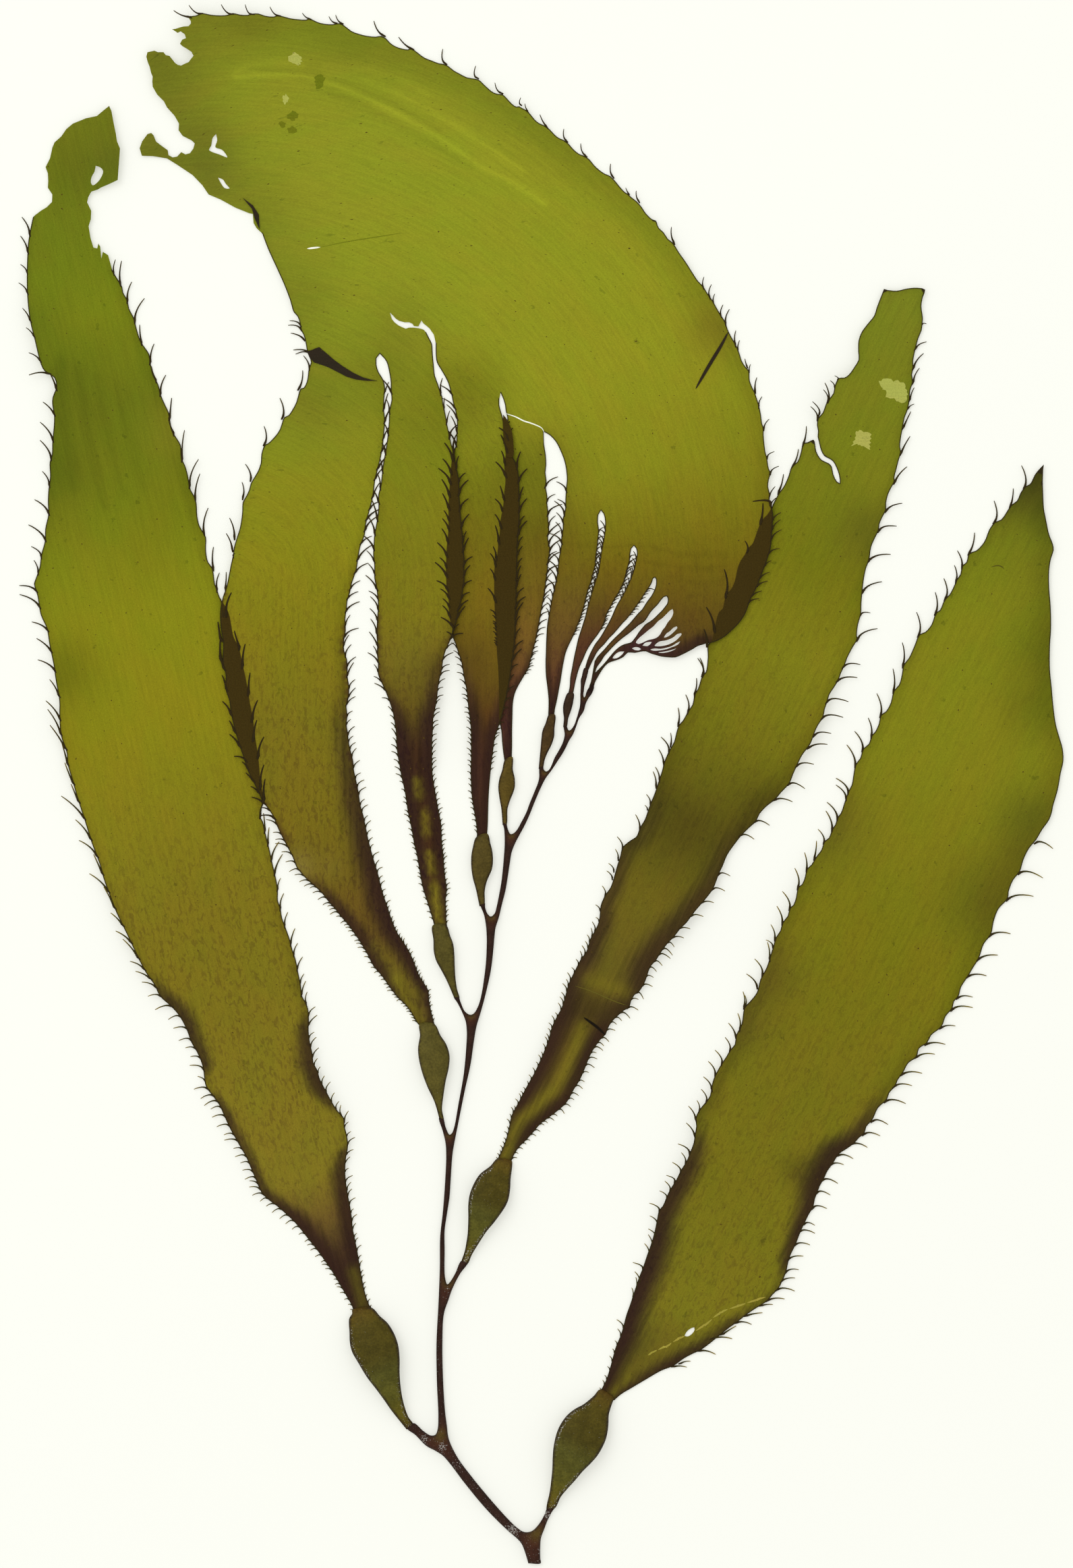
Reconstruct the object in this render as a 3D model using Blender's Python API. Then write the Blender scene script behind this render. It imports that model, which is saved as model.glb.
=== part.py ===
"""Giant kelp, the growing tip of a frond, laid flat.

Every outline is in millimetres on the pressed sheet, x to the right and y up, as read off the photo.
Blades are thin waved sheets with spines along their margins. Floats and stipe are swollen outlines.
"""

import math

import bpy
import numpy as np
from mathutils import Vector
from mathutils.geometry import delaunay_2d_cdt

MM = 0.001
BLADE_THICKNESS = 0.8
GRID_STEP = 12.0
LAYER_LIFT = 1.4
SPINE_HALF_WIDTH = 0.55

# Stipe with its petioles, from the cut base up the right side and back down the left
STIPE = [
    (144.3, 1.3), (144.2, 2.7), (144.2, 5.5), (144.4, 8), (145.3, 10.5), (146.1, 12.6), (147.2, 14.8),
    (148.2, 16.5), (146.1, 16), (145.3, 14.2), (143.8, 11.7), (142.1, 10), (140.7, 9.6), (139.5, 9.8),
    (137.9, 10.9), (136.1, 12.6), (131.9, 17.2), (126, 24.3), (122.1, 29.6), (119.8, 34.5), (119.3, 38),
    (118.8, 42), (118.3, 50), (118.1, 60), (118.5, 67.8), (119.7, 71.5), (120.8, 74.6), (122.8, 78.5),
    (124.9, 81.6), (123.2, 82), (121.5, 78.6), (120.1, 76.3), (119.4, 75.7), (118.8, 77.6), (118.7, 85),
    (118.7, 90), (119.4, 95), (120, 99), (120.3, 103.4), (120.8, 110.4), (121.4, 114), (122.2, 118),
    (124.1, 127.5), (125.6, 134.3), (126.5, 140.5), (127.2, 144.5), (128.3, 148.2), (129.4, 152.2),
    (131, 159.3), (131.7, 165), (132, 168.5), (132.3, 170.8), (133.2, 173.7), (134, 177.1), (134.9, 180.6),
    (135.5, 184.1), (136.1, 188.1), (136.6, 191), (137.5, 193.3), (138.7, 195.6), (140, 198), (141.3, 200.8),
    (142.7, 204.3), (144.2, 207.8), (145.6, 210.6), (147.3, 212.9), (149, 215.5), (150, 217), (151, 218.8),
    (151.9, 220.7), (152.9, 222.3), (153.8, 224.5), (154.6, 226.7), (155.8, 228.6), (156.4, 230.7),
    (157.5, 232.8), (157.9, 233.8), (156.9, 234), (156.6, 233.2), (156.2, 232.6), (155.9, 232.2),
    (155.7, 232.9), (155.7, 233.6), (155, 233.6), (154.9, 232), (154.8, 230.1), (154.4, 228.4),
    (153.9, 226.7), (153.3, 225), (152.6, 223.9), (151.9, 223.4), (151.5, 223.9), (151.3, 224.6),
    (150.5, 224.6), (150.7, 222.3), (150.2, 220.2), (149.1, 218), (148, 216.1), (147.2, 214.1),
    (146.5, 212.9), (145.7, 212.5), (145.1, 213.1), (145, 213.9), (144.1, 213.9), (143.9, 210.8),
    (143.6, 209.5), (142.7, 207.2), (141.5, 204.3), (140.4, 201.4), (139.2, 199.1), (138.1, 197.1),
    (137.2, 196.1), (136.3, 195.8), (135.7, 196.7), (135.3, 198.3), (135.3, 199), (134.3, 199),
    (134.6, 196.8), (134.7, 193.3), (134.5, 189.9), (134.2, 186.4), (133.8, 182.9), (133.2, 179.5),
    (132.6, 176.6), (132, 174.6), (131, 173.8), (130.1, 174.6), (129.5, 176.3), (129.4, 177.5),
    (128.2, 177.3), (129.2, 174.2), (129.7, 171.4), (129.9, 168.5), (129.9, 166), (129.7, 161.6),
    (129.2, 157.3), (128.5, 153), (127.7, 150.1), (126.5, 148), (125.5, 147.6), (124.1, 148.5),
    (122.9, 151.1), (122.3, 152.7), (121.1, 152.5), (122.2, 150.6), (123.6, 147.7), (124.3, 145.8),
    (124.6, 143), (124.5, 139.9), (123.8, 132), (122.4, 124), (121.2, 117.5), (120.6, 116), (120, 115.6),
    (119, 117.5), (118.2, 120.2), (117.2, 120.2), (118.2, 116.5), (118.9, 113.5), (119.1, 110),
    (118.8, 103), (118.2, 95), (117.5, 88.5), (117.4, 80), (117, 70), (116.5, 60), (116.6, 50),
    (117, 40.5), (116.8, 37), (116.2, 35.6), (115, 35.4), (113, 36.6), (110.4, 38.7), (108.7, 37.3),
    (110.9, 35.5), (113.8, 32.6), (116.2, 31.3), (118.2, 30), (120, 28), (124, 22.7), (130.1, 15.4),
    (136.1, 9.5), (137.9, 8), (139.2, 6.5), (140, 4.6), (140.7, 2.4), (141, 1.3),
]

# Floats, each from its lower end up the left side and back down the right
FLOATS = {
    "float_1": [
        (146.3, 16.6), (146.4, 17.9), (146.7, 20.3), (147.1, 23.4), (147.4, 26.5), (147.5, 29.6),
        (147.7, 32.1), (148.2, 34.8), (148.9, 37), (150, 39.1), (151.5, 41), (153.4, 42.5), (155.8, 43.8),
        (158, 44.8), (159.7, 46.5), (163.3, 44.1), (162.9, 42.8), (162.5, 41), (162.4, 38.8),
        (162.2, 36.7), (161.7, 34.5), (160.8, 32.4), (159.5, 30.2), (157.7, 28.1), (155.5, 25.9),
        (153.4, 23.4), (151.5, 21.3), (149.7, 19.1), (148.5, 17.1),
    ],
    "float_2": [
        (108, 38.1), (106.3, 39.8), (104.5, 42.1), (102.5, 45), (100.3, 48), (98, 51), (95.7, 54.8),
        (94, 57.8), (93.4, 60.3), (93.3, 62.8), (93.8, 65.4), (94.6, 66.8), (94.6, 67.7), (99.8, 68.3),
        (101.4, 67.3), (103.5, 65.4), (105.2, 62.7), (106.3, 59.6), (106.7, 56), (106.7, 52.2),
        (106.9, 49.2), (107.3, 46.2), (108, 43.2), (109, 40.4), (109.8, 39.3),
    ],
    "float_3": [
        (123.5, 82.6), (124, 84.4), (124.5, 87), (124.8, 89), (125, 93.4), (125, 97), (125.4, 99.8),
        (126.5, 102.6), (128.1, 105.1), (130.9, 107.3), (132.3, 108.1), (136.1, 107.4), (136.2, 106.7),
        (136.3, 103.7), (136.2, 101.5), (135.8, 98.8), (135, 96.7), (132, 92.4), (130, 90), (128, 87),
        (126, 83.7), (125.2, 82.2),
    ],
    "float_4": [
        (117.1, 120.7), (116, 124.3), (114.1, 128.4), (112.7, 132.2), (111.8, 136), (111.6, 138.8),
        (112.1, 142.1), (112.3, 143.9), (116.2, 143.9), (117.6, 142.1), (119.1, 139.8), (120, 136.8),
        (119.8, 133.5), (119, 130), (118.4, 126.2), (118, 122.4), (118.1, 120.7),
    ],
    "float_5": [
        (121, 152.9), (119.3, 156.6), (117.9, 159.3), (116.4, 162.1), (115.8, 164.5), (115.7, 167.4),
        (115.9, 170.2), (119.4, 170.4), (120.2, 168.6), (121, 166.4), (121.3, 163.6), (121.4, 160.7),
        (121.6, 157.3), (122, 154.5), (122.2, 153.1),
    ],
    "float_6": [
        (128.1, 177.8), (127, 181.2), (126.2, 184.1), (125.8, 187), (125.8, 189.9), (126.2, 192.2),
        (127.1, 193.8), (130, 194.6), (130.9, 193.3), (131.4, 191.3), (131.6, 188.7), (131.3, 186.4),
        (130.6, 184.7), (129.9, 183), (129.4, 180.6), (129.3, 178),
    ],
    "float_7": [
        (134.3, 199.5), (133.8, 202.6), (133.3, 205.5), (133, 208.3), (133.3, 210.6), (134, 212.7),
        (134.7, 214.4), (136.6, 215.1), (136.9, 213), (137.4, 210.6), (137.4, 208.3), (136.9, 206.6),
        (136.2, 204.9), (135.5, 202.6), (135.3, 199.5),
    ],
    "float_8": [
        (144.1, 214.4), (144.2, 217.9), (144.5, 221.2), (144.8, 223.4), (145.6, 225.3), (146.2, 226.4),
        (147.8, 226.4), (148, 223.9), (147.9, 221.8), (147.2, 219.6), (146.1, 217.4), (145.4, 215.6),
        (145.1, 214.4),
    ],
    "float_9": [
        (150.5, 225.1), (150.5, 226.7), (150.3, 228.4), (150.3, 229.9), (150.6, 231.3), (151.4, 232.7),
        (152.9, 232.6), (153, 231.1), (152.7, 229.7), (152.3, 228.4), (151.7, 226.7), (151.4, 225.1),
    ],
    "float_10": [
        (155, 234.1), (155, 235.6), (155, 236.8), (155.3, 237.9), (155.9, 239.3), (156.9, 239),
        (156.7, 237.9), (156.4, 236.8), (156, 235.3), (155.7, 234.1),
    ],
}

# Blade 1, on the right: margins from base to tip and from tip to base
BLADE_1_LEFT = [
    (160.1, 47), (161.7, 50), (162.9, 53.7), (163.7, 56.7), (164.4, 59.1), (165.7, 62.2), (166.4, 64.6),
    (167.2, 67.6), (168.1, 70.1), (169.3, 73.8), (170.5, 77.4), (171.6, 80.2), (172.7, 83.5), (173.6, 86),
    (174.5, 89), (175.3, 92.7), (175.9, 95.5), (176.9, 96.7), (177.9, 99.1), (178.8, 101), (180.5, 103.7),
    (181.7, 106.2), (183.2, 108.6), (184.2, 111.1), (185.1, 113.5), (185.4, 115.7), (185.8, 117.9),
    (185.6, 120), (186.6, 122.2), (188.6, 124.7), (189.5, 126.1), (189.8, 128), (190.4, 130.4),
    (191.6, 132.9), (192.7, 134.8), (193.8, 136.4), (194.9, 138.3), (196.1, 139.7), (196.4, 142),
    (197.9, 145.1), (198.7, 149.6), (200, 151), (202, 153.6), (202.9, 157), (204.6, 160.3), (205.6, 163.5),
    (206.4, 166), (207, 168.2), (208.2, 170), (208.8, 172.2), (210.2, 174), (210.8, 176.2), (211.7, 176.9),
    (212.4, 178.9), (213, 181.7), (214, 182.4), (214.8, 184.4), (215.3, 186.5), (216.5, 187.6),
    (217.7, 189.6), (219.2, 191.6), (220, 193.9), (221.2, 194.8), (222.1, 197.2), (222.9, 198.3),
    (223.5, 200.2), (224.4, 201.4), (225.4, 204.3), (226.4, 207.2), (227.3, 208.9), (227.8, 211.8),
    (228.3, 214.3), (229.6, 216.1), (230.3, 218.5), (231.9, 219.9), (232.6, 222.1), (233.5, 223),
    (234.5, 225.1), (235.1, 227.6), (236.4, 228.5), (237.7, 230.8), (238.5, 234), (239.9, 235.6),
    (240.7, 238.5), (241.1, 240.9), (242.5, 242.7), (244.1, 246.2), (245.3, 249), (246.9, 249.7),
    (248.6, 251.7), (249.8, 254.9), (250.8, 255.5), (252.1, 258.4), (253.4, 259.7), (254.7, 262.2),
    (255.2, 263.5), (256.3, 265.1), (256.8, 267.4), (257.9, 268.3), (258.6, 270.7), (260.5, 271.4),
    (262.7, 273.8), (264, 277), (265.5, 279), (267.2, 279.7), (268.5, 281.5), (269.8, 283.5),
    (271.4, 284.7), (272.4, 286.9), (273.6, 288.5), (274.9, 289.2), (276.2, 291.7), (277.5, 293.3),
    (278.6, 294.4),
]
BLADE_1_RIGHT = [
    (278.4, 293), (278.3, 289.8), (278.4, 286.6), (278.6, 282.7), (279.2, 279.5), (280, 275.7),
    (281, 273.1), (281.2, 271.5), (280.5, 269.3), (280, 266.1), (280, 261.6), (280.4, 256.5),
    (280.5, 250.7), (280.2, 245.6), (280.2, 239.8), (280.7, 234.6), (281.1, 230.1), (281.8, 225),
    (282.9, 221.1), (283.6, 218.6), (283.8, 215.3), (283.1, 212.1), (282.3, 207.6), (281, 203.1),
    (280.8, 201.9), (280, 199.6), (278.1, 196.9), (276.5, 194.2), (274.6, 191.9), (273.1, 188.8),
    (272.2, 185.8), (270.4, 183.5), (269.2, 180.4), (269, 178.6), (266.5, 175.8), (265.2, 172.4),
    (264.5, 169), (262.6, 166.5), (261.2, 162.5), (259.7, 160.1), (258.5, 158), (256.5, 154.9),
    (255.8, 152.4), (254.6, 151.1), (254.2, 149.3), (252.4, 147.2), (251.3, 144.4), (248.5, 142.1),
    (247.4, 140), (245.3, 138.6), (244.6, 136.3), (242.4, 134.7), (241, 132.1), (239.6, 130.2),
    (239, 128.6), (237.3, 126.7), (236.7, 124.9), (234.4, 122.8), (232.8, 119.5), (231.2, 117.7),
    (230.7, 115.9), (229.3, 114.8), (228, 113.3), (226.1, 111.9), (223.9, 110.4), (222.3, 107.9),
    (220.8, 105.8), (219.8, 103.6), (218.8, 101.9), (218.2, 100.2), (217.5, 98.5), (217.1, 96.4),
    (215.8, 94.2), (214.8, 92.1), (213.8, 90), (212.3, 86.2), (211, 83.5), (210.4, 81.6), (209.8, 78.9),
    (208.8, 76.5), (207.6, 74.3), (206.1, 72.8), (204.9, 71.3), (203.1, 70.1), (201, 68.8), (198.5, 67),
    (196.7, 65.5), (194.9, 64.3), (191.8, 61.8), (188.8, 59.4), (186.6, 57.9), (185.2, 57.3), (182.7, 56),
    (179.7, 53.9), (176.6, 52.7), (172.4, 50.3), (168.7, 48.1), (165.7, 46.3), (163.9, 44.7),
]
BLADE_1_HOLE = [(183, 62.1), (183.6, 63.7), (185.1, 64.1), (185.4, 63.4), (184.2, 62)]

# Blade 2, on the left, with its worn upper end
BLADE_2_LEFT = [
    (94.4, 68.2), (94, 69.8), (92.5, 72.5), (90.5, 76), (88.5, 79.3), (86.3, 82.5), (84.5, 85),
    (82.5, 87.5), (80.3, 90.3), (78.5, 92.4), (76.4, 94.4), (74, 96.5), (71.5, 98.4), (69.8, 100.2),
    (68.1, 104.1), (66.9, 106.9), (65.7, 109.7), (64.3, 112.1), (62.8, 114.8), (61.6, 116.9), (60, 120.3),
    (58.5, 123.6), (56.5, 126.3), (55, 128.4), (54.1, 133.8), (52.7, 137.4), (51, 140.4), (49.9, 143.5),
    (47.8, 147.4), (45.6, 149.9), (42.7, 152.6), (41.3, 155.5), (39.2, 158.5), (37.2, 162.2),
    (35.3, 166.2), (33.8, 169.4), (31.2, 174.7), (29.6, 178.7), (27.7, 183.9), (26.6, 187.9),
    (24.6, 193.2), (22.7, 199.2), (20.4, 206.3), (19.4, 209.9), (18, 214.9), (17.9, 217.2), (16.3, 222.2),
    (15.9, 227.8), (15.9, 231.2), (14.9, 237), (14.3, 241.2), (13.3, 245.9), (12.5, 250.6), (10.9, 254.3),
    (10, 259.4), (9.1, 262.5), (9.5, 263.8), (10.6, 267), (11, 270.2), (12, 274), (12.1, 277.2),
    (12.9, 281), (12.8, 284.5), (13, 288), (13.4, 291), (13.3, 295), (13.9, 297), (14, 300), (14.5, 307),
    (14, 310.5), (14.1, 312.2), (15.1, 315.2), (14.6, 317.4), (13.5, 318.2), (11.9, 319.3), (11, 321),
    (9.4, 327.3), (8, 333.2), (7.3, 340), (7.2, 345), (7.3, 349), (7.5, 353), (7.9, 355.9), (8.8, 360.3),
]
BLADE_2_END = [
    (9.4, 360.9), (11, 362.1), (12.5, 363), (13.9, 364.4), (14, 366.4), (12.8, 368.2), (12.9, 370),
    (12.8, 372), (12.2, 373.7), (13.4, 376.1), (14, 378.9), (14.6, 380.3), (16.4, 381.9), (17.7, 383.8),
    (19.5, 385.3), (23, 386.7), (25.9, 387.3), (27.8, 388.9), (29.2, 390), (29.8, 388.6), (30.4, 385.4),
    (31, 382.5), (31.3, 380.5), (32.1, 378.6), (31.8, 374.4), (31.5, 370.2), (29.4, 369.2), (27, 368.2),
    (26.2, 367.7), (24.4, 367.1), (23.6, 365.6), (23.3, 364.3), (24.4, 362), (24.3, 359.8), (23.7, 357.9),
    (24.2, 354.8), (25, 352.2), (26, 352), (26.3, 353.3), (26.8, 352.5), (27.1, 349.3), (27.5, 351.1),
    (28.9, 350.2),
]
BLADE_2_RIGHT = [
    (30, 346.2), (31.2, 344.2), (32.7, 341.7), (32.9, 340.3), (34.1, 338.1), (34.5, 336), (35.9, 333.2),
    (36.3, 331.4), (37.6, 327.3), (39.9, 323.7), (40.2, 321.6), (41, 318.2), (42.3, 315.7), (43, 312.9),
    (44.2, 310.1), (45.1, 308.2), (46, 303.5), (47.4, 301.1), (48.3, 299.5), (48.6, 296), (49.5, 294),
    (50.2, 291.5), (51, 287.5), (52, 285.8), (52.5, 284), (52.7, 280.6), (53.3, 278), (54.3, 276.3),
    (55, 275), (55, 271.5), (55.6, 268.3), (56.7, 266.9), (57.1, 264.8), (57.4, 262.5), (57.9, 261.3),
    (58.7, 258.9), (61, 255), (62.4, 248.4), (63.8, 245.6), (64.8, 241), (65.4, 238.5), (66.3, 233.8),
    (66.8, 230.5), (67.5, 226.9), (68.1, 222), (68.9, 216.9), (69.3, 213), (69.5, 210), (70.4, 204),
    (69.7, 202.5), (69.5, 200.5), (70.2, 199.1), (70.9, 196), (71.9, 192), (72.8, 187.8), (73.9, 182.9),
    (74.2, 180.5), (74.2, 178), (74.9, 176), (75.3, 173.5), (76.2, 171), (77.4, 167.6), (78.2, 164.5),
    (78.9, 162.5), (79.8, 158), (80.3, 155.7), (80.7, 152.5), (81.7, 150.8), (82.3, 149), (82.5, 146),
    (82.4, 143.4), (82.8, 140.1), (83.5, 137), (83.7, 134.8), (84.7, 133), (85.4, 130.6), (87.3, 126.9),
    (88.4, 124.8), (90.1, 122.1), (91.9, 120), (92, 118), (92.7, 115.1), (92.9, 112.4), (92.3, 108.8),
    (92.2, 105), (92.5, 102), (93, 99), (93.5, 96.4), (94, 92.9), (94.2, 90.5), (94.8, 87.6), (95.5, 84),
    (96, 81), (96.8, 76.4), (97.9, 71.9), (98.9, 69.6), (99.6, 68.9),
]
BLADE_2_HOLE = [
    (25.6, 374), (26.8, 373.6), (27.6, 372.6), (26.8, 370.5), (25.6, 369.2), (24.8, 368.8), (24.3, 369.6),
    (24.5, 371), (25.3, 372.5),
]

# Blade 3, in the middle, with its straight torn end and a crack in from its left margin
BLADE_3_LEFT = [
    (132.5, 108.5), (134.1, 111.9), (135.2, 114.9), (135.9, 117.9), (136.6, 120.9), (138.2, 123.9),
    (139.9, 127.2), (141.2, 129.6), (142.6, 132.1), (144, 135.1), (145.3, 138.1), (146.4, 141.1),
    (147.2, 144.1), (148.6, 147.1), (149.9, 149.5), (150.9, 152.8), (151.7, 155.7), (152.7, 157.9),
    (153.8, 160.1), (155.1, 162.6), (156.5, 164.5), (157.6, 168), (158.7, 169.9), (159.8, 172.4),
    (160.1, 174.6), (160.3, 176.7), (161.6, 179.7), (162.9, 181.5), (163.8, 184.1), (164.6, 187),
    (165.6, 190.2), (166.1, 192.2), (168.4, 194.2), (169.8, 195.1), (170.8, 197.5), (172.1, 199.7),
    (173, 202.3), (173.7, 204.2), (174.7, 206.6), (175.9, 210.3), (176.7, 212.7), (177.2, 214.8),
    (178.6, 218.1), (179.9, 220.4), (180.5, 222.8), (181.2, 224.9), (182.2, 226), (183.7, 228.7),
    (184.8, 230.3), (185.4, 233.2), (186.3, 234.6), (187.1, 237.2), (187.6, 238.3), (188.3, 238.9),
    (188.9, 243), (188.9, 246.4), (189.9, 247.3), (190.6, 250.2), (191.3, 253.4), (191.9, 255),
    (192.9, 256), (193.3, 257.9), (193.8, 259.7), (195.1, 261.1), (196.1, 263.3), (196.9, 266.9),
    (197.7, 268.8), (198.8, 270.4), (199.6, 272), (200.8, 273.2), (201.7, 275.5), (202.5, 277.7),
    (203.1, 279.3), (204.7, 280.9), (205.9, 282.8), (206.3, 283.8), (207.6, 286.3), (208.1, 287.1),
    (209.1, 288.4), (210.4, 291.2), (211.3, 293.9), (212.8, 295.1), (213.8, 297.9), (214.3, 300),
    (215.5, 300.3), (217.1, 301), (217.4, 300.6), (217.9, 297.8), (219.3, 295.6), (221.2, 294.7),
    (222, 293.8), (222.4, 291.8), (223.4, 289.8), (224.1, 289.4), (223.9, 291.6), (223.2, 293.6),
    (222.3, 295.2), (221.3, 295.9), (220, 296.6), (219.1, 298.2), (218.5, 300.6), (218.2, 301.8),
    (218.3, 303.3), (218, 304.9), (218.3, 306.7), (219.5, 308.1), (220.6, 311), (221.8, 312.5),
    (222.4, 313.4), (222.7, 315.2), (223.8, 317.4), (225.3, 317.5), (226.5, 318.3), (228, 320.4),
    (229.1, 322.3), (229, 324.4), (229.1, 327.4), (229.9, 329.6), (231.4, 331.7), (233.3, 334.1),
    (233.9, 336), (234.8, 338.4), (235.9, 341.2),
]
BLADE_3_RIGHT = [
    (236.9, 340.9), (239.3, 340.7), (242.1, 341.3), (244.8, 341.5), (246.9, 341), (246.3, 339),
    (245.9, 336.6), (246.3, 333.5), (246.2, 332), (246, 330.2), (245.1, 328), (244.4, 325.3),
    (244.1, 324.1), (243.7, 321.7), (243.8, 320.2), (243.4, 318.3), (243.7, 316.5), (242.9, 314),
    (242.8, 311.9), (242.3, 309.1), (241.4, 306.7), (241, 304.4), (240.5, 301.8), (240.2, 299.1),
    (240.5, 297.6), (239.9, 295.7), (239.3, 293.3), (238.7, 290.9), (238.8, 289.9), (238, 288.4),
    (237.1, 286.6), (236.5, 284.1), (236.5, 282.3), (235.6, 280.5), (234.7, 278.4), (234.6, 277),
    (233.5, 274.7), (232.5, 272.3), (232, 269), (231.1, 266.5), (230.5, 263.4), (230.2, 260.7),
    (229.9, 257.3), (229.8, 254.5), (229, 251.6), (228.7, 248.7), (228.9, 247.9), (227.6, 245.6),
    (226.1, 242.7), (225.4, 240.7), (224.4, 238.6), (223.8, 236.9), (222.4, 234.6), (221.3, 232.9),
    (220.9, 231.3), (220.1, 229.1), (219.7, 227), (218.3, 224.8), (217.5, 223.1), (216.3, 219.9),
    (214, 216.7), (212.8, 214.2), (211.7, 211.8), (210.7, 209.3), (208.5, 206.9), (206.9, 205),
    (204.5, 203.1), (202.7, 201.1), (201.8, 199.2), (199.9, 197.4), (198, 195.5), (196.1, 193.1),
    (194.1, 190.2), (192.9, 187.3), (191.9, 185.2), (191.2, 183.3), (190.3, 181.1), (188.9, 179.2),
    (187.6, 177.6), (186, 175.8), (184.6, 174), (183.1, 172), (181.7, 170.7), (179.9, 168.4),
    (178, 166.4), (176.4, 164.2), (175, 162), (173.6, 160.4), (172.8, 158.2), (172, 156), (170.6, 153.8),
    (169.3, 152.8), (168.4, 151.1), (168, 149.7), (166.5, 148.7), (164.9, 147.3), (163.3, 145.7),
    (162.2, 143.8), (161.7, 142.4), (160.3, 141), (158.9, 139.1), (157.6, 136.9), (156.5, 134.2),
    (155.6, 132), (154.6, 129.9), (153.2, 127.7), (151.9, 125.2), (151, 123.9), (148.9, 122),
    (146.4, 120.1), (144.2, 118.4), (142.3, 116.2), (140.4, 114.1), (138.5, 112.2), (137.1, 110),
    (136.3, 107.9),
]

# Terminal blade: strip D's outer margin, then the crown round to the growing point
STRIP_D_LEFT = [
    (112.2, 144.5), (111.4, 145.3), (110, 147.7), (108.3, 150.1), (106.3, 152), (104.4, 154.4),
    (102, 157.8), (99.6, 160.7), (97.9, 164), (96, 167.2), (94.6, 169.2), (93, 171.5), (90.8, 174),
    (89.3, 176), (87.9, 177.5), (86.1, 179.8), (84.4, 181.5), (82.1, 183.5), (79.2, 186.9), (78.2, 189.5),
    (77, 191.8), (75.6, 194.5), (74.4, 196.9), (73.6, 198.8), (72.8, 200.7), (71.4, 202.8), (70.2, 204.3),
    (69, 207), (67.3, 210.4), (66.2, 212.6), (65.2, 215.7), (63.7, 220.2), (62.8, 223.3), (61.7, 228),
    (61.2, 231.5), (60.2, 234.5), (60.3, 238), (59.5, 241.5), (59.6, 247), (59, 250.5), (58.8, 255),
    (59.5, 259), (60.4, 261.5), (61.1, 264.7), (61.5, 266.9), (62.2, 270.2), (62.5, 272.3), (63.3, 275),
    (64, 277.2), (64.5, 280), (64.7, 282.1), (64.8, 284.3), (65.6, 285.7), (66.5, 287.6), (66.9, 289.2),
    (67.6, 290.5), (68.8, 292.5), (69.6, 294.7), (69.8, 297.2), (70.7, 299.7), (71.5, 300), (72.6, 301),
    (74, 302.6), (74.8, 304), (75.4, 305.9), (75.9, 307), (77, 307.5), (78, 308.9), (79.1, 311),
    (79.7, 313.2), (80.2, 314.6), (81.1, 314.9), (81.9, 316.5), (82.2, 318.1), (82.4, 320), (83, 321.6),
    (82, 324.4), (81.7, 326.2), (81.4, 327.6), (81, 329), (80.3, 330.3), (80, 332.2), (79.4, 333.9),
    (78.4, 335), (77.5, 338), (76, 342), (74, 346.5), (71.5, 352), (70, 356),
]
CROWN_TORN_END = [
    (68.5, 357.4), (67.7, 358.8), (67.5, 361.2), (66.5, 361.4), (62.8, 362.9), (59, 365), (55.7, 366.4),
    (54, 368.9), (51.4, 371.6), (47.5, 374.2), (44.6, 376), (40.9, 376.6), (37.9, 376.7), (37.3, 378.7),
    (38, 380.6), (39.4, 382.5), (40.4, 382.8), (41, 382.2), (41.7, 380.5), (43, 379.5), (44.8, 378.2),
    (45, 376.9), (46.1, 376.3), (47.3, 376.5), (48.4, 377.7), (49.5, 377.1), (50.7, 377.4), (51.6, 378.6),
    (52, 380), (51.2, 380.8), (48.8, 382), (47.7, 383.5), (47.8, 385.3), (46.6, 387.4), (44.6, 389.6),
    (43.8, 391.2), (42, 393), (40.8, 395.1), (40.7, 396.6), (40.8, 397.8), (40.4, 398.7), (40, 400.4),
    (39.5, 401.6), (39.1, 403.1), (39.4, 404.3), (41.3, 404.7), (42.2, 404.3), (43.7, 404.3),
    (44.3, 403.5), (45.3, 403.3), (46.1, 402.3), (46.7, 401.5), (47.5, 400.9), (48.4, 400.7),
    (49.6, 401.3), (50.4, 401.6), (50.9, 402.3), (51.7, 403.3), (51.2, 404.3), (50.2, 405), (48.7, 405.9),
    (48.1, 406.5), (48.7, 407.6), (49.7, 408), (49.4, 409), (48.3, 409.8), (47.5, 409.4), (46, 410.4),
    (46.9, 410.5), (48.9, 411.1), (50.4, 411.2), (51, 411.9), (51, 412.5), (50.4, 413.5),
]
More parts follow.
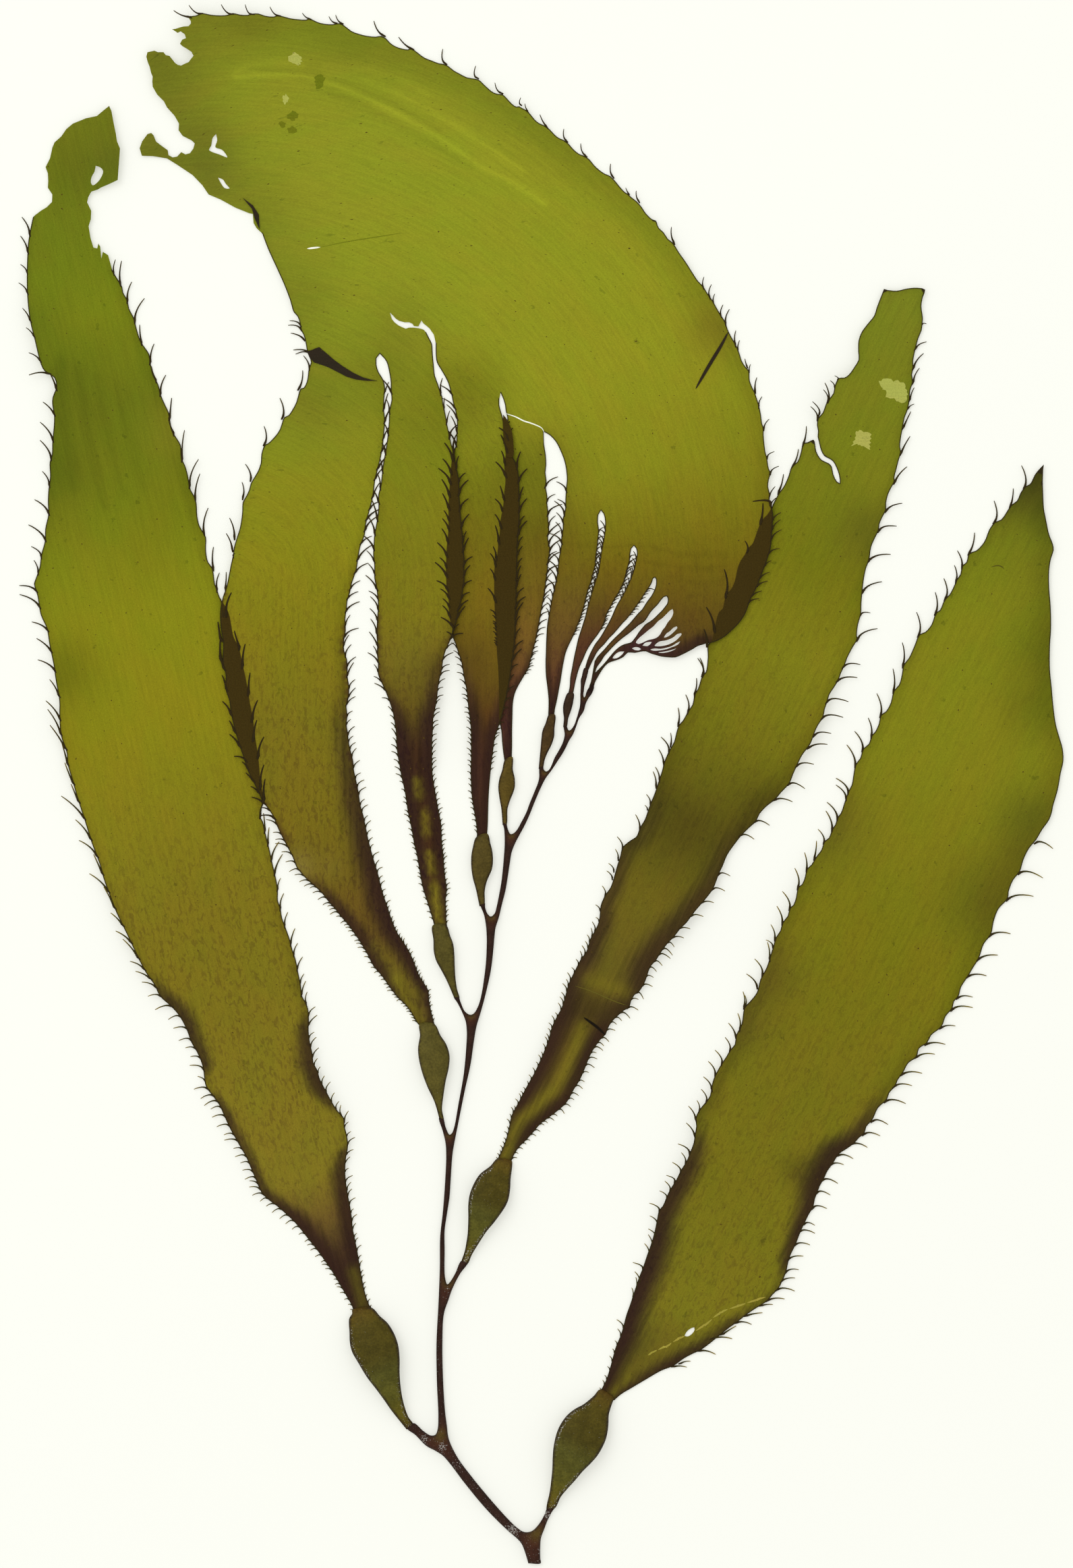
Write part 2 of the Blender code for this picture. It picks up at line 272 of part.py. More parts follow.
CROWN_TOP = [
    (50.4, 413.9), (52.2, 414), (53.4, 414.5), (53.9, 414.7), (56, 414.3), (57.8, 414.1), (60.1, 414.1),
    (61.4, 414.4), (62.2, 414.7), (64, 414.3), (66.1, 414.2), (67.1, 414.5), (69, 414.6), (70.8, 414),
    (73.1, 413.8), (73.9, 414.1), (75.5, 413.9), (77.3, 413.4), (79.6, 413.1), (81.7, 413), (82.4, 413.3),
    (83.5, 413), (84.7, 412.4), (86.7, 411.9), (88.8, 411.8), (90.6, 412.1), (92, 411.4), (93.8, 410),
    (95.6, 409.3), (98, 408.7), (100.3, 408.5), (101.7, 408.7), (103, 408.1), (104.2, 406.8),
    (105.6, 405.9), (107.4, 405.3), (108.9, 405.1), (109.7, 405.4), (111.3, 404.4), (112.3, 403.6),
    (113.5, 402.8), (115.3, 402.1), (117.1, 401.4), (118.5, 401.2), (119.6, 400.7), (121.1, 399.5),
    (122.9, 398.5), (124.7, 397.6), (126.6, 397.3), (127.8, 397), (129, 395.9), (130.5, 394.5),
    (131.7, 393.6), (132.9, 393.2), (134.1, 393.1), (135.4, 391.9), (136.6, 390.6), (137.8, 389.8),
    (138.6, 389.9), (139.6, 389.3), (140.3, 389), (141.5, 387.9), (142.7, 386.4), (143.9, 385.4),
    (145.3, 384.8), (146.6, 383.9), (147.9, 382.5), (149.1, 381.5), (150.5, 380.9), (151.8, 379.9),
    (153, 378.5), (154.6, 377.2), (155.7, 376.8), (157.3, 375.8), (158.5, 374.3), (160, 372.9),
    (161.5, 371.9), (162.9, 371.3), (164.2, 370), (165.4, 368.5), (166.7, 367.1), (167.5, 366.6),
    (168.6, 365.6), (170, 364.5), (171.3, 363), (172.2, 361.6), (173.1, 360.6), (174, 359.8),
    (175.1, 359.4), (175.5, 358.2), (175.9, 357.4), (177.1, 356.3), (178.3, 354.5), (179.5, 353.6),
    (181.3, 350.8), (183, 348.4), (185.1, 345.1), (186.3, 343.3), (187.7, 341.9), (188.7, 340.2),
    (190.2, 338.1), (191.2, 336.3), (192.3, 334.4), (193.6, 332.4), (194.2, 330.5), (195.1, 328.6),
    (196.2, 326.7), (196.9, 325.3), (197.5, 323.6), (198, 322), (199, 320.4), (199.9, 319.4),
    (200.1, 316.8), (200.8, 314.9), (201.4, 313.8), (202, 312), (202.6, 310.1), (203.1, 307.6),
    (203.4, 305.3), (203.8, 304.2), (203.8, 302.4), (204, 299.9), (204.3, 297.6), (204.7, 296.3),
    (204.9, 294.8), (205.2, 293.2), (205.7, 292.2), (205.2, 290.3), (205, 288.4), (205.5, 286.4),
    (205.4, 284.5), (205.9, 283.1), (206.3, 281.2), (206.2, 278.7), (206, 275.5), (205.7, 272.3),
    (205, 269.7), (204.1, 267.2), (203.1, 264.6), (202.2, 262), (201.2, 260.1), (200.2, 258.2),
    (199.6, 256.3), (198.6, 254), (197, 251.8), (195.1, 249.9), (193.2, 248.3), (191.3, 247.3),
    (189.4, 246.7), (188.4, 246.6),
]
LOWER_EDGE = [
    (187.5, 246.3), (186.2, 245.9), (184.9, 245.1), (183.4, 244.3), (181.8, 243.5), (180.3, 242.9),
    (178.6, 242.9), (176.6, 243.1), (175.1, 243.5), (173.5, 244), (172.4, 244.5), (170.9, 244.4),
    (169.4, 244.1), (167.6, 244.2), (166.5, 243.1), (165.2, 242.4), (163.7, 241.9), (162.4, 241.4),
    (161.1, 240.1), (159.6, 237.7), (158.8, 236.2), (158.2, 234.4), (157.2, 234.6), (157.7, 236.4),
    (158, 237.9), (158.4, 240.2),
]

# Strip margins beside each slit, from the slit's tip down to the strip's neck
SLIT_7_RIGHT = [
    (158.7, 241.9), (159.5, 243.2), (161.1, 244.9), (162.4, 246.4), (163.9, 248), (165.5, 249.5),
    (166.8, 250.8), (168.1, 252.1), (169.2, 253.4), (170.3, 254.7), (171.4, 255.8), (172.2, 257.1),
    (173.1, 258.4), (173.8, 259.3), (174.3, 260.2), (174.8, 261.3), (175.1, 262.6), (175.1, 263.7),
    (174.8, 264.2),
]
STRIP_J_RIGHT = [
    (174.3, 263.9), (173.9, 262.6), (173.1, 261.3), (172.2, 260), (171.1, 258.2), (170, 256.7),
    (168.7, 254.9), (167.4, 253.2), (166.3, 252.1), (165.2, 250.8), (163.9, 249.3), (162.6, 248),
    (161.3, 246.4), (160, 245.1), (159.2, 244), (158.4, 242.4), (157.7, 241), (157.1, 239.6),
]
STRIP_J_LEFT = [
    (156.1, 239.9), (156.5, 241.4), (157.2, 243.3), (158.1, 245.2), (158.9, 246.6), (159.9, 247.9),
    (160.8, 249.3), (161.6, 250.7), (162.5, 252.3), (163.3, 253.9), (164.1, 255.8), (164.9, 257.4),
    (166, 259.2), (166.8, 260.8), (167.6, 262.4), (168.5, 264.6), (169.3, 267), (169.6, 268.6),
    (170, 270.5), (169.8, 271.9), (169.2, 272.7),
]
STRIP_I_RIGHT = [
    (168.5, 271.9), (168.2, 270.3), (168.1, 268.6), (167.4, 266.2), (166.9, 263.9), (166, 261.7),
    (164.9, 259.6), (163.8, 257.9), (163, 256.3), (162.1, 254.7), (161.4, 252.5), (160.6, 250.6),
    (159.5, 248.9), (158.6, 247.7), (157.6, 246.3), (156.5, 244.4), (155.7, 242.5), (154.7, 240.3),
    (154.1, 238.4), (153.5, 235.9), (153.1, 233.8), (152.9, 233.1),
]
STRIP_I_LEFT = [
    (151.6, 233.2), (152, 234.8), (152.2, 237.6), (152.7, 240.3), (153.2, 243), (153.8, 245.7),
    (154.3, 247.9), (155, 250.1), (155.7, 252.3), (156.2, 253.9), (156.7, 256.1), (157.3, 258.2),
    (157.9, 260.4), (158.6, 262.6), (159.3, 264.8), (159.8, 267), (160.3, 270.3), (160.7, 272.7),
    (161.1, 274.6), (161.4, 276.8), (161.5, 279.2), (161.1, 281.2), (160.4, 282.1),
]
STRIP_H_RIGHT = [
    (159.7, 280.9), (159.6, 279), (159.9, 276.8), (159.7, 274.6), (159.5, 272.4), (159.2, 270.3),
    (159, 267.5), (158.4, 265.4), (157.9, 263.2), (157.1, 261), (156.5, 258.8), (156, 256.6),
    (155.4, 254.7), (154.8, 252.8), (154.1, 251.2), (153.5, 249.6), (152.7, 247.9), (151.9, 246.3),
    (151, 244.1), (150.5, 241.9), (150.1, 239.7), (149.7, 237), (149.2, 234.3), (148.7, 231.6),
    (148.1, 228.9), (147.9, 226.9),
]
STRIP_H_LEFT = [
    (146.3, 226.9), (146.4, 231.6), (146.1, 234.8), (145.7, 238.1), (145.6, 241.4), (145.7, 244.6),
    (145.8, 247.9), (146, 251.2), (146.4, 253.9), (146.8, 256.1), (147.2, 258.3), (147.8, 261),
    (148.4, 263.7), (148.8, 266.4), (149.1, 269.2), (149.5, 271.3), (149.8, 273.2), (149.8, 275.1),
    (150.2, 277.3), (150.2, 280), (150.8, 282.2), (150.9, 285.2), (151.1, 288.4), (151.3, 290.3),
    (151.1, 292.9), (150.6, 295.4), (149.6, 298), (148.3, 300.5), (146.7, 302.2), (145.1, 303.1),
]
STRIP_G_RIGHT = [
    (145.2, 299.9), (145.7, 296.7), (145.8, 294.1), (145.6, 292.2), (145.9, 289.9), (145.7, 288.4),
    (146.1, 286), (146.1, 283.9), (146.3, 282.2), (146.4, 279.5), (146.6, 277), (146.3, 274.6),
    (146.9, 271.8), (146.4, 268.6), (146.2, 265.9), (145.8, 263.1), (145.5, 260.4), (145, 257.7),
    (144.5, 255.2), (144, 252.2), (143.6, 250.1), (143, 247.3), (142.3, 244.6), (141.7, 242.4),
    (141.2, 240.5), (139.8, 237.8), (138.5, 235.6), (137.4, 233.2), (136.9, 230.5), (136.8, 227.2),
    (136.7, 223.4), (136.7, 219.6), (136.6, 215.6),
]
STRIP_G_LEFT = [
    (134.7, 214.9), (134.3, 217.6), (134, 220.5), (133.8, 223.4), (133.3, 226), (133.2, 228), (133.2, 232),
    (133.1, 236.6), (132.9, 240.6), (132.6, 244.7), (132.3, 251.6), (132, 256.6), (131.9, 260),
    (131.9, 263.7), (132, 266.9), (132.7, 270.2), (133, 273.5), (133.4, 276.2), (133.5, 278.9),
    (134.3, 283.3), (134.6, 287.1), (134.9, 289.8), (134.6, 294.7), (135.2, 298), (135.4, 302.3),
    (135.3, 304.5), (135.4, 307), (135, 308.5), (134.8, 310.2), (134.3, 311.9), (133.6, 313.5),
]
STRIP_F_RIGHT = [
    (133.3, 311.9), (133.3, 310.2), (133.7, 308.6), (134.2, 307), (134.5, 305.4), (134.7, 303.8),
    (134.9, 300.2), (136.6, 296.9), (138.1, 293.6), (138.5, 290.4), (138.6, 287.1), (138.7, 283.8),
    (138.7, 280.6), (138.5, 277.3), (138.2, 273.5), (138.1, 269.7), (138, 265.8), (137.9, 262),
    (137.9, 258.8), (137.7, 254.4), (137.6, 250), (137.2, 244.7), (136.6, 240.6), (136.1, 237.2),
    (135.5, 233.7), (134.7, 230.3), (134, 227.4), (133.3, 225.2), (132.9, 223.7), (132.2, 221.9),
    (131.9, 219.9), (131.6, 217.6), (131.2, 214.7), (130.9, 211.8), (130.6, 208.3), (130.4, 204.9),
    (130.3, 201.4), (130.2, 198), (130, 195.1),
]
STRIP_F_LEFT = [
    (127.1, 194.3), (127.3, 195.6), (127, 199.1), (126.5, 202), (125.9, 206), (125.7, 209.5),
    (125.6, 212.4), (125.7, 215.8), (125.7, 219.3), (125.7, 222.8), (125.5, 225.7), (125.1, 228.6),
    (124.8, 231.4), (124.5, 234.3), (124, 236.6), (123.5, 239.5), (123.1, 241.8), (122.3, 244.1),
    (121.6, 246.4), (120.8, 248.4), (120.7, 250.8), (120, 253.3), (119.8, 256), (119.7, 258.8),
    (119.2, 261.5), (119.1, 264.2), (119, 266.9), (119.1, 269.1), (119.2, 271.8), (119.5, 274.6),
    (119.7, 277.3), (119.7, 280), (119.7, 282.7), (119.8, 285.7), (120, 288.2), (120.2, 291.4),
    (120.5, 294.7), (121, 297.4), (121.8, 300.2), (121.8, 302.9), (122, 304.5), (121.9, 306.7),
    (121.6, 308.3), (121, 310.5), (120.5, 312.9), (120.2, 314), (119.7, 315.9), (118.8, 317.8),
    (117.7, 319.7), (116.6, 321.6), (116.3, 324.1), (116.3, 326.8),
]
SLIT_2_HEAD = [
    (115.8, 329), (114.7, 330.6), (113.8, 331.4), (113, 332), (112.5, 332.8), (112.1, 332), (111.7, 331.2),
    (110.5, 331.3), (110.1, 331.9), (109.2, 332.3), (108, 332.3), (106.5, 332.7), (105.6, 333.3),
    (104.9, 334.1), (104.1, 334.9), (104.6, 333.2), (105.3, 332.3), (106.5, 331.4), (108.3, 330.6),
    (109.2, 330.9), (110.4, 330.9), (111.9, 330.7), (113, 330.4),
]
# Where strip F's sheet is joined on to the rest, between the heads of slits 2 and 3
STRIP_F_SEAM = [(120.2, 325.6), (124.6, 321.9), (129.1, 317.8)]
STRIP_E_RIGHT = [
    (113.8, 329.6), (114.7, 327.8), (115.3, 326.6), (115.5, 324.1), (115.8, 320.8), (116.1, 318.1),
    (116.9, 315.9), (117.6, 313.7), (118.1, 312.4), (118.3, 310.5), (118.6, 309.4), (119.1, 306.9),
    (119.4, 305), (119.9, 302.7), (120.3, 300.8), (120.8, 298.8), (121.3, 297.4), (121.6, 294.7),
    (122.1, 292.5), (122.6, 289.3), (122.6, 286.5), (122.8, 283.3), (123, 280.5), (123.3, 277.8),
    (123.6, 274.5), (123.7, 271.8), (124, 269.1), (123.9, 266.3), (124, 263.6), (123.6, 260.9),
    (123.2, 258.2), (122.4, 255.4), (122.1, 253.3), (121.3, 250.8), (120.5, 248), (119.9, 246.7),
    (119, 244.7), (118.3, 242.1), (118, 239.5), (117.4, 237.2), (117, 234.9), (116.7, 232),
    (116.3, 229.7), (115.7, 226.8), (115.6, 223.9), (115.4, 220.5), (115.4, 217), (115.4, 213.5),
    (115.6, 210.6), (116.2, 207.2), (116.7, 204.3), (117.2, 201.4), (117.7, 199.1), (117.9, 196.2),
    (118, 193.3), (118.4, 189.9), (118.6, 187), (118.9, 184.1), (119.3, 181.2), (119, 178.3),
    (119.1, 175.4), (119.2, 172.6), (119.4, 170.9),
]
STRIP_E_LEFT = [
    (116, 170.7), (115.6, 172.6), (114.7, 175.5), (113.8, 178.4), (112.9, 181.2), (112.2, 184.7),
    (111.7, 187.6), (111.2, 190.5), (110.5, 193.3), (110, 196.2), (109.3, 199.7), (108.8, 202),
    (108.4, 204.9), (107.9, 207.8), (107.1, 211.3), (106.5, 214.7), (106.1, 217), (105.8, 219.9),
    (105.7, 222.8), (105.3, 225.7), (104.9, 228), (104, 230.9), (102.9, 233.8), (102, 235.8),
    (100.9, 238.4), (100.9, 241.3), (100.6, 244.1), (100.7, 246.4), (100.5, 248.8), (100.7, 253.8),
    (100.9, 256.5), (100.7, 259.3), (100.4, 261.7), (99.9, 264.1), (99.9, 267.5), (99.6, 270.2),
    (99.7, 272.4), (99.9, 275.6), (100.4, 278.3), (101, 282.7), (101, 286.5), (101.6, 288.7),
    (101.9, 291.5), (102.3, 294.8), (102.8, 297.5), (103.2, 300), (103.5, 302.4), (103.8, 306),
    (103.9, 308.9), (104.5, 311.6), (104.3, 314), (104.3, 316.2), (104, 318.4), (103.1, 321.9),
    (101.4, 323.9),
]
STRIP_D_RIGHT = [
    (100.5, 322.7), (100.5, 321), (101, 319.2), (102.3, 317), (102.8, 314.8), (102.6, 312.1),
    (102.5, 309.4), (102.8, 306), (102.5, 302.4), (102.2, 299.1), (101.7, 296.4), (100.9, 293.1),
    (100.1, 289.8), (99.8, 287.1), (99.3, 284.4), (98.5, 281.4), (97.7, 278.4), (97.4, 275.7),
    (96.2, 272.4), (95.6, 269.1), (95.2, 266.4), (93.9, 262.5), (93.5, 260.4), (92.7, 257.7), (92.6, 256),
    (92.2, 253.3), (92.3, 250), (91.8, 247), (91.9, 244.7), (92.6, 242.5), (92.8, 240.1), (92.8, 237.8),
    (93.2, 235.2), (93.1, 232.3), (92.5, 229.7), (92.8, 227.4), (92.5, 225.1), (92.9, 222.8),
    (93.1, 220.5), (93.6, 218.1), (94.3, 215.3), (94.5, 212.9), (95.1, 210.1), (95.8, 206.6),
    (96.2, 203.7), (97, 200.8), (97.6, 198), (98.3, 194.5), (99.2, 191), (100, 188.2), (100.9, 185.3),
    (101.6, 182.4), (102.4, 179.5), (103.5, 176.3), (104.3, 173.8), (105.2, 171.4), (106.1, 169.4),
    (107.8, 166.9), (109.5, 164), (110.9, 160.7), (111.8, 158.3), (113.3, 155.9), (114.3, 154.2),
    (114.6, 151.1), (115.2, 148.2), (115.8, 145.8), (116.2, 144.4),
]

# Gaps between the youngest threads, and the two holes in the torn end
TERMINAL_HOLES = [
    [(179.5, 255.8), (178.8, 255.4), (177.9, 254.5), (176.8, 253.4), (175.7, 252.6), (174.4, 251.2),
     (173.1, 250.2), (171.8, 249.1), (170.5, 248), (169.7, 246.9), (170.4, 246.5), (171.6, 246.9),
     (172.9, 247.5), (174.2, 247.8), (175.3, 248.2), (176.2, 249.1), (176.8, 250.2), (177.5, 251),
     (178.1, 252.1), (179, 253.2), (179.5, 254.1), (179.7, 255)],
    [(180.6, 251.2), (179.7, 250.8), (178.8, 249.9), (177.9, 249.3), (177.2, 248.2), (178.3, 248.5),
     (179.4, 249.3), (180.3, 250.2), (180.8, 250.8)],
    [(181.8, 249.4), (180.7, 249.1), (179.9, 248.4), (178.8, 247.8), (177.5, 247.4), (176.2, 247.2),
     (175.3, 246.7), (174.7, 246), (176.2, 245.9), (177.9, 246.2), (179.4, 246.8), (180.5, 247.5),
     (181.4, 248.4), (181.9, 249)],
    [(181.5, 247.2), (180.5, 246.7), (179.4, 246), (177.9, 245.5), (176.2, 245.2), (174.8, 245.3),
     (173.6, 245), (174.4, 244.7), (176.2, 244.8), (177.9, 245.1), (179.2, 245.6), (180.3, 246),
     (181.2, 246.6)],
    [(180.5, 245.3), (179.2, 244.9), (177.5, 244.5), (175.7, 244.2), (176.8, 244.1), (178.6, 244.4),
     (179.9, 244.9)],
    [(166.6, 244.5), (165.2, 244.4), (164.1, 243.6), (163.5, 242.7), (164.6, 242.7), (165.7, 243.4),
     (166.3, 244)],
    [(168.7, 245.3), (169.2, 245.6), (170.3, 245.6), (171.1, 245.1), (170.5, 244.8), (169.4, 244.9)],
    [(171.5, 246.1), (172.2, 246.8), (173.1, 247), (173.9, 247), (173.3, 246.2), (172.6, 245.9)],
    [(57.7, 382.5), (58, 380.8), (57.5, 379), (59.3, 378.3), (60.7, 376.3), (58.5, 377.1), (56.5, 377.8),
     (55.8, 378.3), (56.4, 379.4), (56.8, 381.5)],
    [(58.2, 370.9), (59.5, 370.4), (60.3, 369.2), (61.3, 368), (60, 368.1), (59, 369.4)],
]
SLIT_8 = [
    (158.9, 238.9), (159.3, 240.2), (160.5, 241.9), (161.3, 243.2), (162.2, 244.2), (163.3, 245.4),
    (164.6, 246.7), (166.1, 248), (167.6, 249.1), (169.2, 250.4), (170.5, 251.5), (171.8, 252.3),
    (172.7, 253.4), (173.5, 254.7), (174.4, 255.8), (175.5, 256.9), (176.4, 258.1), (177.2, 259),
    (177.9, 259.2), (178.2, 258.7), (178.1, 257.4), (177.5, 256.5), (176.6, 255.4), (175.7, 254.5),
    (174.8, 253.6), (174, 252.9), (173.1, 252.3), (172.2, 251.7), (171.4, 250.8), (170.5, 249.7),
    (169.8, 248.6), (169.2, 247.8), (168.5, 247), (167.6, 246.7), (166.5, 246.4), (165.4, 245.8),
    (164.1, 244.7), (162.8, 243.2), (161.5, 241.6), (160, 240),
]

# Margins that carry spines: first and last millimetre of the stretch, spacing, length, lean towards the tip
SPINES = {
    "blade_1_left": (70, 262, 13.0, 5.6, 50),
    "blade_1_right": (92, 236, 13.0, 5.6, -38),
    "blade_2_left": (45, 290, 13.0, 5.0, 50),
    "blade_2_right": (12, 175, 14.0, 6.0, -62),
    "blade_3_left": (60, 190, 13.0, 4.6, 48),
    "blade_3_right": (10, 152, 12.0, 5.4, -35),
    "crown_top": (6, 210, 12.0, 4.8, 52),
    "strip_d_left": (122, 178, 14.0, 5.5, 60),
}
SPINE_SENSE = {"crown_top": -1}

# Places where a sheet lies low, and where the one above is lifted clear of it
LOW_LEFT = ((59, 262), (71, 202))
LOW_RIGHT = ((206, 284), (189, 246))
CROWN_WAVE_START = 322.0
STRIP_STACK_TOP = 313.0
STRIP_STACK_BOTTOM = 206.0

COLOURS = {
    "stipe": (0.032, 0.014, 0.012, 1.0),
    "float": (0.065, 0.076, 0.013, 1.0),
    "blade_1": (0.20, 0.19, 0.012, 1.0),
    "blade_2": (0.19, 0.21, 0.012, 1.0),
    "blade_3": (0.17, 0.18, 0.012, 1.0),
    "terminal_blade": (0.25, 0.28, 0.018, 1.0),
}


def clear_scene():
    for item in list(bpy.data.objects):
        bpy.data.objects.remove(item, do_unlink=True)


def smooth_step(value, low, high):
    """0 at low, 1 at high, with a soft start and end."""
    t = np.clip((value - low) / (high - low), 0.0, 1.0)
    return t * t * (3.0 - 2.0 * t)


def distance_to_segment(x, y, ends):
    (ax, ay), (bx, by) = ends
    dx, dy = bx - ax, by - ay
    t = np.clip(((x - ax) * dx + (y - ay) * dy) / (dx * dx + dy * dy), 0.0, 1.0)
    return np.hypot(x - ax - t * dx, y - ay - t * dy)


def wave(x, y, wide, high, phase):
    """Soft dimples that all touch zero at their lowest."""
    s = np.sin(x / wide + phase) * np.cos(y / high - phase)
    return 2.2 * ((s + 1.0) / 2.0) ** 2


def blade_1_height(x, y):
    grown = smooth_step(y - 0.4 * (x - 160), 40, 95)
    return wave(x, y, 13.0, 17.0, 0.4) * grown


def blade_2_height(x, y):
    grown = smooth_step(y, 75, 125)
    clear = smooth_step(distance_to_segment(x, y, LOW_LEFT), 15, 34)
    return wave(x, y, 12.0, 16.0, 1.3) * grown * clear


def blade_3_height(x, y):
    grown = smooth_step(y, 112, 150)
    clear = smooth_step(distance_to_segment(x, y, LOW_RIGHT), 15, 32)
    return wave(x, y, 12.0, 15.0, 2.1) * grown * clear


def crown_wave(x, y):
    return wave(x, y, 15.0, 14.0, 0.9) * smooth_step(y, CROWN_WAVE_START, CROWN_WAVE_START + 26)


def terminal_height(x, y):
    over_blade_2 = 1.0 - smooth_step(distance_to_segment(x, y, LOW_LEFT), 14, 30)
    over_blade_3 = 1.0 - smooth_step(distance_to_segment(x, y, LOW_RIGHT), 14, 26)
    stacked = smooth_step(y, STRIP_STACK_BOTTOM, STRIP_STACK_BOTTOM + 16)
    stacked = stacked * (1.0 - smooth_step(y, STRIP_STACK_TOP - 14, STRIP_STACK_TOP))
    strip_e = smooth_step(x, 106, 116) * (1.0 - smooth_step(x, 127.5, 129.5)) * 2.0
    return crown_wave(x, y) + LAYER_LIFT * (over_blade_2 + over_blade_3 + strip_e * stacked)


def strip_f_height(x, y):
    stacked = smooth_step(y, STRIP_STACK_BOTTOM, STRIP_STACK_BOTTOM + 14)
    stacked = stacked * (1.0 - smooth_step(y, STRIP_STACK_TOP - 12, STRIP_STACK_TOP - 1))
    return crown_wave(x, y) + LAYER_LIFT * stacked


def along_margin(points):
    """Distance travelled at each point of a margin."""
    steps = np.hypot(np.diff(points[:, 0]), np.diff(points[:, 1]))
    return np.concatenate([[0.0], np.cumsum(steps)])


def with_spines(margin, name):
    """The margin with a thin pointed spine standing out of it at each station."""
    first, last, spacing, length, lean = SPINES[name]
    lean *= SPINE_SENSE.get(name, 1)
    points = np.array(margin, float)
    travelled = along_margin(points)
    random = np.random.default_rng(len(margin))
    stations = np.arange(first, min(last, travelled[-1] - 3.0), spacing)
    stations = stations + random.uniform(-1.5, 1.5, len(stations))
    result, done = [], 0
    for station in stations:
        low, high = station - SPINE_HALF_WIDTH, station + SPINE_HALF_WIDTH
        ends = [
            np.array([np.interp(s, travelled, points[:, k]) for k in (0, 1)])
            for s in (low, high)
        ]
        forward = (ends[1] - ends[0]) / np.linalg.norm(ends[1] - ends[0])
        outward = np.array([-forward[1], forward[0]])
        angle = math.radians(lean + random.uniform(-6, 6))
        reach = length * random.uniform(0.85, 1.15)
        tip = (ends[0] + ends[1]) / 2 + reach * (math.cos(angle) * outward + math.sin(angle) * forward)
        while travelled[done] < low:
            result.append(tuple(points[done]))
            done += 1
        while travelled[done] <= high:
            done += 1
        result += [tuple(ends[0]), tuple(tip), tuple(ends[1])]
    return result + [tuple(p) for p in points[done:]]


def inside(points, loops):
    """Even-odd test of many points against closed loops."""
    x, y = points[:, 0], points[:, 1]
    result = np.zeros(len(points), bool)
    for loop in loops:
        a = np.array(loop, float)
        b = np.roll(a, -1, axis=0)
        for (ax, ay), (bx, by) in zip(a, b):
            crosses = (ay > y) != (by > y)
            if ay != by:
                result ^= crosses & (x < (bx - ax) * (y - ay) / (by - ay) + ax)
    return result


def edge_distance(points, loops):
    nearest = np.full(len(points), 1e9)
    for loop in loops:
        a = np.array(loop, float)
        b = np.roll(a, -1, axis=0)
        for start, end in zip(a, b):
            nearest = np.minimum(nearest, distance_to_segment(points[:, 0], points[:, 1], (start, end)))
    return nearest


def inner_grid(loops, step, margin):
    """Staggered grid points that stay clear of every edge."""
    outer = np.array(loops[0], float)
    low, high = outer.min(axis=0), outer.max(axis=0)
    rows = []
    for row, y in enumerate(np.arange(low[1] + step / 2, high[1], step * 0.87)):
        xs = np.arange(low[0] + (row % 2) * step / 2, high[0], step)
        rows.append(np.column_stack([xs, np.full(len(xs), y)]))
    grid = np.concatenate(rows)
    keep = inside(grid, loops) & (edge_distance(grid, loops) > margin)
    return grid[keep]


def triangulate(loops, grid):
    """Triangles, counter-clockwise from above, that fill the first loop less the others."""
    verts, edges = [], []
    for loop in loops:
        start = len(verts)
        verts += [Vector(p) for p in loop]
        edges += [(start + i, start + (i + 1) % len(loop)) for i in range(len(loop))]
    verts += [Vector(p) for p in grid.tolist()]
    flat, _, faces, _, _, _ = delaunay_2d_cdt(verts, edges, [], 0, 1e-5)
    points = np.array([tuple(p) for p in flat])
    faces = np.array([tuple(f) for f in faces])
    middles = points[faces].mean(axis=1)
    faces = faces[inside(middles, loops)]
    a, b, c = points[faces[:, 0]], points[faces[:, 1]], points[faces[:, 2]]
    area = (b[:, 0] - a[:, 0]) * (c[:, 1] - a[:, 1]) - (b[:, 1] - a[:, 1]) * (c[:, 0] - a[:, 0])
    faces[area < 0] = faces[area < 0][:, ::-1]
    return points, faces


def joined(sheets):
    """Sheets of (points, faces, heights) as one, with the points they share made one."""
    points, faces, heights, seen = [], [], [], {}
    for flat, triangles, lifts in sheets:
        index = []
        for (x, y), z in zip(flat, lifts):
            key = (round(x, 3), round(y, 3), round(z, 2))
            if key not in seen:
                seen[key] = len(points)
                points.append((x, y))
                heights.append(z)
            index.append(seen[key])
        faces.append(np.array(index)[triangles])
    return np.array(points), np.concatenate(faces), np.array(heights)


def rim_edges(faces):
    """Directed edges that only one triangle has."""
    edges = np.concatenate([faces[:, [0, 1]], faces[:, [1, 2]], faces[:, [2, 0]]])
    have = {tuple(e) for e in edges.tolist()}
    return [(a, b) for a, b in have if (b, a) not in have]


def colour_of(name):
    return COLOURS["float"] if name.startswith("float") else COLOURS[name]


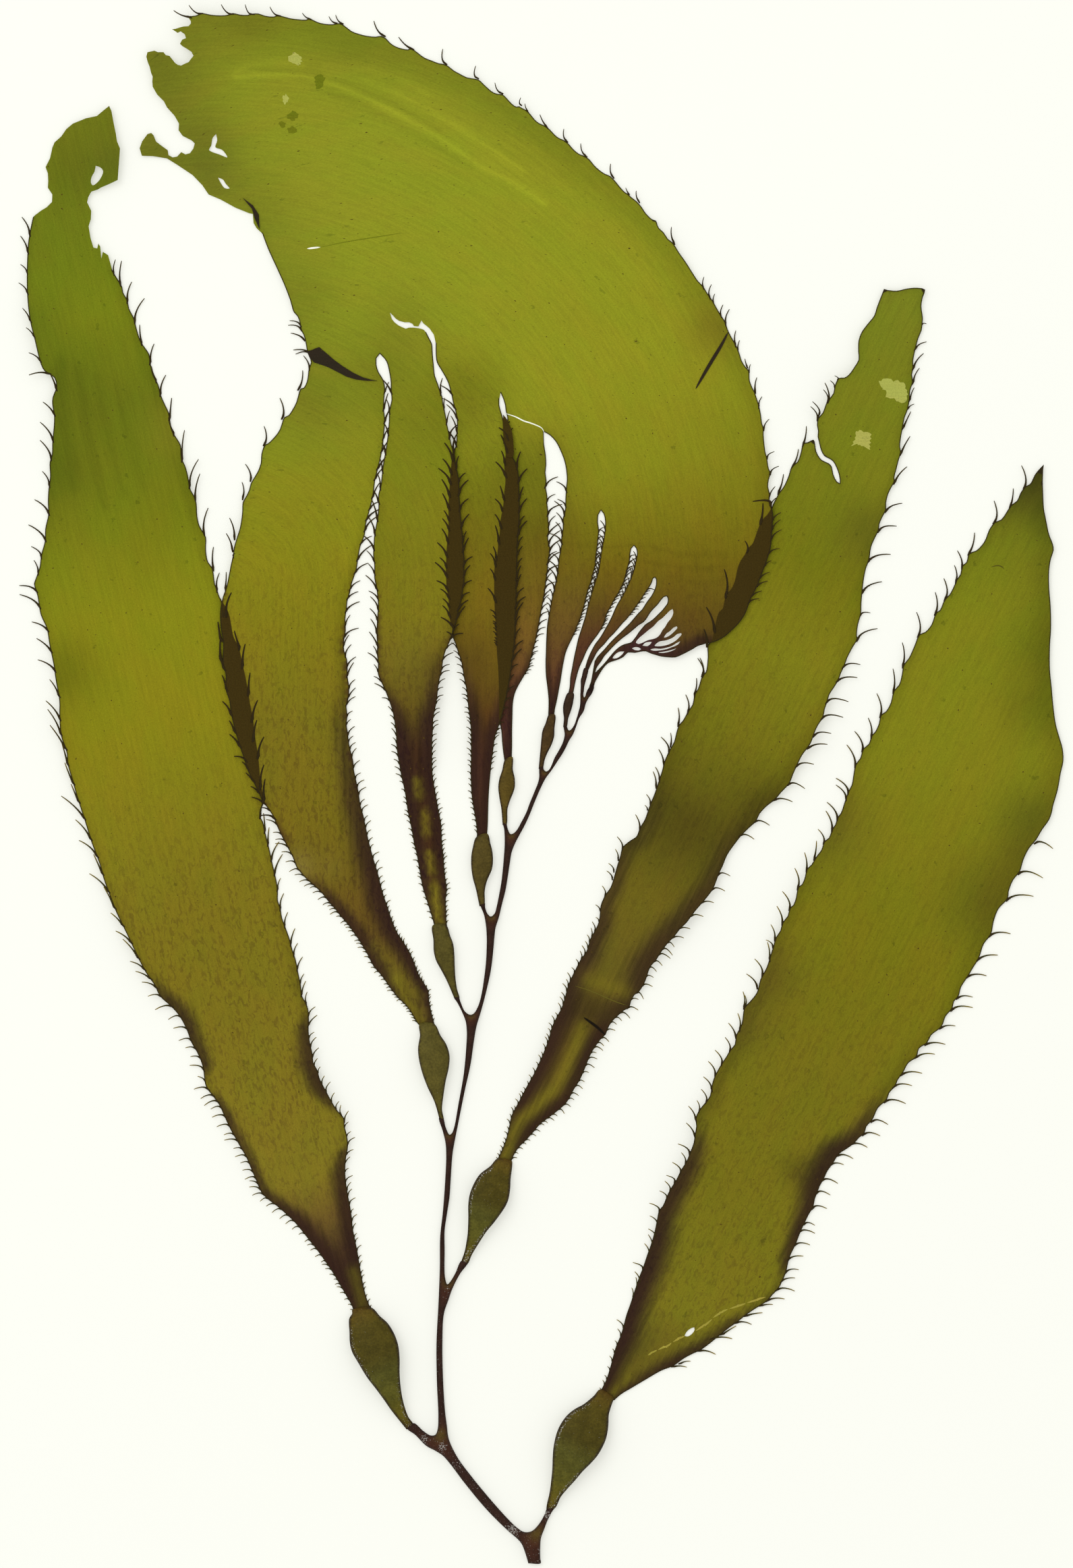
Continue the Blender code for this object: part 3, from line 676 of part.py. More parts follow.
def add_solid(name, flat, faces, bottom, top):
    """A closed solid between two heights over the same flat triangles."""
    count = len(flat)
    verts = np.vstack([np.column_stack([flat, top]), np.column_stack([flat, bottom])])
    triangles = [tuple(f) for f in faces.tolist()]
    triangles += [(c + count, b + count, a + count) for a, b, c in faces.tolist()]
    for a, b in rim_edges(faces):
        triangles += [(b, a, a + count), (b, a + count, b + count)]
    used = sorted({i for t in triangles for i in t})
    renumber = {old: new for new, old in enumerate(used)}
    mesh = bpy.data.meshes.new(name)
    mesh.from_pydata(
        [tuple(v) for v in (verts[used] * MM).tolist()],
        [],
        [tuple(renumber[i] for i in t) for t in triangles],
    )
    material = bpy.data.materials.new(name)
    material.use_nodes = True
    shader = material.node_tree.nodes["Principled BSDF"]
    shader.inputs["Base Color"].default_value = colour_of(name)
    shader.inputs["Roughness"].default_value = 0.6
    mesh.materials.append(material)
    bpy.context.scene.collection.objects.link(bpy.data.objects.new(name, mesh))


def add_blade(name, sheets):
    flat, faces, height = joined(sheets)
    add_solid(name, flat, faces, height, height + BLADE_THICKNESS)


def sheet(loops, height):
    flat, faces = triangulate(loops, inner_grid(loops, GRID_STEP, 0.42 * GRID_STEP))
    return flat, faces, height(flat[:, 0], flat[:, 1])


def swelling(flat, faces):
    """Half-width of the round section that fits the outline at each point.

    It solves for a skin under even pressure, which over a long strip is the square of a half circle.
    """
    count = len(flat)
    stiffness = np.zeros((count, count))
    load = np.zeros(count)
    for triangle in faces:
        p = flat[triangle]
        area = 0.5 * abs(np.cross(p[1] - p[0], p[2] - p[0]))
        load[triangle] += 2.0 * area / 3.0
        for k in range(3):
            i, j, o = triangle[k], triangle[(k + 1) % 3], triangle[(k + 2) % 3]
            u, v = flat[i] - flat[o], flat[j] - flat[o]
            weight = 0.5 * np.dot(u, v) / max(abs(np.cross(u, v)), 1e-9)
            stiffness[i, j] -= weight
            stiffness[j, i] -= weight
            stiffness[i, i] += weight
            stiffness[j, j] += weight
    free = np.ones(count, bool)
    free[[i for edge in rim_edges(faces) for i in edge]] = False
    result = np.zeros(count)
    result[free] = np.linalg.solve(stiffness[np.ix_(free, free)], load[free])
    return np.sqrt(np.maximum(result, 0.0))


def inset_points(loop, depth):
    """Points a fixed depth inside the outline, for the shoulders of a swollen section."""
    a = np.array(loop, float)
    before, after = np.roll(a, 1, axis=0), np.roll(a, -1, axis=0)
    forward = after - before
    forward /= np.linalg.norm(forward, axis=1)[:, None]
    inward = np.column_stack([forward[:, 1], -forward[:, 0]])
    points = a + depth * inward
    return points[inside(points, [loop]) & (edge_distance(points, [loop]) > 0.8 * depth)]


def thinned(points, gap):
    kept = []
    for p in points:
        if all(np.hypot(*(p - q)) > gap for q in kept):
            kept.append(p)
    return np.array(kept)


def add_swollen(name, loop, fullness, seat, lift, depths):
    """A swollen body: fullness is its depth over its width, seat its rim's height, lift its middle's rise."""
    grid = thinned(np.concatenate([inset_points(loop, d) for d in depths]), 0.55 * depths[0])
    flat, faces = triangulate([loop], grid)
    swell = fullness * swelling(flat, faces)
    start, end = np.array(loop[0]), flat[np.argmax(np.hypot(*(flat - np.array(loop[0])).T))]
    along = np.clip((flat - start) @ (end - start) / np.sum((end - start) ** 2), 0, 1)
    middle = seat + lift * np.sin(math.pi * along)
    bottom = np.maximum(middle - 0.2 - swell, 0.0)
    add_solid(name, flat, faces, bottom, middle + 0.2 + swell)


def float_shape(loop):
    """Seat, lift and the depths of the inner points for one float."""
    points = np.array(loop, float)
    width = 1.15 * edge_distance(inner_grid([loop], 0.8, 0.1), [loop]).max() * 2 if len(points) else 0
    lift = max(0.42 * width / 2 - 0.7, 0.0)
    return lift, [0.16 * width, 0.33 * width, 0.47 * width]


def build():
    add_swollen("stipe", STIPE[::-1], 0.8, 0.75, 0.0, [0.5, 0.95])
    for name, loop in FLOATS.items():
        lift, depths = float_shape(loop)
        add_swollen(name, loop, 0.42, 0.75, lift, depths)

    blade_1 = with_spines(BLADE_1_LEFT, "blade_1_left") + with_spines(BLADE_1_RIGHT, "blade_1_right")
    add_blade("blade_1", [sheet([blade_1, BLADE_1_HOLE], blade_1_height)])
    blade_2 = with_spines(BLADE_2_LEFT, "blade_2_left") + BLADE_2_END
    blade_2 += with_spines(BLADE_2_RIGHT, "blade_2_right")
    add_blade("blade_2", [sheet([blade_2, BLADE_2_HOLE], blade_2_height)])
    blade_3 = with_spines(BLADE_3_LEFT, "blade_3_left") + with_spines(BLADE_3_RIGHT, "blade_3_right")
    add_blade("blade_3", [sheet([blade_3], blade_3_height)])

    terminal = with_spines(STRIP_D_LEFT, "strip_d_left") + CROWN_TORN_END
    terminal += with_spines(CROWN_TOP, "crown_top") + LOWER_EDGE + SLIT_7_RIGHT + STRIP_J_RIGHT
    terminal += STRIP_J_LEFT + STRIP_I_RIGHT + STRIP_I_LEFT + STRIP_H_RIGHT + STRIP_H_LEFT
    terminal += STRIP_G_RIGHT + STRIP_G_LEFT + STRIP_F_SEAM[::-1] + SLIT_2_HEAD + STRIP_E_RIGHT
    terminal += STRIP_E_LEFT + STRIP_D_RIGHT
    strip_f = [STRIP_G_LEFT[-1]] + STRIP_F_RIGHT + STRIP_F_LEFT + [SLIT_2_HEAD[0]] + STRIP_F_SEAM
    main = sheet([terminal, SLIT_8] + TERMINAL_HOLES, terminal_height)
    add_blade("terminal_blade", [main, sheet([strip_f], strip_f_height)])


def centre_on_origin():
    """Moves everything so that the box's lower middle is at the origin."""
    corners = [o.matrix_world @ v.co for o in bpy.data.objects for v in o.data.vertices]
    low = [min(c[k] for c in corners) for k in range(3)]
    high = [max(c[k] for c in corners) for k in range(3)]
    shift = Vector((-(low[0] + high[0]) / 2, -(low[1] + high[1]) / 2, -low[2]))
    for item in bpy.data.objects:
        for vertex in item.data.vertices:
            vertex.co += shift


clear_scene()
build()
centre_on_origin()
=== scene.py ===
"""Looks of the giant kelp frond, laid flat on a pale surface.

Outlines, spines and marks are in millimetres on the pressed sheet, x to the right and y up, as read off
the photo. Each organ is rebuilt over its CAD node as a fine sheet or a swollen body whose vertices carry its
colours.
"""

import math

import bpy
import numpy as np
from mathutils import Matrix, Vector
from mathutils.geometry import delaunay_2d_cdt


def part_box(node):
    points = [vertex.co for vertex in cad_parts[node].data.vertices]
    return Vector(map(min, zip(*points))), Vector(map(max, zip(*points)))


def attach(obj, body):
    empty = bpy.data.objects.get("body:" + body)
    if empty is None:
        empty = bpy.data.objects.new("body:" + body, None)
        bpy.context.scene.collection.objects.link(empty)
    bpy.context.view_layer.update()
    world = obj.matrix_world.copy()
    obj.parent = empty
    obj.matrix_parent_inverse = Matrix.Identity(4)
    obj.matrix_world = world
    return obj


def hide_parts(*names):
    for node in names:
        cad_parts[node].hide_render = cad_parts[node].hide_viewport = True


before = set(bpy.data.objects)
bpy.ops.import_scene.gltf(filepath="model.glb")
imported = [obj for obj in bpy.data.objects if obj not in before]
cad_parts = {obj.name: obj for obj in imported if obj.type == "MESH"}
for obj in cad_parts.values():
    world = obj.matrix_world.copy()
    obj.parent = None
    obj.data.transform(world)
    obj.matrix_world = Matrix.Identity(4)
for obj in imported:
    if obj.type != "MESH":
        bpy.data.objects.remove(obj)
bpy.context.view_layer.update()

MM = 0.001
TINY = 1e-9

# Sheets, in millimetres: height of their middle, how far the upper of two is lifted, how high they wave
SHEET_MIDDLE = 0.32
SHEET_LIFT = 0.9
WAVE_HEIGHT = 2.2

# Half a sheet's thickness at its rim and inside, and how far in from the rim it has grown to that
RIM_HALF = 0.06
CORE_HALF = 0.25
RIM_REACH = 2.2
SHEET_TOP = SHEET_MIDDLE + CORE_HALF

# Spacing of the grid in a sheet and in its narrow strips, and how far the fine one stays clear of edges
SHEET_STEP = 1.5
FINE_STEP = 0.55
FINE_MARGIN = 0.22

# Patches on a sheet: how far their top stands proud, their depth, and their grid
INLAY_LIFT = 0.03
INLAY_DEPTH = 0.05
INLAY_STEP = 0.9
INLAY_MARGIN = 0.4

# Distance that stands for far from any edge
FAR = 9.0

# Spines: sides of the tube, its height over its width, and its half-width along it from 0 to 1
SPINE_SIDES = 6
SPINE_FLATNESS = 0.7
SPINE_AT = [0, 0.14, 0.3, 0.55, 0.9, 1]
SPINE_SHAPE = [1.2, 1.75, 1.35, 1.0, 0.8, 0.55]
SPINE_THINNEST = 0.1
SPINE_THICKER_BY_LENGTH = 0.018
# Spines drawn dark as painted shade are this much thicker
SHADED_SPINE_FACTOR = 1.3

# How golden the spines' tips are, and the stretch in y over which that fades
GOLD_SHARE = (0.55, 1.0)
GOLD_TIPS_FADE = (165, 250)

# Rows of spines by rule: clear length at a margin's ends, and how far ahead and behind its direction is
# read
ROW_CLEARANCE = 0.6
ROW_DIRECTION_REACH = 0.8

# Floats and stipe: height of their middle, rim thickness, roundness, and grid spacing for big and small ones
BODY_MIDDLE = 0.75
BODY_RIM_HALF = 0.03
BODY_LOWEST = 0.02
FLOAT_FULLNESS = 0.42
STIPE_FULLNESS = 0.8
BODY_STEP = 0.55
FINE_BODY_STEP = 0.35
BIG_FLOAT_WIDTH = 6
BIG_FLOAT_LENGTH = 12

# The floor, in metres: half its side, and how far it lies below the frond. It glows a little, as lit paper
# does
FLOOR_HALF = 4.0
FLOOR_GAP = 0.00005
FLOOR_COLOUR = (0.57, 0.575, 0.53, 1.0)
FLOOR_GLOW = (0.976, 0.981, 0.902, 1.0)
FLOOR_GLOW_STRENGTH = 0.42

# Light: an even white room and one soft lamp, in metres and watts
ROOM_STRENGTH = 0.86
LAMP_PLACE = (-1.2, 1.0, 1.9)
LAMP_SIZE = 1.6
LAMP_POWER = 14.0

# The whole photo spans this many millimetres, and the camera looks straight down on its centre
PHOTO_WIDTH = 286.4
PHOTO_HEIGHT = 418.3
LENS = 300.0
SENSOR = 36.0

# Stipe with its petioles, from the cut base up the right side and back down the left
STIPE = [
    (144.3, 1.3), (144.2, 2.7), (144.2, 5.5), (144.4, 8), (145.3, 10.5), (146.1, 12.6), (147.2, 14.8),
    (148.2, 16.5), (146.1, 16), (145.3, 14.2), (143.8, 11.7), (142.1, 10), (140.7, 9.6), (139.5, 9.8),
    (137.9, 10.9), (136.1, 12.6), (131.9, 17.2), (126, 24.3), (122.1, 29.6), (119.8, 34.5), (119.3, 38),
    (118.8, 42), (118.3, 50), (118.1, 60), (118.5, 67.8), (119.7, 71.5), (120.8, 74.6), (122.8, 78.5),
    (124.9, 81.6), (123.2, 82), (121.5, 78.6), (120.1, 76.3), (119.4, 75.7), (118.8, 77.6), (118.7, 85),
    (118.7, 90), (119.4, 95), (120, 99), (120.3, 103.4), (120.8, 110.4), (121.4, 114), (122.2, 118),
    (124.1, 127.5), (125.6, 134.3), (126.5, 140.5), (127.2, 144.5), (128.3, 148.2), (129.4, 152.2),
    (131, 159.3), (131.7, 165), (132, 168.5), (132.3, 170.8), (133.2, 173.7), (134, 177.1), (134.9, 180.6),
    (135.5, 184.1), (136.1, 188.1), (136.6, 191), (137.5, 193.3), (138.7, 195.6), (140, 198), (141.3, 200.8),
    (142.7, 204.3), (144.2, 207.8), (145.6, 210.6), (147.3, 212.9), (149, 215.5), (150, 217), (151, 218.8),
    (151.9, 220.7), (152.9, 222.3), (153.8, 224.5), (154.6, 226.7), (155.8, 228.6), (156.4, 230.7),
    (157.5, 232.8), (157.9, 233.8), (156.9, 234), (156.6, 233.2), (156.2, 232.6), (155.9, 232.2),
    (155.7, 232.9), (155.7, 233.6), (155, 233.6), (154.9, 232), (154.8, 230.1), (154.4, 228.4),
    (153.9, 226.7), (153.3, 225), (152.6, 223.9), (151.9, 223.4), (151.5, 223.9), (151.3, 224.6),
    (150.5, 224.6), (150.7, 222.3), (150.2, 220.2), (149.1, 218), (148, 216.1), (147.2, 214.1),
    (146.5, 212.9), (145.7, 212.5), (145.1, 213.1), (145, 213.9), (144.1, 213.9), (143.9, 210.8),
    (143.6, 209.5), (142.7, 207.2), (141.5, 204.3), (140.4, 201.4), (139.2, 199.1), (138.1, 197.1),
    (137.2, 196.1), (136.3, 195.8), (135.7, 196.7), (135.3, 198.3), (135.3, 199), (134.3, 199),
    (134.6, 196.8), (134.7, 193.3), (134.5, 189.9), (134.2, 186.4), (133.8, 182.9), (133.2, 179.5),
    (132.6, 176.6), (132, 174.6), (131, 173.8), (130.1, 174.6), (129.5, 176.3), (129.4, 177.5),
    (128.2, 177.3), (129.2, 174.2), (129.7, 171.4), (129.9, 168.5), (129.9, 166), (129.7, 161.6),
    (129.2, 157.3), (128.5, 153), (127.7, 150.1), (126.5, 148), (125.5, 147.6), (124.1, 148.5),
    (122.9, 151.1), (122.3, 152.7), (121.1, 152.5), (122.2, 150.6), (123.6, 147.7), (124.3, 145.8),
    (124.6, 143), (124.5, 139.9), (123.8, 132), (122.4, 124), (121.2, 117.5), (120.6, 116), (120, 115.6),
    (119, 117.5), (118.2, 120.2), (117.2, 120.2), (118.2, 116.5), (118.9, 113.5), (119.1, 110),
    (118.8, 103), (118.2, 95), (117.5, 88.5), (117.4, 80), (117, 70), (116.5, 60), (116.6, 50),
    (117, 40.5), (116.8, 37), (116.2, 35.6), (115, 35.4), (113, 36.6), (110.4, 38.7), (108.7, 37.3),
    (110.9, 35.5), (113.8, 32.6), (116.2, 31.3), (118.2, 30), (120, 28), (124, 22.7), (130.1, 15.4),
    (136.1, 9.5), (137.9, 8), (139.2, 6.5), (140, 4.6), (140.7, 2.4), (141, 1.3),
]

# Floats, each from its lower end up the left side and back down the right
FLOATS = {
    "float_1": [
        (146.3, 16.6), (146.4, 17.9), (146.7, 20.3), (147.1, 23.4), (147.4, 26.5), (147.5, 29.6),
        (147.7, 32.1), (148.2, 34.8), (148.9, 37), (150, 39.1), (151.5, 41), (153.4, 42.5), (155.8, 43.8),
        (158, 44.8), (159.7, 46.5), (163.3, 44.1), (162.9, 42.8), (162.5, 41), (162.4, 38.8),
        (162.2, 36.7), (161.7, 34.5), (160.8, 32.4), (159.5, 30.2), (157.7, 28.1), (155.5, 25.9),
        (153.4, 23.4), (151.5, 21.3), (149.7, 19.1), (148.5, 17.1),
    ],
    "float_2": [
        (108, 38.1), (106.3, 39.8), (104.5, 42.1), (102.5, 45), (100.3, 48), (98, 51), (95.7, 54.8),
        (94, 57.8), (93.4, 60.3), (93.3, 62.8), (93.8, 65.4), (94.6, 66.8), (94.6, 67.7), (99.8, 68.3),
        (101.4, 67.3), (103.5, 65.4), (105.2, 62.7), (106.3, 59.6), (106.7, 56), (106.7, 52.2),
        (106.9, 49.2), (107.3, 46.2), (108, 43.2), (109, 40.4), (109.8, 39.3),
    ],
    "float_3": [
        (123.5, 82.6), (124, 84.4), (124.5, 87), (124.8, 89), (125, 93.4), (125, 97), (125.4, 99.8),
        (126.5, 102.6), (128.1, 105.1), (130.9, 107.3), (132.3, 108.1), (136.1, 107.4), (136.2, 106.7),
        (136.3, 103.7), (136.2, 101.5), (135.8, 98.8), (135, 96.7), (132, 92.4), (130, 90), (128, 87),
        (126, 83.7), (125.2, 82.2),
    ],
    "float_4": [
        (117.1, 120.7), (116, 124.3), (114.1, 128.4), (112.7, 132.2), (111.8, 136), (111.6, 138.8),
        (112.1, 142.1), (112.3, 143.9), (116.2, 143.9), (117.6, 142.1), (119.1, 139.8), (120, 136.8),
        (119.8, 133.5), (119, 130), (118.4, 126.2), (118, 122.4), (118.1, 120.7),
    ],
    "float_5": [
        (121, 152.9), (119.3, 156.6), (117.9, 159.3), (116.4, 162.1), (115.8, 164.5), (115.7, 167.4),
        (115.9, 170.2), (119.4, 170.4), (120.2, 168.6), (121, 166.4), (121.3, 163.6), (121.4, 160.7),
        (121.6, 157.3), (122, 154.5), (122.2, 153.1),
    ],
    "float_6": [
        (128.1, 177.8), (127, 181.2), (126.2, 184.1), (125.8, 187), (125.8, 189.9), (126.2, 192.2),
        (127.1, 193.8), (130, 194.6), (130.9, 193.3), (131.4, 191.3), (131.6, 188.7), (131.3, 186.4),
        (130.6, 184.7), (129.9, 183), (129.4, 180.6), (129.3, 178),
    ],
    "float_7": [
        (134.3, 199.5), (133.8, 202.6), (133.3, 205.5), (133, 208.3), (133.3, 210.6), (134, 212.7),
        (134.7, 214.4), (136.6, 215.1), (136.9, 213), (137.4, 210.6), (137.4, 208.3), (136.9, 206.6),
        (136.2, 204.9), (135.5, 202.6), (135.3, 199.5),
    ],
    "float_8": [
        (144.1, 214.4), (144.2, 217.9), (144.5, 221.2), (144.8, 223.4), (145.6, 225.3), (146.2, 226.4),
        (147.8, 226.4), (148, 223.9), (147.9, 221.8), (147.2, 219.6), (146.1, 217.4), (145.4, 215.6),
        (145.1, 214.4),
    ],
    "float_9": [
        (150.5, 225.1), (150.5, 226.7), (150.3, 228.4), (150.3, 229.9), (150.6, 231.3), (151.4, 232.7),
        (152.9, 232.6), (153, 231.1), (152.7, 229.7), (152.3, 228.4), (151.7, 226.7), (151.4, 225.1),
    ],
    "float_10": [
        (155, 234.1), (155, 235.6), (155, 236.8), (155.3, 237.9), (155.9, 239.3), (156.9, 239),
        (156.7, 237.9), (156.4, 236.8), (156, 235.3), (155.7, 234.1),
    ],
}

# Blade 1, on the right: margins from base to tip and from tip to base
BLADE_1_LEFT = [
    (160.1, 47), (161.7, 50), (162.9, 53.7), (163.7, 56.7), (164.4, 59.1), (165.7, 62.2), (166.4, 64.6),
    (167.2, 67.6), (168.1, 70.1), (169.3, 73.8), (170.5, 77.4), (171.6, 80.2), (172.7, 83.5), (173.6, 86),
    (174.5, 89), (175.3, 92.7), (175.9, 95.5), (176.9, 96.7), (177.9, 99.1), (178.8, 101), (180.5, 103.7),
    (181.7, 106.2), (183.2, 108.6), (184.2, 111.1), (185.1, 113.5), (185.4, 115.7), (185.8, 117.9),
    (185.6, 120), (186.6, 122.2), (188.6, 124.7), (189.5, 126.1), (189.8, 128), (190.4, 130.4),
    (191.6, 132.9), (192.7, 134.8), (193.8, 136.4), (194.9, 138.3), (196.1, 139.7), (196.4, 142),
    (197.9, 145.1), (198.7, 149.6), (200, 151), (202, 153.6), (202.9, 157), (204.6, 160.3), (205.6, 163.5),
    (206.4, 166), (207, 168.2), (208.2, 170), (208.8, 172.2), (210.2, 174), (210.8, 176.2), (211.7, 176.9),
    (212.4, 178.9), (213, 181.7), (214, 182.4), (214.8, 184.4), (215.3, 186.5), (216.5, 187.6),
    (217.7, 189.6), (219.2, 191.6), (220, 193.9), (221.2, 194.8), (222.1, 197.2), (222.9, 198.3),
    (223.5, 200.2), (224.4, 201.4), (225.4, 204.3), (226.4, 207.2), (227.3, 208.9), (227.8, 211.8),
    (228.3, 214.3), (229.6, 216.1), (230.3, 218.5), (231.9, 219.9), (232.6, 222.1), (233.5, 223),
    (234.5, 225.1), (235.1, 227.6), (236.4, 228.5), (237.7, 230.8), (238.5, 234), (239.9, 235.6),
    (240.7, 238.5), (241.1, 240.9), (242.5, 242.7), (244.1, 246.2), (245.3, 249), (246.9, 249.7),
    (248.6, 251.7), (249.8, 254.9), (250.8, 255.5), (252.1, 258.4), (253.4, 259.7), (254.7, 262.2),
    (255.2, 263.5), (256.3, 265.1), (256.8, 267.4), (257.9, 268.3), (258.6, 270.7), (260.5, 271.4),
    (262.7, 273.8), (264, 277), (265.5, 279), (267.2, 279.7), (268.5, 281.5), (269.8, 283.5),
    (271.4, 284.7), (272.4, 286.9), (273.6, 288.5), (274.9, 289.2), (276.2, 291.7), (277.5, 293.3),
    (278.6, 294.4),
]
BLADE_1_RIGHT = [
    (278.4, 293), (278.3, 289.8), (278.4, 286.6), (278.6, 282.7), (279.2, 279.5), (280, 275.7),
    (281, 273.1), (281.2, 271.5), (280.5, 269.3), (280, 266.1), (280, 261.6), (280.4, 256.5),
    (280.5, 250.7), (280.2, 245.6), (280.2, 239.8), (280.7, 234.6), (281.1, 230.1), (281.8, 225),
    (282.9, 221.1), (283.6, 218.6), (283.8, 215.3), (283.1, 212.1), (282.3, 207.6), (281, 203.1),
    (280.8, 201.9), (280, 199.6), (278.1, 196.9), (276.5, 194.2), (274.6, 191.9), (273.1, 188.8),
    (272.2, 185.8), (270.4, 183.5), (269.2, 180.4), (269, 178.6), (266.5, 175.8), (265.2, 172.4),
    (264.5, 169), (262.6, 166.5), (261.2, 162.5), (259.7, 160.1), (258.5, 158), (256.5, 154.9),
    (255.8, 152.4), (254.6, 151.1), (254.2, 149.3), (252.4, 147.2), (251.3, 144.4), (248.5, 142.1),
    (247.4, 140), (245.3, 138.6), (244.6, 136.3), (242.4, 134.7), (241, 132.1), (239.6, 130.2),
    (239, 128.6), (237.3, 126.7), (236.7, 124.9), (234.4, 122.8), (232.8, 119.5), (231.2, 117.7),
    (230.7, 115.9), (229.3, 114.8), (228, 113.3), (226.1, 111.9), (223.9, 110.4), (222.3, 107.9),
    (220.8, 105.8), (219.8, 103.6), (218.8, 101.9), (218.2, 100.2), (217.5, 98.5), (217.1, 96.4),
    (215.8, 94.2), (214.8, 92.1), (213.8, 90), (212.3, 86.2), (211, 83.5), (210.4, 81.6), (209.8, 78.9),
    (208.8, 76.5), (207.6, 74.3), (206.1, 72.8), (204.9, 71.3), (203.1, 70.1), (201, 68.8), (198.5, 67),
    (196.7, 65.5), (194.9, 64.3), (191.8, 61.8), (188.8, 59.4), (186.6, 57.9), (185.2, 57.3), (182.7, 56),
    (179.7, 53.9), (176.6, 52.7), (172.4, 50.3), (168.7, 48.1), (165.7, 46.3), (163.9, 44.7),
]

# Blade 2, on the left, with its worn upper end
BLADE_2_LEFT = [
    (94.4, 68.2), (94, 69.8), (92.5, 72.5), (90.5, 76), (88.5, 79.3), (86.3, 82.5), (84.5, 85),
    (82.5, 87.5), (80.3, 90.3), (78.5, 92.4), (76.4, 94.4), (74, 96.5), (71.5, 98.4), (69.8, 100.2),
    (68.1, 104.1), (66.9, 106.9), (65.7, 109.7), (64.3, 112.1), (62.8, 114.8), (61.6, 116.9), (60, 120.3),
    (58.5, 123.6), (56.5, 126.3), (55, 128.4), (54.1, 133.8), (52.7, 137.4), (51, 140.4), (49.9, 143.5),
    (47.8, 147.4), (45.6, 149.9), (42.7, 152.6), (41.3, 155.5), (39.2, 158.5), (37.2, 162.2),
    (35.3, 166.2), (33.8, 169.4), (31.2, 174.7), (29.6, 178.7), (27.7, 183.9), (26.6, 187.9),
    (24.6, 193.2), (22.7, 199.2), (20.4, 206.3), (19.4, 209.9), (18, 214.9), (17.9, 217.2), (16.3, 222.2),
    (15.9, 227.8), (15.9, 231.2), (14.9, 237), (14.3, 241.2), (13.3, 245.9), (12.5, 250.6), (10.9, 254.3),
    (10, 259.4), (9.1, 262.5), (9.5, 263.8), (10.6, 267), (11, 270.2), (12, 274), (12.1, 277.2),
    (12.9, 281), (12.8, 284.5), (13, 288), (13.4, 291), (13.3, 295), (13.9, 297), (14, 300), (14.5, 307),
    (14, 310.5), (14.1, 312.2), (15.1, 315.2), (14.6, 317.4), (13.5, 318.2), (11.9, 319.3), (11, 321),
    (9.4, 327.3), (8, 333.2), (7.3, 340), (7.2, 345), (7.3, 349), (7.5, 353), (7.9, 355.9), (8.8, 360.3),
]
BLADE_2_END = [
    (9.4, 360.9), (11, 362.1), (12.5, 363), (13.9, 364.4), (14, 366.4), (12.8, 368.2), (12.9, 370),
    (12.8, 372), (12.2, 373.7), (13.4, 376.1), (14, 378.9), (14.6, 380.3), (16.4, 381.9), (17.7, 383.8),
    (19.5, 385.3), (23, 386.7), (25.9, 387.3), (27.8, 388.9), (29.2, 390), (29.8, 388.6), (30.4, 385.4),
    (31, 382.5), (31.3, 380.5), (32.1, 378.6), (31.8, 374.4), (31.5, 370.2), (29.4, 369.2), (27, 368.2),
    (26.2, 367.7), (24.4, 367.1), (23.6, 365.6), (23.3, 364.3), (24.4, 362), (24.3, 359.8), (23.7, 357.9),
    (24.2, 354.8), (25, 352.2), (26, 352), (26.3, 353.3), (26.8, 352.5), (27.1, 349.3), (27.5, 351.1),
    (28.9, 350.2),
]
BLADE_2_RIGHT = [
    (30, 346.2), (31.2, 344.2), (32.7, 341.7), (32.9, 340.3), (34.1, 338.1), (34.5, 336), (35.9, 333.2),
    (36.3, 331.4), (37.6, 327.3), (39.9, 323.7), (40.2, 321.6), (41, 318.2), (42.3, 315.7), (43, 312.9),
    (44.2, 310.1), (45.1, 308.2), (46, 303.5), (47.4, 301.1), (48.3, 299.5), (48.6, 296), (49.5, 294),
    (50.2, 291.5), (51, 287.5), (52, 285.8), (52.5, 284), (52.7, 280.6), (53.3, 278), (54.3, 276.3),
    (55, 275), (55, 271.5), (55.6, 268.3), (56.7, 266.9), (57.1, 264.8), (57.4, 262.5), (57.9, 261.3),
    (58.7, 258.9), (61, 255), (62.4, 248.4), (63.8, 245.6), (64.8, 241), (65.4, 238.5), (66.3, 233.8),
    (66.8, 230.5), (67.5, 226.9), (68.1, 222), (68.9, 216.9), (69.3, 213), (69.5, 210), (70.4, 204),
    (69.7, 202.5), (69.5, 200.5), (70.2, 199.1), (70.9, 196), (71.9, 192), (72.8, 187.8), (73.9, 182.9),
    (74.2, 180.5), (74.2, 178), (74.9, 176), (75.3, 173.5), (76.2, 171), (77.4, 167.6), (78.2, 164.5),
    (78.9, 162.5), (79.8, 158), (80.3, 155.7), (80.7, 152.5), (81.7, 150.8), (82.3, 149), (82.5, 146),
    (82.4, 143.4), (82.8, 140.1), (83.5, 137), (83.7, 134.8), (84.7, 133), (85.4, 130.6), (87.3, 126.9),
    (88.4, 124.8), (90.1, 122.1), (91.9, 120), (92, 118), (92.7, 115.1), (92.9, 112.4), (92.3, 108.8),
    (92.2, 105), (92.5, 102), (93, 99), (93.5, 96.4), (94, 92.9), (94.2, 90.5), (94.8, 87.6), (95.5, 84),
    (96, 81), (96.8, 76.4), (97.9, 71.9), (98.9, 69.6), (99.6, 68.9),
]
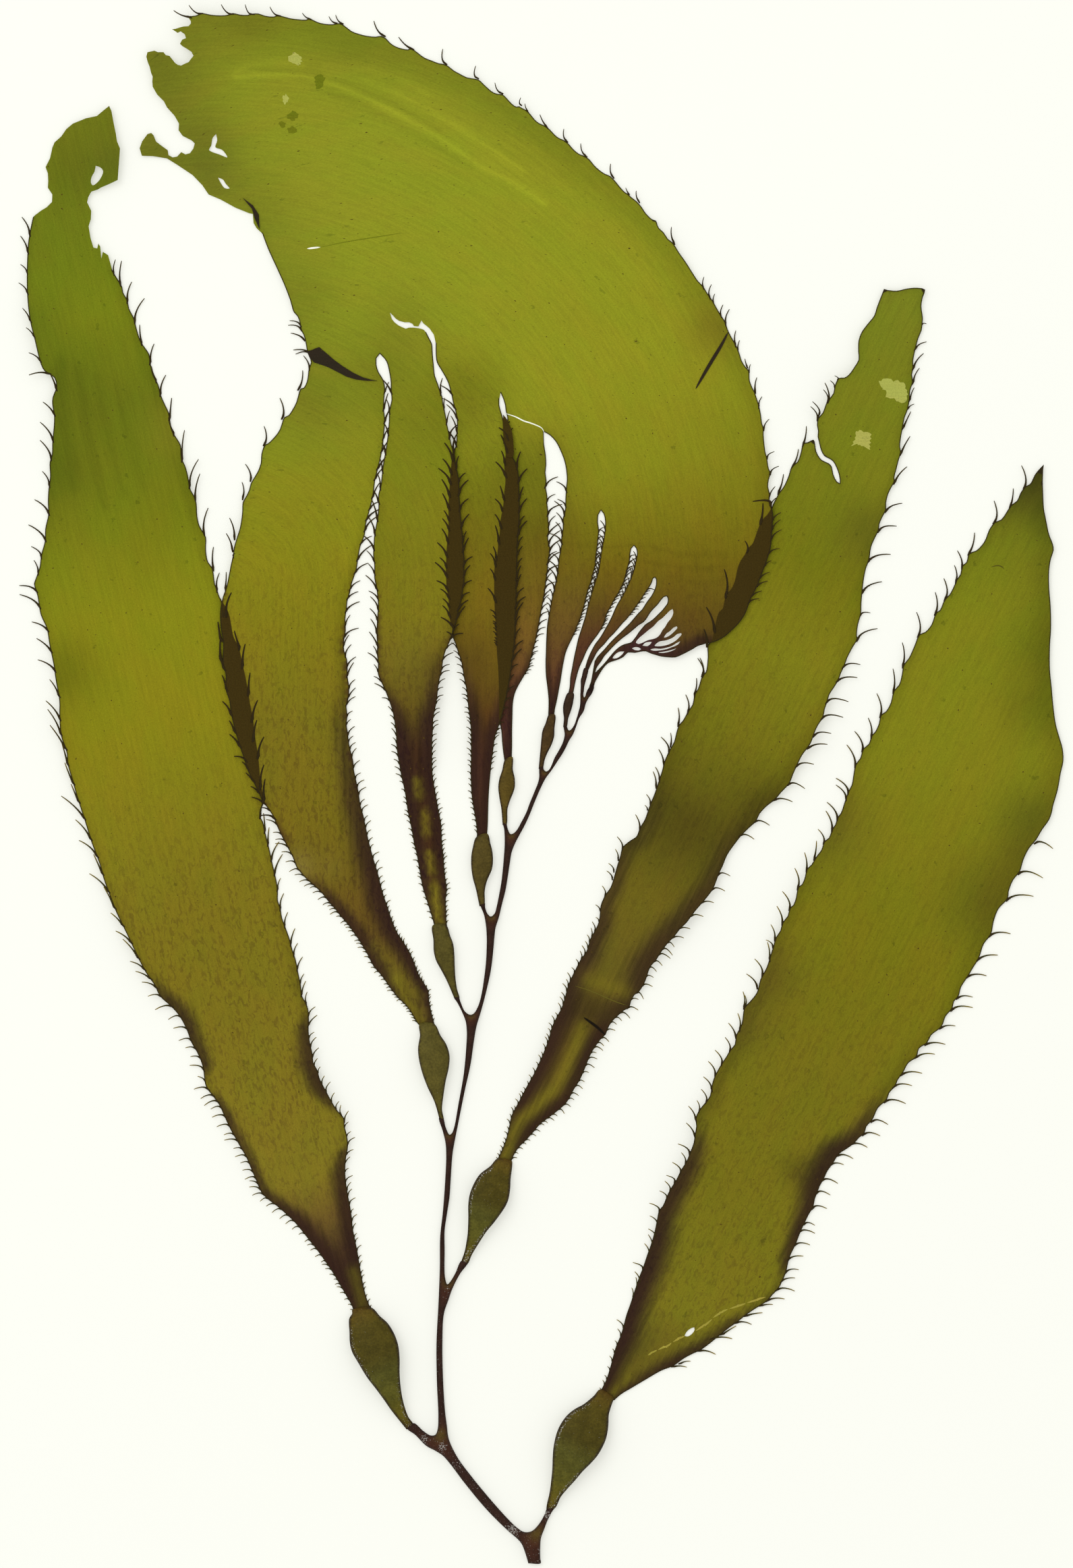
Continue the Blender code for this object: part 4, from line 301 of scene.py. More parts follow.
BLADE_2_HOLE = [
    (25.6, 374), (26.8, 373.6), (27.6, 372.6), (26.8, 370.5), (25.6, 369.2), (24.8, 368.8), (24.3, 369.6),
    (24.5, 371), (25.3, 372.5),
]

# Blade 3, in the middle, with its straight torn end and a crack in from its left margin
BLADE_3_LEFT = [
    (132.5, 108.5), (134.1, 111.9), (135.2, 114.9), (135.9, 117.9), (136.6, 120.9), (138.2, 123.9),
    (139.9, 127.2), (141.2, 129.6), (142.6, 132.1), (144, 135.1), (145.3, 138.1), (146.4, 141.1),
    (147.2, 144.1), (148.6, 147.1), (149.9, 149.5), (150.9, 152.8), (151.7, 155.7), (152.7, 157.9),
    (153.8, 160.1), (155.1, 162.6), (156.5, 164.5), (157.6, 168), (158.7, 169.9), (159.8, 172.4),
    (160.1, 174.6), (160.3, 176.7), (161.6, 179.7), (162.9, 181.5), (163.8, 184.1), (164.6, 187),
    (165.6, 190.2), (166.1, 192.2), (168.4, 194.2), (169.8, 195.1), (170.8, 197.5), (172.1, 199.7),
    (173, 202.3), (173.7, 204.2), (174.7, 206.6), (175.9, 210.3), (176.7, 212.7), (177.2, 214.8),
    (178.6, 218.1), (179.9, 220.4), (180.5, 222.8), (181.2, 224.9), (182.2, 226), (183.7, 228.7),
    (184.8, 230.3), (185.4, 233.2), (186.3, 234.6), (187.1, 237.2), (187.6, 238.3), (188.3, 238.9),
    (188.9, 243), (188.9, 246.4), (189.9, 247.3), (190.6, 250.2), (191.3, 253.4), (191.9, 255),
    (192.9, 256), (193.3, 257.9), (193.8, 259.7), (195.1, 261.1), (196.1, 263.3), (196.9, 266.9),
    (197.7, 268.8), (198.8, 270.4), (199.6, 272), (200.8, 273.2), (201.7, 275.5), (202.5, 277.7),
    (203.1, 279.3), (204.7, 280.9), (205.9, 282.8), (206.3, 283.8), (207.6, 286.3), (208.1, 287.1),
    (209.1, 288.4), (210.4, 291.2), (211.3, 293.9), (212.8, 295.1), (213.8, 297.9), (214.3, 300),
    (215.5, 300.3), (217.1, 301), (217.4, 300.6), (217.9, 297.8), (219.3, 295.6), (221.2, 294.7),
    (222, 293.8), (222.4, 291.8), (223.4, 289.8), (224.1, 289.4), (223.9, 291.6), (223.2, 293.6),
    (222.3, 295.2), (221.3, 295.9), (220, 296.6), (219.1, 298.2), (218.5, 300.6), (218.2, 301.8),
    (218.3, 303.3), (218, 304.9), (218.3, 306.7), (219.5, 308.1), (220.6, 311), (221.8, 312.5),
    (222.4, 313.4), (222.7, 315.2), (223.8, 317.4), (225.3, 317.5), (226.5, 318.3), (228, 320.4),
    (229.1, 322.3), (229, 324.4), (229.1, 327.4), (229.9, 329.6), (231.4, 331.7), (233.3, 334.1),
    (233.9, 336), (234.8, 338.4), (235.9, 341.2),
]
BLADE_3_RIGHT = [
    (236.9, 340.9), (239.3, 340.7), (242.1, 341.3), (244.8, 341.5), (246.9, 341), (246.3, 339),
    (245.9, 336.6), (246.3, 333.5), (246.2, 332), (246, 330.2), (245.1, 328), (244.4, 325.3),
    (244.1, 324.1), (243.7, 321.7), (243.8, 320.2), (243.4, 318.3), (243.7, 316.5), (242.9, 314),
    (242.8, 311.9), (242.3, 309.1), (241.4, 306.7), (241, 304.4), (240.5, 301.8), (240.2, 299.1),
    (240.5, 297.6), (239.9, 295.7), (239.3, 293.3), (238.7, 290.9), (238.8, 289.9), (238, 288.4),
    (237.1, 286.6), (236.5, 284.1), (236.5, 282.3), (235.6, 280.5), (234.7, 278.4), (234.6, 277),
    (233.5, 274.7), (232.5, 272.3), (232, 269), (231.1, 266.5), (230.5, 263.4), (230.2, 260.7),
    (229.9, 257.3), (229.8, 254.5), (229, 251.6), (228.7, 248.7), (228.9, 247.9), (227.6, 245.6),
    (226.1, 242.7), (225.4, 240.7), (224.4, 238.6), (223.8, 236.9), (222.4, 234.6), (221.3, 232.9),
    (220.9, 231.3), (220.1, 229.1), (219.7, 227), (218.3, 224.8), (217.5, 223.1), (216.3, 219.9),
    (214, 216.7), (212.8, 214.2), (211.7, 211.8), (210.7, 209.3), (208.5, 206.9), (206.9, 205),
    (204.5, 203.1), (202.7, 201.1), (201.8, 199.2), (199.9, 197.4), (198, 195.5), (196.1, 193.1),
    (194.1, 190.2), (192.9, 187.3), (191.9, 185.2), (191.2, 183.3), (190.3, 181.1), (188.9, 179.2),
    (187.6, 177.6), (186, 175.8), (184.6, 174), (183.1, 172), (181.7, 170.7), (179.9, 168.4),
    (178, 166.4), (176.4, 164.2), (175, 162), (173.6, 160.4), (172.8, 158.2), (172, 156), (170.6, 153.8),
    (169.3, 152.8), (168.4, 151.1), (168, 149.7), (166.5, 148.7), (164.9, 147.3), (163.3, 145.7),
    (162.2, 143.8), (161.7, 142.4), (160.3, 141), (158.9, 139.1), (157.6, 136.9), (156.5, 134.2),
    (155.6, 132), (154.6, 129.9), (153.2, 127.7), (151.9, 125.2), (151, 123.9), (148.9, 122),
    (146.4, 120.1), (144.2, 118.4), (142.3, 116.2), (140.4, 114.1), (138.5, 112.2), (137.1, 110),
    (136.3, 107.9),
]

# Terminal blade: strip D's outer margin, then the crown round to the growing point
STRIP_D_LEFT = [
    (112.2, 144.5), (111.4, 145.3), (110, 147.7), (108.3, 150.1), (106.3, 152), (104.4, 154.4),
    (102, 157.8), (99.6, 160.7), (97.9, 164), (96, 167.2), (94.6, 169.2), (93, 171.5), (90.8, 174),
    (89.3, 176), (87.9, 177.5), (86.1, 179.8), (84.4, 181.5), (82.1, 183.5), (79.2, 186.9), (78.2, 189.5),
    (77, 191.8), (75.6, 194.5), (74.4, 196.9), (73.6, 198.8), (72.8, 200.7), (71.4, 202.8), (70.2, 204.3),
    (69, 207), (67.3, 210.4), (66.2, 212.6), (65.2, 215.7), (63.7, 220.2), (62.8, 223.3), (61.7, 228),
    (61.2, 231.5), (60.2, 234.5), (60.3, 238), (59.5, 241.5), (59.6, 247), (59, 250.5), (58.8, 255),
    (59.5, 259), (60.4, 261.5), (61.1, 264.7), (61.5, 266.9), (62.2, 270.2), (62.5, 272.3), (63.3, 275),
    (64, 277.2), (64.5, 280), (64.7, 282.1), (64.8, 284.3), (65.6, 285.7), (66.5, 287.6), (66.9, 289.2),
    (67.6, 290.5), (68.8, 292.5), (69.6, 294.7), (69.8, 297.2), (70.7, 299.7), (71.5, 300), (72.6, 301),
    (74, 302.6), (74.8, 304), (75.4, 305.9), (75.9, 307), (77, 307.5), (78, 308.9), (79.1, 311),
    (79.7, 313.2), (80.2, 314.6), (81.1, 314.9), (81.9, 316.5), (82.2, 318.1), (82.4, 320), (83, 321.6),
    (82, 324.4), (81.7, 326.2), (81.4, 327.6), (81, 329), (80.3, 330.3), (80, 332.2), (79.4, 333.9),
    (78.4, 335), (77.5, 338), (76, 342), (74, 346.5), (71.5, 352), (70, 356),
]
CROWN_TORN_END = [
    (68.5, 357.4), (67.7, 358.8), (67.5, 361.2), (66.5, 361.4), (62.8, 362.9), (59, 365), (55.7, 366.4),
    (54, 368.9), (51.4, 371.6), (47.5, 374.2), (44.6, 376), (40.9, 376.6), (37.9, 376.7), (37.3, 378.7),
    (38, 380.6), (39.4, 382.5), (40.4, 382.8), (41, 382.2), (41.7, 380.5), (43, 379.5), (44.8, 378.2),
    (45, 376.9), (46.1, 376.3), (47.3, 376.5), (48.4, 377.7), (49.5, 377.1), (50.7, 377.4), (51.6, 378.6),
    (52, 380), (51.2, 380.8), (48.8, 382), (47.7, 383.5), (47.8, 385.3), (46.6, 387.4), (44.6, 389.6),
    (43.8, 391.2), (42, 393), (40.8, 395.1), (40.7, 396.6), (40.8, 397.8), (40.4, 398.7), (40, 400.4),
    (39.5, 401.6), (39.1, 403.1), (39.4, 404.3), (41.3, 404.7), (42.2, 404.3), (43.7, 404.3),
    (44.3, 403.5), (45.3, 403.3), (46.1, 402.3), (46.7, 401.5), (47.5, 400.9), (48.4, 400.7),
    (49.6, 401.3), (50.4, 401.6), (50.9, 402.3), (51.7, 403.3), (51.2, 404.3), (50.2, 405), (48.7, 405.9),
    (48.1, 406.5), (48.7, 407.6), (49.7, 408), (49.4, 409), (48.3, 409.8), (47.5, 409.4), (46, 410.4),
    (46.9, 410.5), (48.9, 411.1), (50.4, 411.2), (51, 411.9), (51, 412.5), (50.4, 413.5),
]
CROWN_TOP = [
    (50.4, 413.9), (52.2, 414), (53.4, 414.5), (53.9, 414.7), (56, 414.3), (57.8, 414.1), (60.1, 414.1),
    (61.4, 414.4), (62.2, 414.7), (64, 414.3), (66.1, 414.2), (67.1, 414.5), (69, 414.6), (70.8, 414),
    (73.1, 413.8), (73.9, 414.1), (75.5, 413.9), (77.3, 413.4), (79.6, 413.1), (81.7, 413), (82.4, 413.3),
    (83.5, 413), (84.7, 412.4), (86.7, 411.9), (88.8, 411.8), (90.6, 412.1), (92, 411.4), (93.8, 410),
    (95.6, 409.3), (98, 408.7), (100.3, 408.5), (101.7, 408.7), (103, 408.1), (104.2, 406.8),
    (105.6, 405.9), (107.4, 405.3), (108.9, 405.1), (109.7, 405.4), (111.3, 404.4), (112.3, 403.6),
    (113.5, 402.8), (115.3, 402.1), (117.1, 401.4), (118.5, 401.2), (119.6, 400.7), (121.1, 399.5),
    (122.9, 398.5), (124.7, 397.6), (126.6, 397.3), (127.8, 397), (129, 395.9), (130.5, 394.5),
    (131.7, 393.6), (132.9, 393.2), (134.1, 393.1), (135.4, 391.9), (136.6, 390.6), (137.8, 389.8),
    (138.6, 389.9), (139.6, 389.3), (140.3, 389), (141.5, 387.9), (142.7, 386.4), (143.9, 385.4),
    (145.3, 384.8), (146.6, 383.9), (147.9, 382.5), (149.1, 381.5), (150.5, 380.9), (151.8, 379.9),
    (153, 378.5), (154.6, 377.2), (155.7, 376.8), (157.3, 375.8), (158.5, 374.3), (160, 372.9),
    (161.5, 371.9), (162.9, 371.3), (164.2, 370), (165.4, 368.5), (166.7, 367.1), (167.5, 366.6),
    (168.6, 365.6), (170, 364.5), (171.3, 363), (172.2, 361.6), (173.1, 360.6), (174, 359.8),
    (175.1, 359.4), (175.5, 358.2), (175.9, 357.4), (177.1, 356.3), (178.3, 354.5), (179.5, 353.6),
    (181.3, 350.8), (183, 348.4), (185.1, 345.1), (186.3, 343.3), (187.7, 341.9), (188.7, 340.2),
    (190.2, 338.1), (191.2, 336.3), (192.3, 334.4), (193.6, 332.4), (194.2, 330.5), (195.1, 328.6),
    (196.2, 326.7), (196.9, 325.3), (197.5, 323.6), (198, 322), (199, 320.4), (199.9, 319.4),
    (200.1, 316.8), (200.8, 314.9), (201.4, 313.8), (202, 312), (202.6, 310.1), (203.1, 307.6),
    (203.4, 305.3), (203.8, 304.2), (203.8, 302.4), (204, 299.9), (204.3, 297.6), (204.7, 296.3),
    (204.9, 294.8), (205.2, 293.2), (205.7, 292.2), (205.2, 290.3), (205, 288.4), (205.5, 286.4),
    (205.4, 284.5), (205.9, 283.1), (206.3, 281.2), (206.2, 278.7), (206, 275.5), (205.7, 272.3),
    (205, 269.7), (204.1, 267.2), (203.1, 264.6), (202.2, 262), (201.2, 260.1), (200.2, 258.2),
    (199.6, 256.3), (198.6, 254), (197, 251.8), (195.1, 249.9), (193.2, 248.3), (191.3, 247.3),
    (189.4, 246.7), (188.4, 246.6),
]
LOWER_EDGE = [
    (187.5, 246.3), (186.2, 245.9), (184.9, 245.1), (183.4, 244.3), (181.8, 243.5), (180.3, 242.9),
    (178.6, 242.9), (176.6, 243.1), (175.1, 243.5), (173.5, 244), (172.4, 244.5), (170.9, 244.4),
    (169.4, 244.1), (167.6, 244.2), (166.5, 243.1), (165.2, 242.4), (163.7, 241.9), (162.4, 241.4),
    (161.1, 240.1), (159.6, 237.7), (158.8, 236.2), (158.2, 234.4), (157.2, 234.6), (157.7, 236.4),
    (158, 237.9), (158.4, 240.2),
]

# Strip margins beside each slit, from the slit's tip down to the strip's neck
SLIT_7_RIGHT = [
    (158.7, 241.9), (159.5, 243.2), (161.1, 244.9), (162.4, 246.4), (163.9, 248), (165.5, 249.5),
    (166.8, 250.8), (168.1, 252.1), (169.2, 253.4), (170.3, 254.7), (171.4, 255.8), (172.2, 257.1),
    (173.1, 258.4), (173.8, 259.3), (174.3, 260.2), (174.8, 261.3), (175.1, 262.6), (175.1, 263.7),
    (174.8, 264.2),
]
STRIP_J_RIGHT = [
    (174.3, 263.9), (173.9, 262.6), (173.1, 261.3), (172.2, 260), (171.1, 258.2), (170, 256.7),
    (168.7, 254.9), (167.4, 253.2), (166.3, 252.1), (165.2, 250.8), (163.9, 249.3), (162.6, 248),
    (161.3, 246.4), (160, 245.1), (159.2, 244), (158.4, 242.4), (157.7, 241), (157.1, 239.6),
]
STRIP_J_LEFT = [
    (156.1, 239.9), (156.5, 241.4), (157.2, 243.3), (158.1, 245.2), (158.9, 246.6), (159.9, 247.9),
    (160.8, 249.3), (161.6, 250.7), (162.5, 252.3), (163.3, 253.9), (164.1, 255.8), (164.9, 257.4),
    (166, 259.2), (166.8, 260.8), (167.6, 262.4), (168.5, 264.6), (169.3, 267), (169.6, 268.6),
    (170, 270.5), (169.8, 271.9), (169.2, 272.7),
]
STRIP_I_RIGHT = [
    (168.5, 271.9), (168.2, 270.3), (168.1, 268.6), (167.4, 266.2), (166.9, 263.9), (166, 261.7),
    (164.9, 259.6), (163.8, 257.9), (163, 256.3), (162.1, 254.7), (161.4, 252.5), (160.6, 250.6),
    (159.5, 248.9), (158.6, 247.7), (157.6, 246.3), (156.5, 244.4), (155.7, 242.5), (154.7, 240.3),
    (154.1, 238.4), (153.5, 235.9), (153.1, 233.8), (152.9, 233.1),
]
STRIP_I_LEFT = [
    (151.6, 233.2), (152, 234.8), (152.2, 237.6), (152.7, 240.3), (153.2, 243), (153.8, 245.7),
    (154.3, 247.9), (155, 250.1), (155.7, 252.3), (156.2, 253.9), (156.7, 256.1), (157.3, 258.2),
    (157.9, 260.4), (158.6, 262.6), (159.3, 264.8), (159.8, 267), (160.3, 270.3), (160.7, 272.7),
    (161.1, 274.6), (161.4, 276.8), (161.5, 279.2), (161.1, 281.2), (160.4, 282.1),
]
STRIP_H_RIGHT = [
    (159.7, 280.9), (159.6, 279), (159.9, 276.8), (159.7, 274.6), (159.5, 272.4), (159.2, 270.3),
    (159, 267.5), (158.4, 265.4), (157.9, 263.2), (157.1, 261), (156.5, 258.8), (156, 256.6),
    (155.4, 254.7), (154.8, 252.8), (154.1, 251.2), (153.5, 249.6), (152.7, 247.9), (151.9, 246.3),
    (151, 244.1), (150.5, 241.9), (150.1, 239.7), (149.7, 237), (149.2, 234.3), (148.7, 231.6),
    (148.1, 228.9), (147.9, 226.9),
]
STRIP_H_LEFT = [
    (146.3, 226.9), (146.4, 231.6), (146.1, 234.8), (145.7, 238.1), (145.6, 241.4), (145.7, 244.6),
    (145.8, 247.9), (146, 251.2), (146.4, 253.9), (146.8, 256.1), (147.2, 258.3), (147.8, 261),
    (148.4, 263.7), (148.8, 266.4), (149.1, 269.2), (149.5, 271.3), (149.8, 273.2), (149.8, 275.1),
    (150.2, 277.3), (150.2, 280), (150.8, 282.2), (150.9, 285.2), (151.1, 288.4), (151.3, 290.3),
    (151.1, 292.9), (150.6, 295.4), (149.6, 298), (148.3, 300.5), (146.7, 302.2), (145.1, 303.1),
]
STRIP_G_RIGHT = [
    (145.2, 299.9), (145.7, 296.7), (145.8, 294.1), (145.6, 292.2), (145.9, 289.9), (145.7, 288.4),
    (146.1, 286), (146.1, 283.9), (146.3, 282.2), (146.4, 279.5), (146.6, 277), (146.3, 274.6),
    (146.9, 271.8), (146.4, 268.6), (146.2, 265.9), (145.8, 263.1), (145.5, 260.4), (145, 257.7),
    (144.5, 255.2), (144, 252.2), (143.6, 250.1), (143, 247.3), (142.3, 244.6), (141.7, 242.4),
    (141.2, 240.5), (139.8, 237.8), (138.5, 235.6), (137.4, 233.2), (136.9, 230.5), (136.8, 227.2),
    (136.7, 223.4), (136.7, 219.6), (136.6, 215.6),
]
STRIP_G_LEFT = [
    (134.7, 214.9), (134.3, 217.6), (134, 220.5), (133.8, 223.4), (133.3, 226), (133.2, 228), (133.2, 232),
    (133.1, 236.6), (132.9, 240.6), (132.6, 244.7), (132.3, 251.6), (132, 256.6), (131.9, 260),
    (131.9, 263.7), (132, 266.9), (132.7, 270.2), (133, 273.5), (133.4, 276.2), (133.5, 278.9),
    (134.3, 283.3), (134.6, 287.1), (134.9, 289.8), (134.6, 294.7), (135.2, 298), (135.4, 302.3),
    (135.3, 304.5), (135.4, 307), (135, 308.5), (134.8, 310.2), (134.3, 311.9), (133.6, 313.5),
]
STRIP_F_RIGHT = [
    (133.3, 311.9), (133.3, 310.2), (133.7, 308.6), (134.2, 307), (134.5, 305.4), (134.7, 303.8),
    (134.9, 300.2), (136.6, 296.9), (138.1, 293.6), (138.5, 290.4), (138.6, 287.1), (138.7, 283.8),
    (138.7, 280.6), (138.5, 277.3), (138.2, 273.5), (138.1, 269.7), (138, 265.8), (137.9, 262),
    (137.9, 258.8), (137.7, 254.4), (137.6, 250), (137.2, 244.7), (136.6, 240.6), (136.1, 237.2),
    (135.5, 233.7), (134.7, 230.3), (134, 227.4), (133.3, 225.2), (132.9, 223.7), (132.2, 221.9),
    (131.9, 219.9), (131.6, 217.6), (131.2, 214.7), (130.9, 211.8), (130.6, 208.3), (130.4, 204.9),
    (130.3, 201.4), (130.2, 198), (130, 195.1),
]
STRIP_F_LEFT = [
    (127.1, 194.3), (127.3, 195.6), (127, 199.1), (126.5, 202), (125.9, 206), (125.7, 209.5),
    (125.6, 212.4), (125.7, 215.8), (125.7, 219.3), (125.7, 222.8), (125.5, 225.7), (125.1, 228.6),
    (124.8, 231.4), (124.5, 234.3), (124, 236.6), (123.5, 239.5), (123.1, 241.8), (122.3, 244.1),
    (121.6, 246.4), (120.8, 248.4), (120.7, 250.8), (120, 253.3), (119.8, 256), (119.7, 258.8),
    (119.2, 261.5), (119.1, 264.2), (119, 266.9), (119.1, 269.1), (119.2, 271.8), (119.5, 274.6),
    (119.7, 277.3), (119.7, 280), (119.7, 282.7), (119.8, 285.7), (120, 288.2), (120.2, 291.4),
    (120.5, 294.7), (121, 297.4), (121.8, 300.2), (121.8, 302.9), (122, 304.5), (121.9, 306.7),
    (121.6, 308.3), (121, 310.5), (120.5, 312.9), (120.2, 314), (119.7, 315.9), (118.8, 317.8),
    (117.7, 319.7), (116.6, 321.6), (116.3, 324.1), (116.3, 326.8),
]
SLIT_2_HEAD = [
    (115.8, 329), (114.7, 330.6), (113.8, 331.4), (113, 332), (112.5, 332.8), (112.1, 332), (111.7, 331.2),
    (110.5, 331.3), (110.1, 331.9), (109.2, 332.3), (108, 332.3), (106.5, 332.7), (105.6, 333.3),
    (104.9, 334.1), (104.1, 334.9), (104.6, 333.2), (105.3, 332.3), (106.5, 331.4), (108.3, 330.6),
    (109.2, 330.9), (110.4, 330.9), (111.9, 330.7), (113, 330.4),
]
# Where strip F's sheet is joined on to the rest, between the heads of slits 2 and 3
STRIP_F_SEAM = [(120.2, 325.6), (124.6, 321.9), (129.1, 317.8)]
STRIP_E_RIGHT = [
    (113.8, 329.6), (114.7, 327.8), (115.3, 326.6), (115.5, 324.1), (115.8, 320.8), (116.1, 318.1),
    (116.9, 315.9), (117.6, 313.7), (118.1, 312.4), (118.3, 310.5), (118.6, 309.4), (119.1, 306.9),
    (119.4, 305), (119.9, 302.7), (120.3, 300.8), (120.8, 298.8), (121.3, 297.4), (121.6, 294.7),
    (122.1, 292.5), (122.6, 289.3), (122.6, 286.5), (122.8, 283.3), (123, 280.5), (123.3, 277.8),
    (123.6, 274.5), (123.7, 271.8), (124, 269.1), (123.9, 266.3), (124, 263.6), (123.6, 260.9),
    (123.2, 258.2), (122.4, 255.4), (122.1, 253.3), (121.3, 250.8), (120.5, 248), (119.9, 246.7),
    (119, 244.7), (118.3, 242.1), (118, 239.5), (117.4, 237.2), (117, 234.9), (116.7, 232),
    (116.3, 229.7), (115.7, 226.8), (115.6, 223.9), (115.4, 220.5), (115.4, 217), (115.4, 213.5),
    (115.6, 210.6), (116.2, 207.2), (116.7, 204.3), (117.2, 201.4), (117.7, 199.1), (117.9, 196.2),
    (118, 193.3), (118.4, 189.9), (118.6, 187), (118.9, 184.1), (119.3, 181.2), (119, 178.3),
    (119.1, 175.4), (119.2, 172.6), (119.4, 170.9),
]
STRIP_E_LEFT = [
    (116, 170.7), (115.6, 172.6), (114.7, 175.5), (113.8, 178.4), (112.9, 181.2), (112.2, 184.7),
    (111.7, 187.6), (111.2, 190.5), (110.5, 193.3), (110, 196.2), (109.3, 199.7), (108.8, 202),
    (108.4, 204.9), (107.9, 207.8), (107.1, 211.3), (106.5, 214.7), (106.1, 217), (105.8, 219.9),
    (105.7, 222.8), (105.3, 225.7), (104.9, 228), (104, 230.9), (102.9, 233.8), (102, 235.8),
    (100.9, 238.4), (100.9, 241.3), (100.6, 244.1), (100.7, 246.4), (100.5, 248.8), (100.7, 253.8),
    (100.9, 256.5), (100.7, 259.3), (100.4, 261.7), (99.9, 264.1), (99.9, 267.5), (99.6, 270.2),
    (99.7, 272.4), (99.9, 275.6), (100.4, 278.3), (101, 282.7), (101, 286.5), (101.6, 288.7),
    (101.9, 291.5), (102.3, 294.8), (102.8, 297.5), (103.2, 300), (103.5, 302.4), (103.8, 306),
    (103.9, 308.9), (104.5, 311.6), (104.3, 314), (104.3, 316.2), (104, 318.4), (103.1, 321.9),
    (101.4, 323.9),
]
STRIP_D_RIGHT = [
    (100.5, 322.7), (100.5, 321), (101, 319.2), (102.3, 317), (102.8, 314.8), (102.6, 312.1),
    (102.5, 309.4), (102.8, 306), (102.5, 302.4), (102.2, 299.1), (101.7, 296.4), (100.9, 293.1),
    (100.1, 289.8), (99.8, 287.1), (99.3, 284.4), (98.5, 281.4), (97.7, 278.4), (97.4, 275.7),
    (96.2, 272.4), (95.6, 269.1), (95.2, 266.4), (93.9, 262.5), (93.5, 260.4), (92.7, 257.7), (92.6, 256),
    (92.2, 253.3), (92.3, 250), (91.8, 247), (91.9, 244.7), (92.6, 242.5), (92.8, 240.1), (92.8, 237.8),
    (93.2, 235.2), (93.1, 232.3), (92.5, 229.7), (92.8, 227.4), (92.5, 225.1), (92.9, 222.8),
    (93.1, 220.5), (93.6, 218.1), (94.3, 215.3), (94.5, 212.9), (95.1, 210.1), (95.8, 206.6),
    (96.2, 203.7), (97, 200.8), (97.6, 198), (98.3, 194.5), (99.2, 191), (100, 188.2), (100.9, 185.3),
    (101.6, 182.4), (102.4, 179.5), (103.5, 176.3), (104.3, 173.8), (105.2, 171.4), (106.1, 169.4),
    (107.8, 166.9), (109.5, 164), (110.9, 160.7), (111.8, 158.3), (113.3, 155.9), (114.3, 154.2),
    (114.6, 151.1), (115.2, 148.2), (115.8, 145.8), (116.2, 144.4),
]

# Gaps between the youngest threads, and the two holes in the torn end
TERMINAL_HOLES = [
    [(179.5, 255.8), (178.8, 255.4), (177.9, 254.5), (176.8, 253.4), (175.7, 252.6), (174.4, 251.2),
     (173.1, 250.2), (171.8, 249.1), (170.5, 248), (169.7, 246.9), (170.4, 246.5), (171.6, 246.9),
     (172.9, 247.5), (174.2, 247.8), (175.3, 248.2), (176.2, 249.1), (176.8, 250.2), (177.5, 251),
     (178.1, 252.1), (179, 253.2), (179.5, 254.1), (179.7, 255)],
    [(180.6, 251.2), (179.7, 250.8), (178.8, 249.9), (177.9, 249.3), (177.2, 248.2), (178.3, 248.5),
     (179.4, 249.3), (180.3, 250.2), (180.8, 250.8)],
    [(181.8, 249.4), (180.7, 249.1), (179.9, 248.4), (178.8, 247.8), (177.5, 247.4), (176.2, 247.2),
     (175.3, 246.7), (174.7, 246), (176.2, 245.9), (177.9, 246.2), (179.4, 246.8), (180.5, 247.5),
     (181.4, 248.4), (181.9, 249)],
    [(181.5, 247.2), (180.5, 246.7), (179.4, 246), (177.9, 245.5), (176.2, 245.2), (174.8, 245.3),
     (173.6, 245), (174.4, 244.7), (176.2, 244.8), (177.9, 245.1), (179.2, 245.6), (180.3, 246),
     (181.2, 246.6)],
    [(180.5, 245.3), (179.2, 244.9), (177.5, 244.5), (175.7, 244.2), (176.8, 244.1), (178.6, 244.4),
     (179.9, 244.9)],
    [(166.6, 244.5), (165.2, 244.4), (164.1, 243.6), (163.5, 242.7), (164.6, 242.7), (165.7, 243.4),
     (166.3, 244)],
    [(168.7, 245.3), (169.2, 245.6), (170.3, 245.6), (171.1, 245.1), (170.5, 244.8), (169.4, 244.9)],
    [(171.5, 246.1), (172.2, 246.8), (173.1, 247), (173.9, 247), (173.3, 246.2), (172.6, 245.9)],
    [(57.7, 382.5), (58, 380.8), (57.5, 379), (59.3, 378.3), (60.7, 376.3), (58.5, 377.1), (56.5, 377.8),
     (55.8, 378.3), (56.4, 379.4), (56.8, 381.5)],
    [(58.2, 370.9), (59.5, 370.4), (60.3, 369.2), (61.3, 368), (60, 368.1), (59, 369.4)],
]
SLIT_8 = [
    (158.9, 238.9), (159.3, 240.2), (160.5, 241.9), (161.3, 243.2), (162.2, 244.2), (163.3, 245.4),
    (164.6, 246.7), (166.1, 248), (167.6, 249.1), (169.2, 250.4), (170.5, 251.5), (171.8, 252.3),
    (172.7, 253.4), (173.5, 254.7), (174.4, 255.8), (175.5, 256.9), (176.4, 258.1), (177.2, 259),
    (177.9, 259.2), (178.2, 258.7), (178.1, 257.4), (177.5, 256.5), (176.6, 255.4), (175.7, 254.5),
    (174.8, 253.6), (174, 252.9), (173.1, 252.3), (172.2, 251.7), (171.4, 250.8), (170.5, 249.7),
    (169.8, 248.6), (169.2, 247.8), (168.5, 247), (167.6, 246.7), (166.5, 246.4), (165.4, 245.8),
    (164.1, 244.7), (162.8, 243.2), (161.5, 241.6), (160, 240),
]

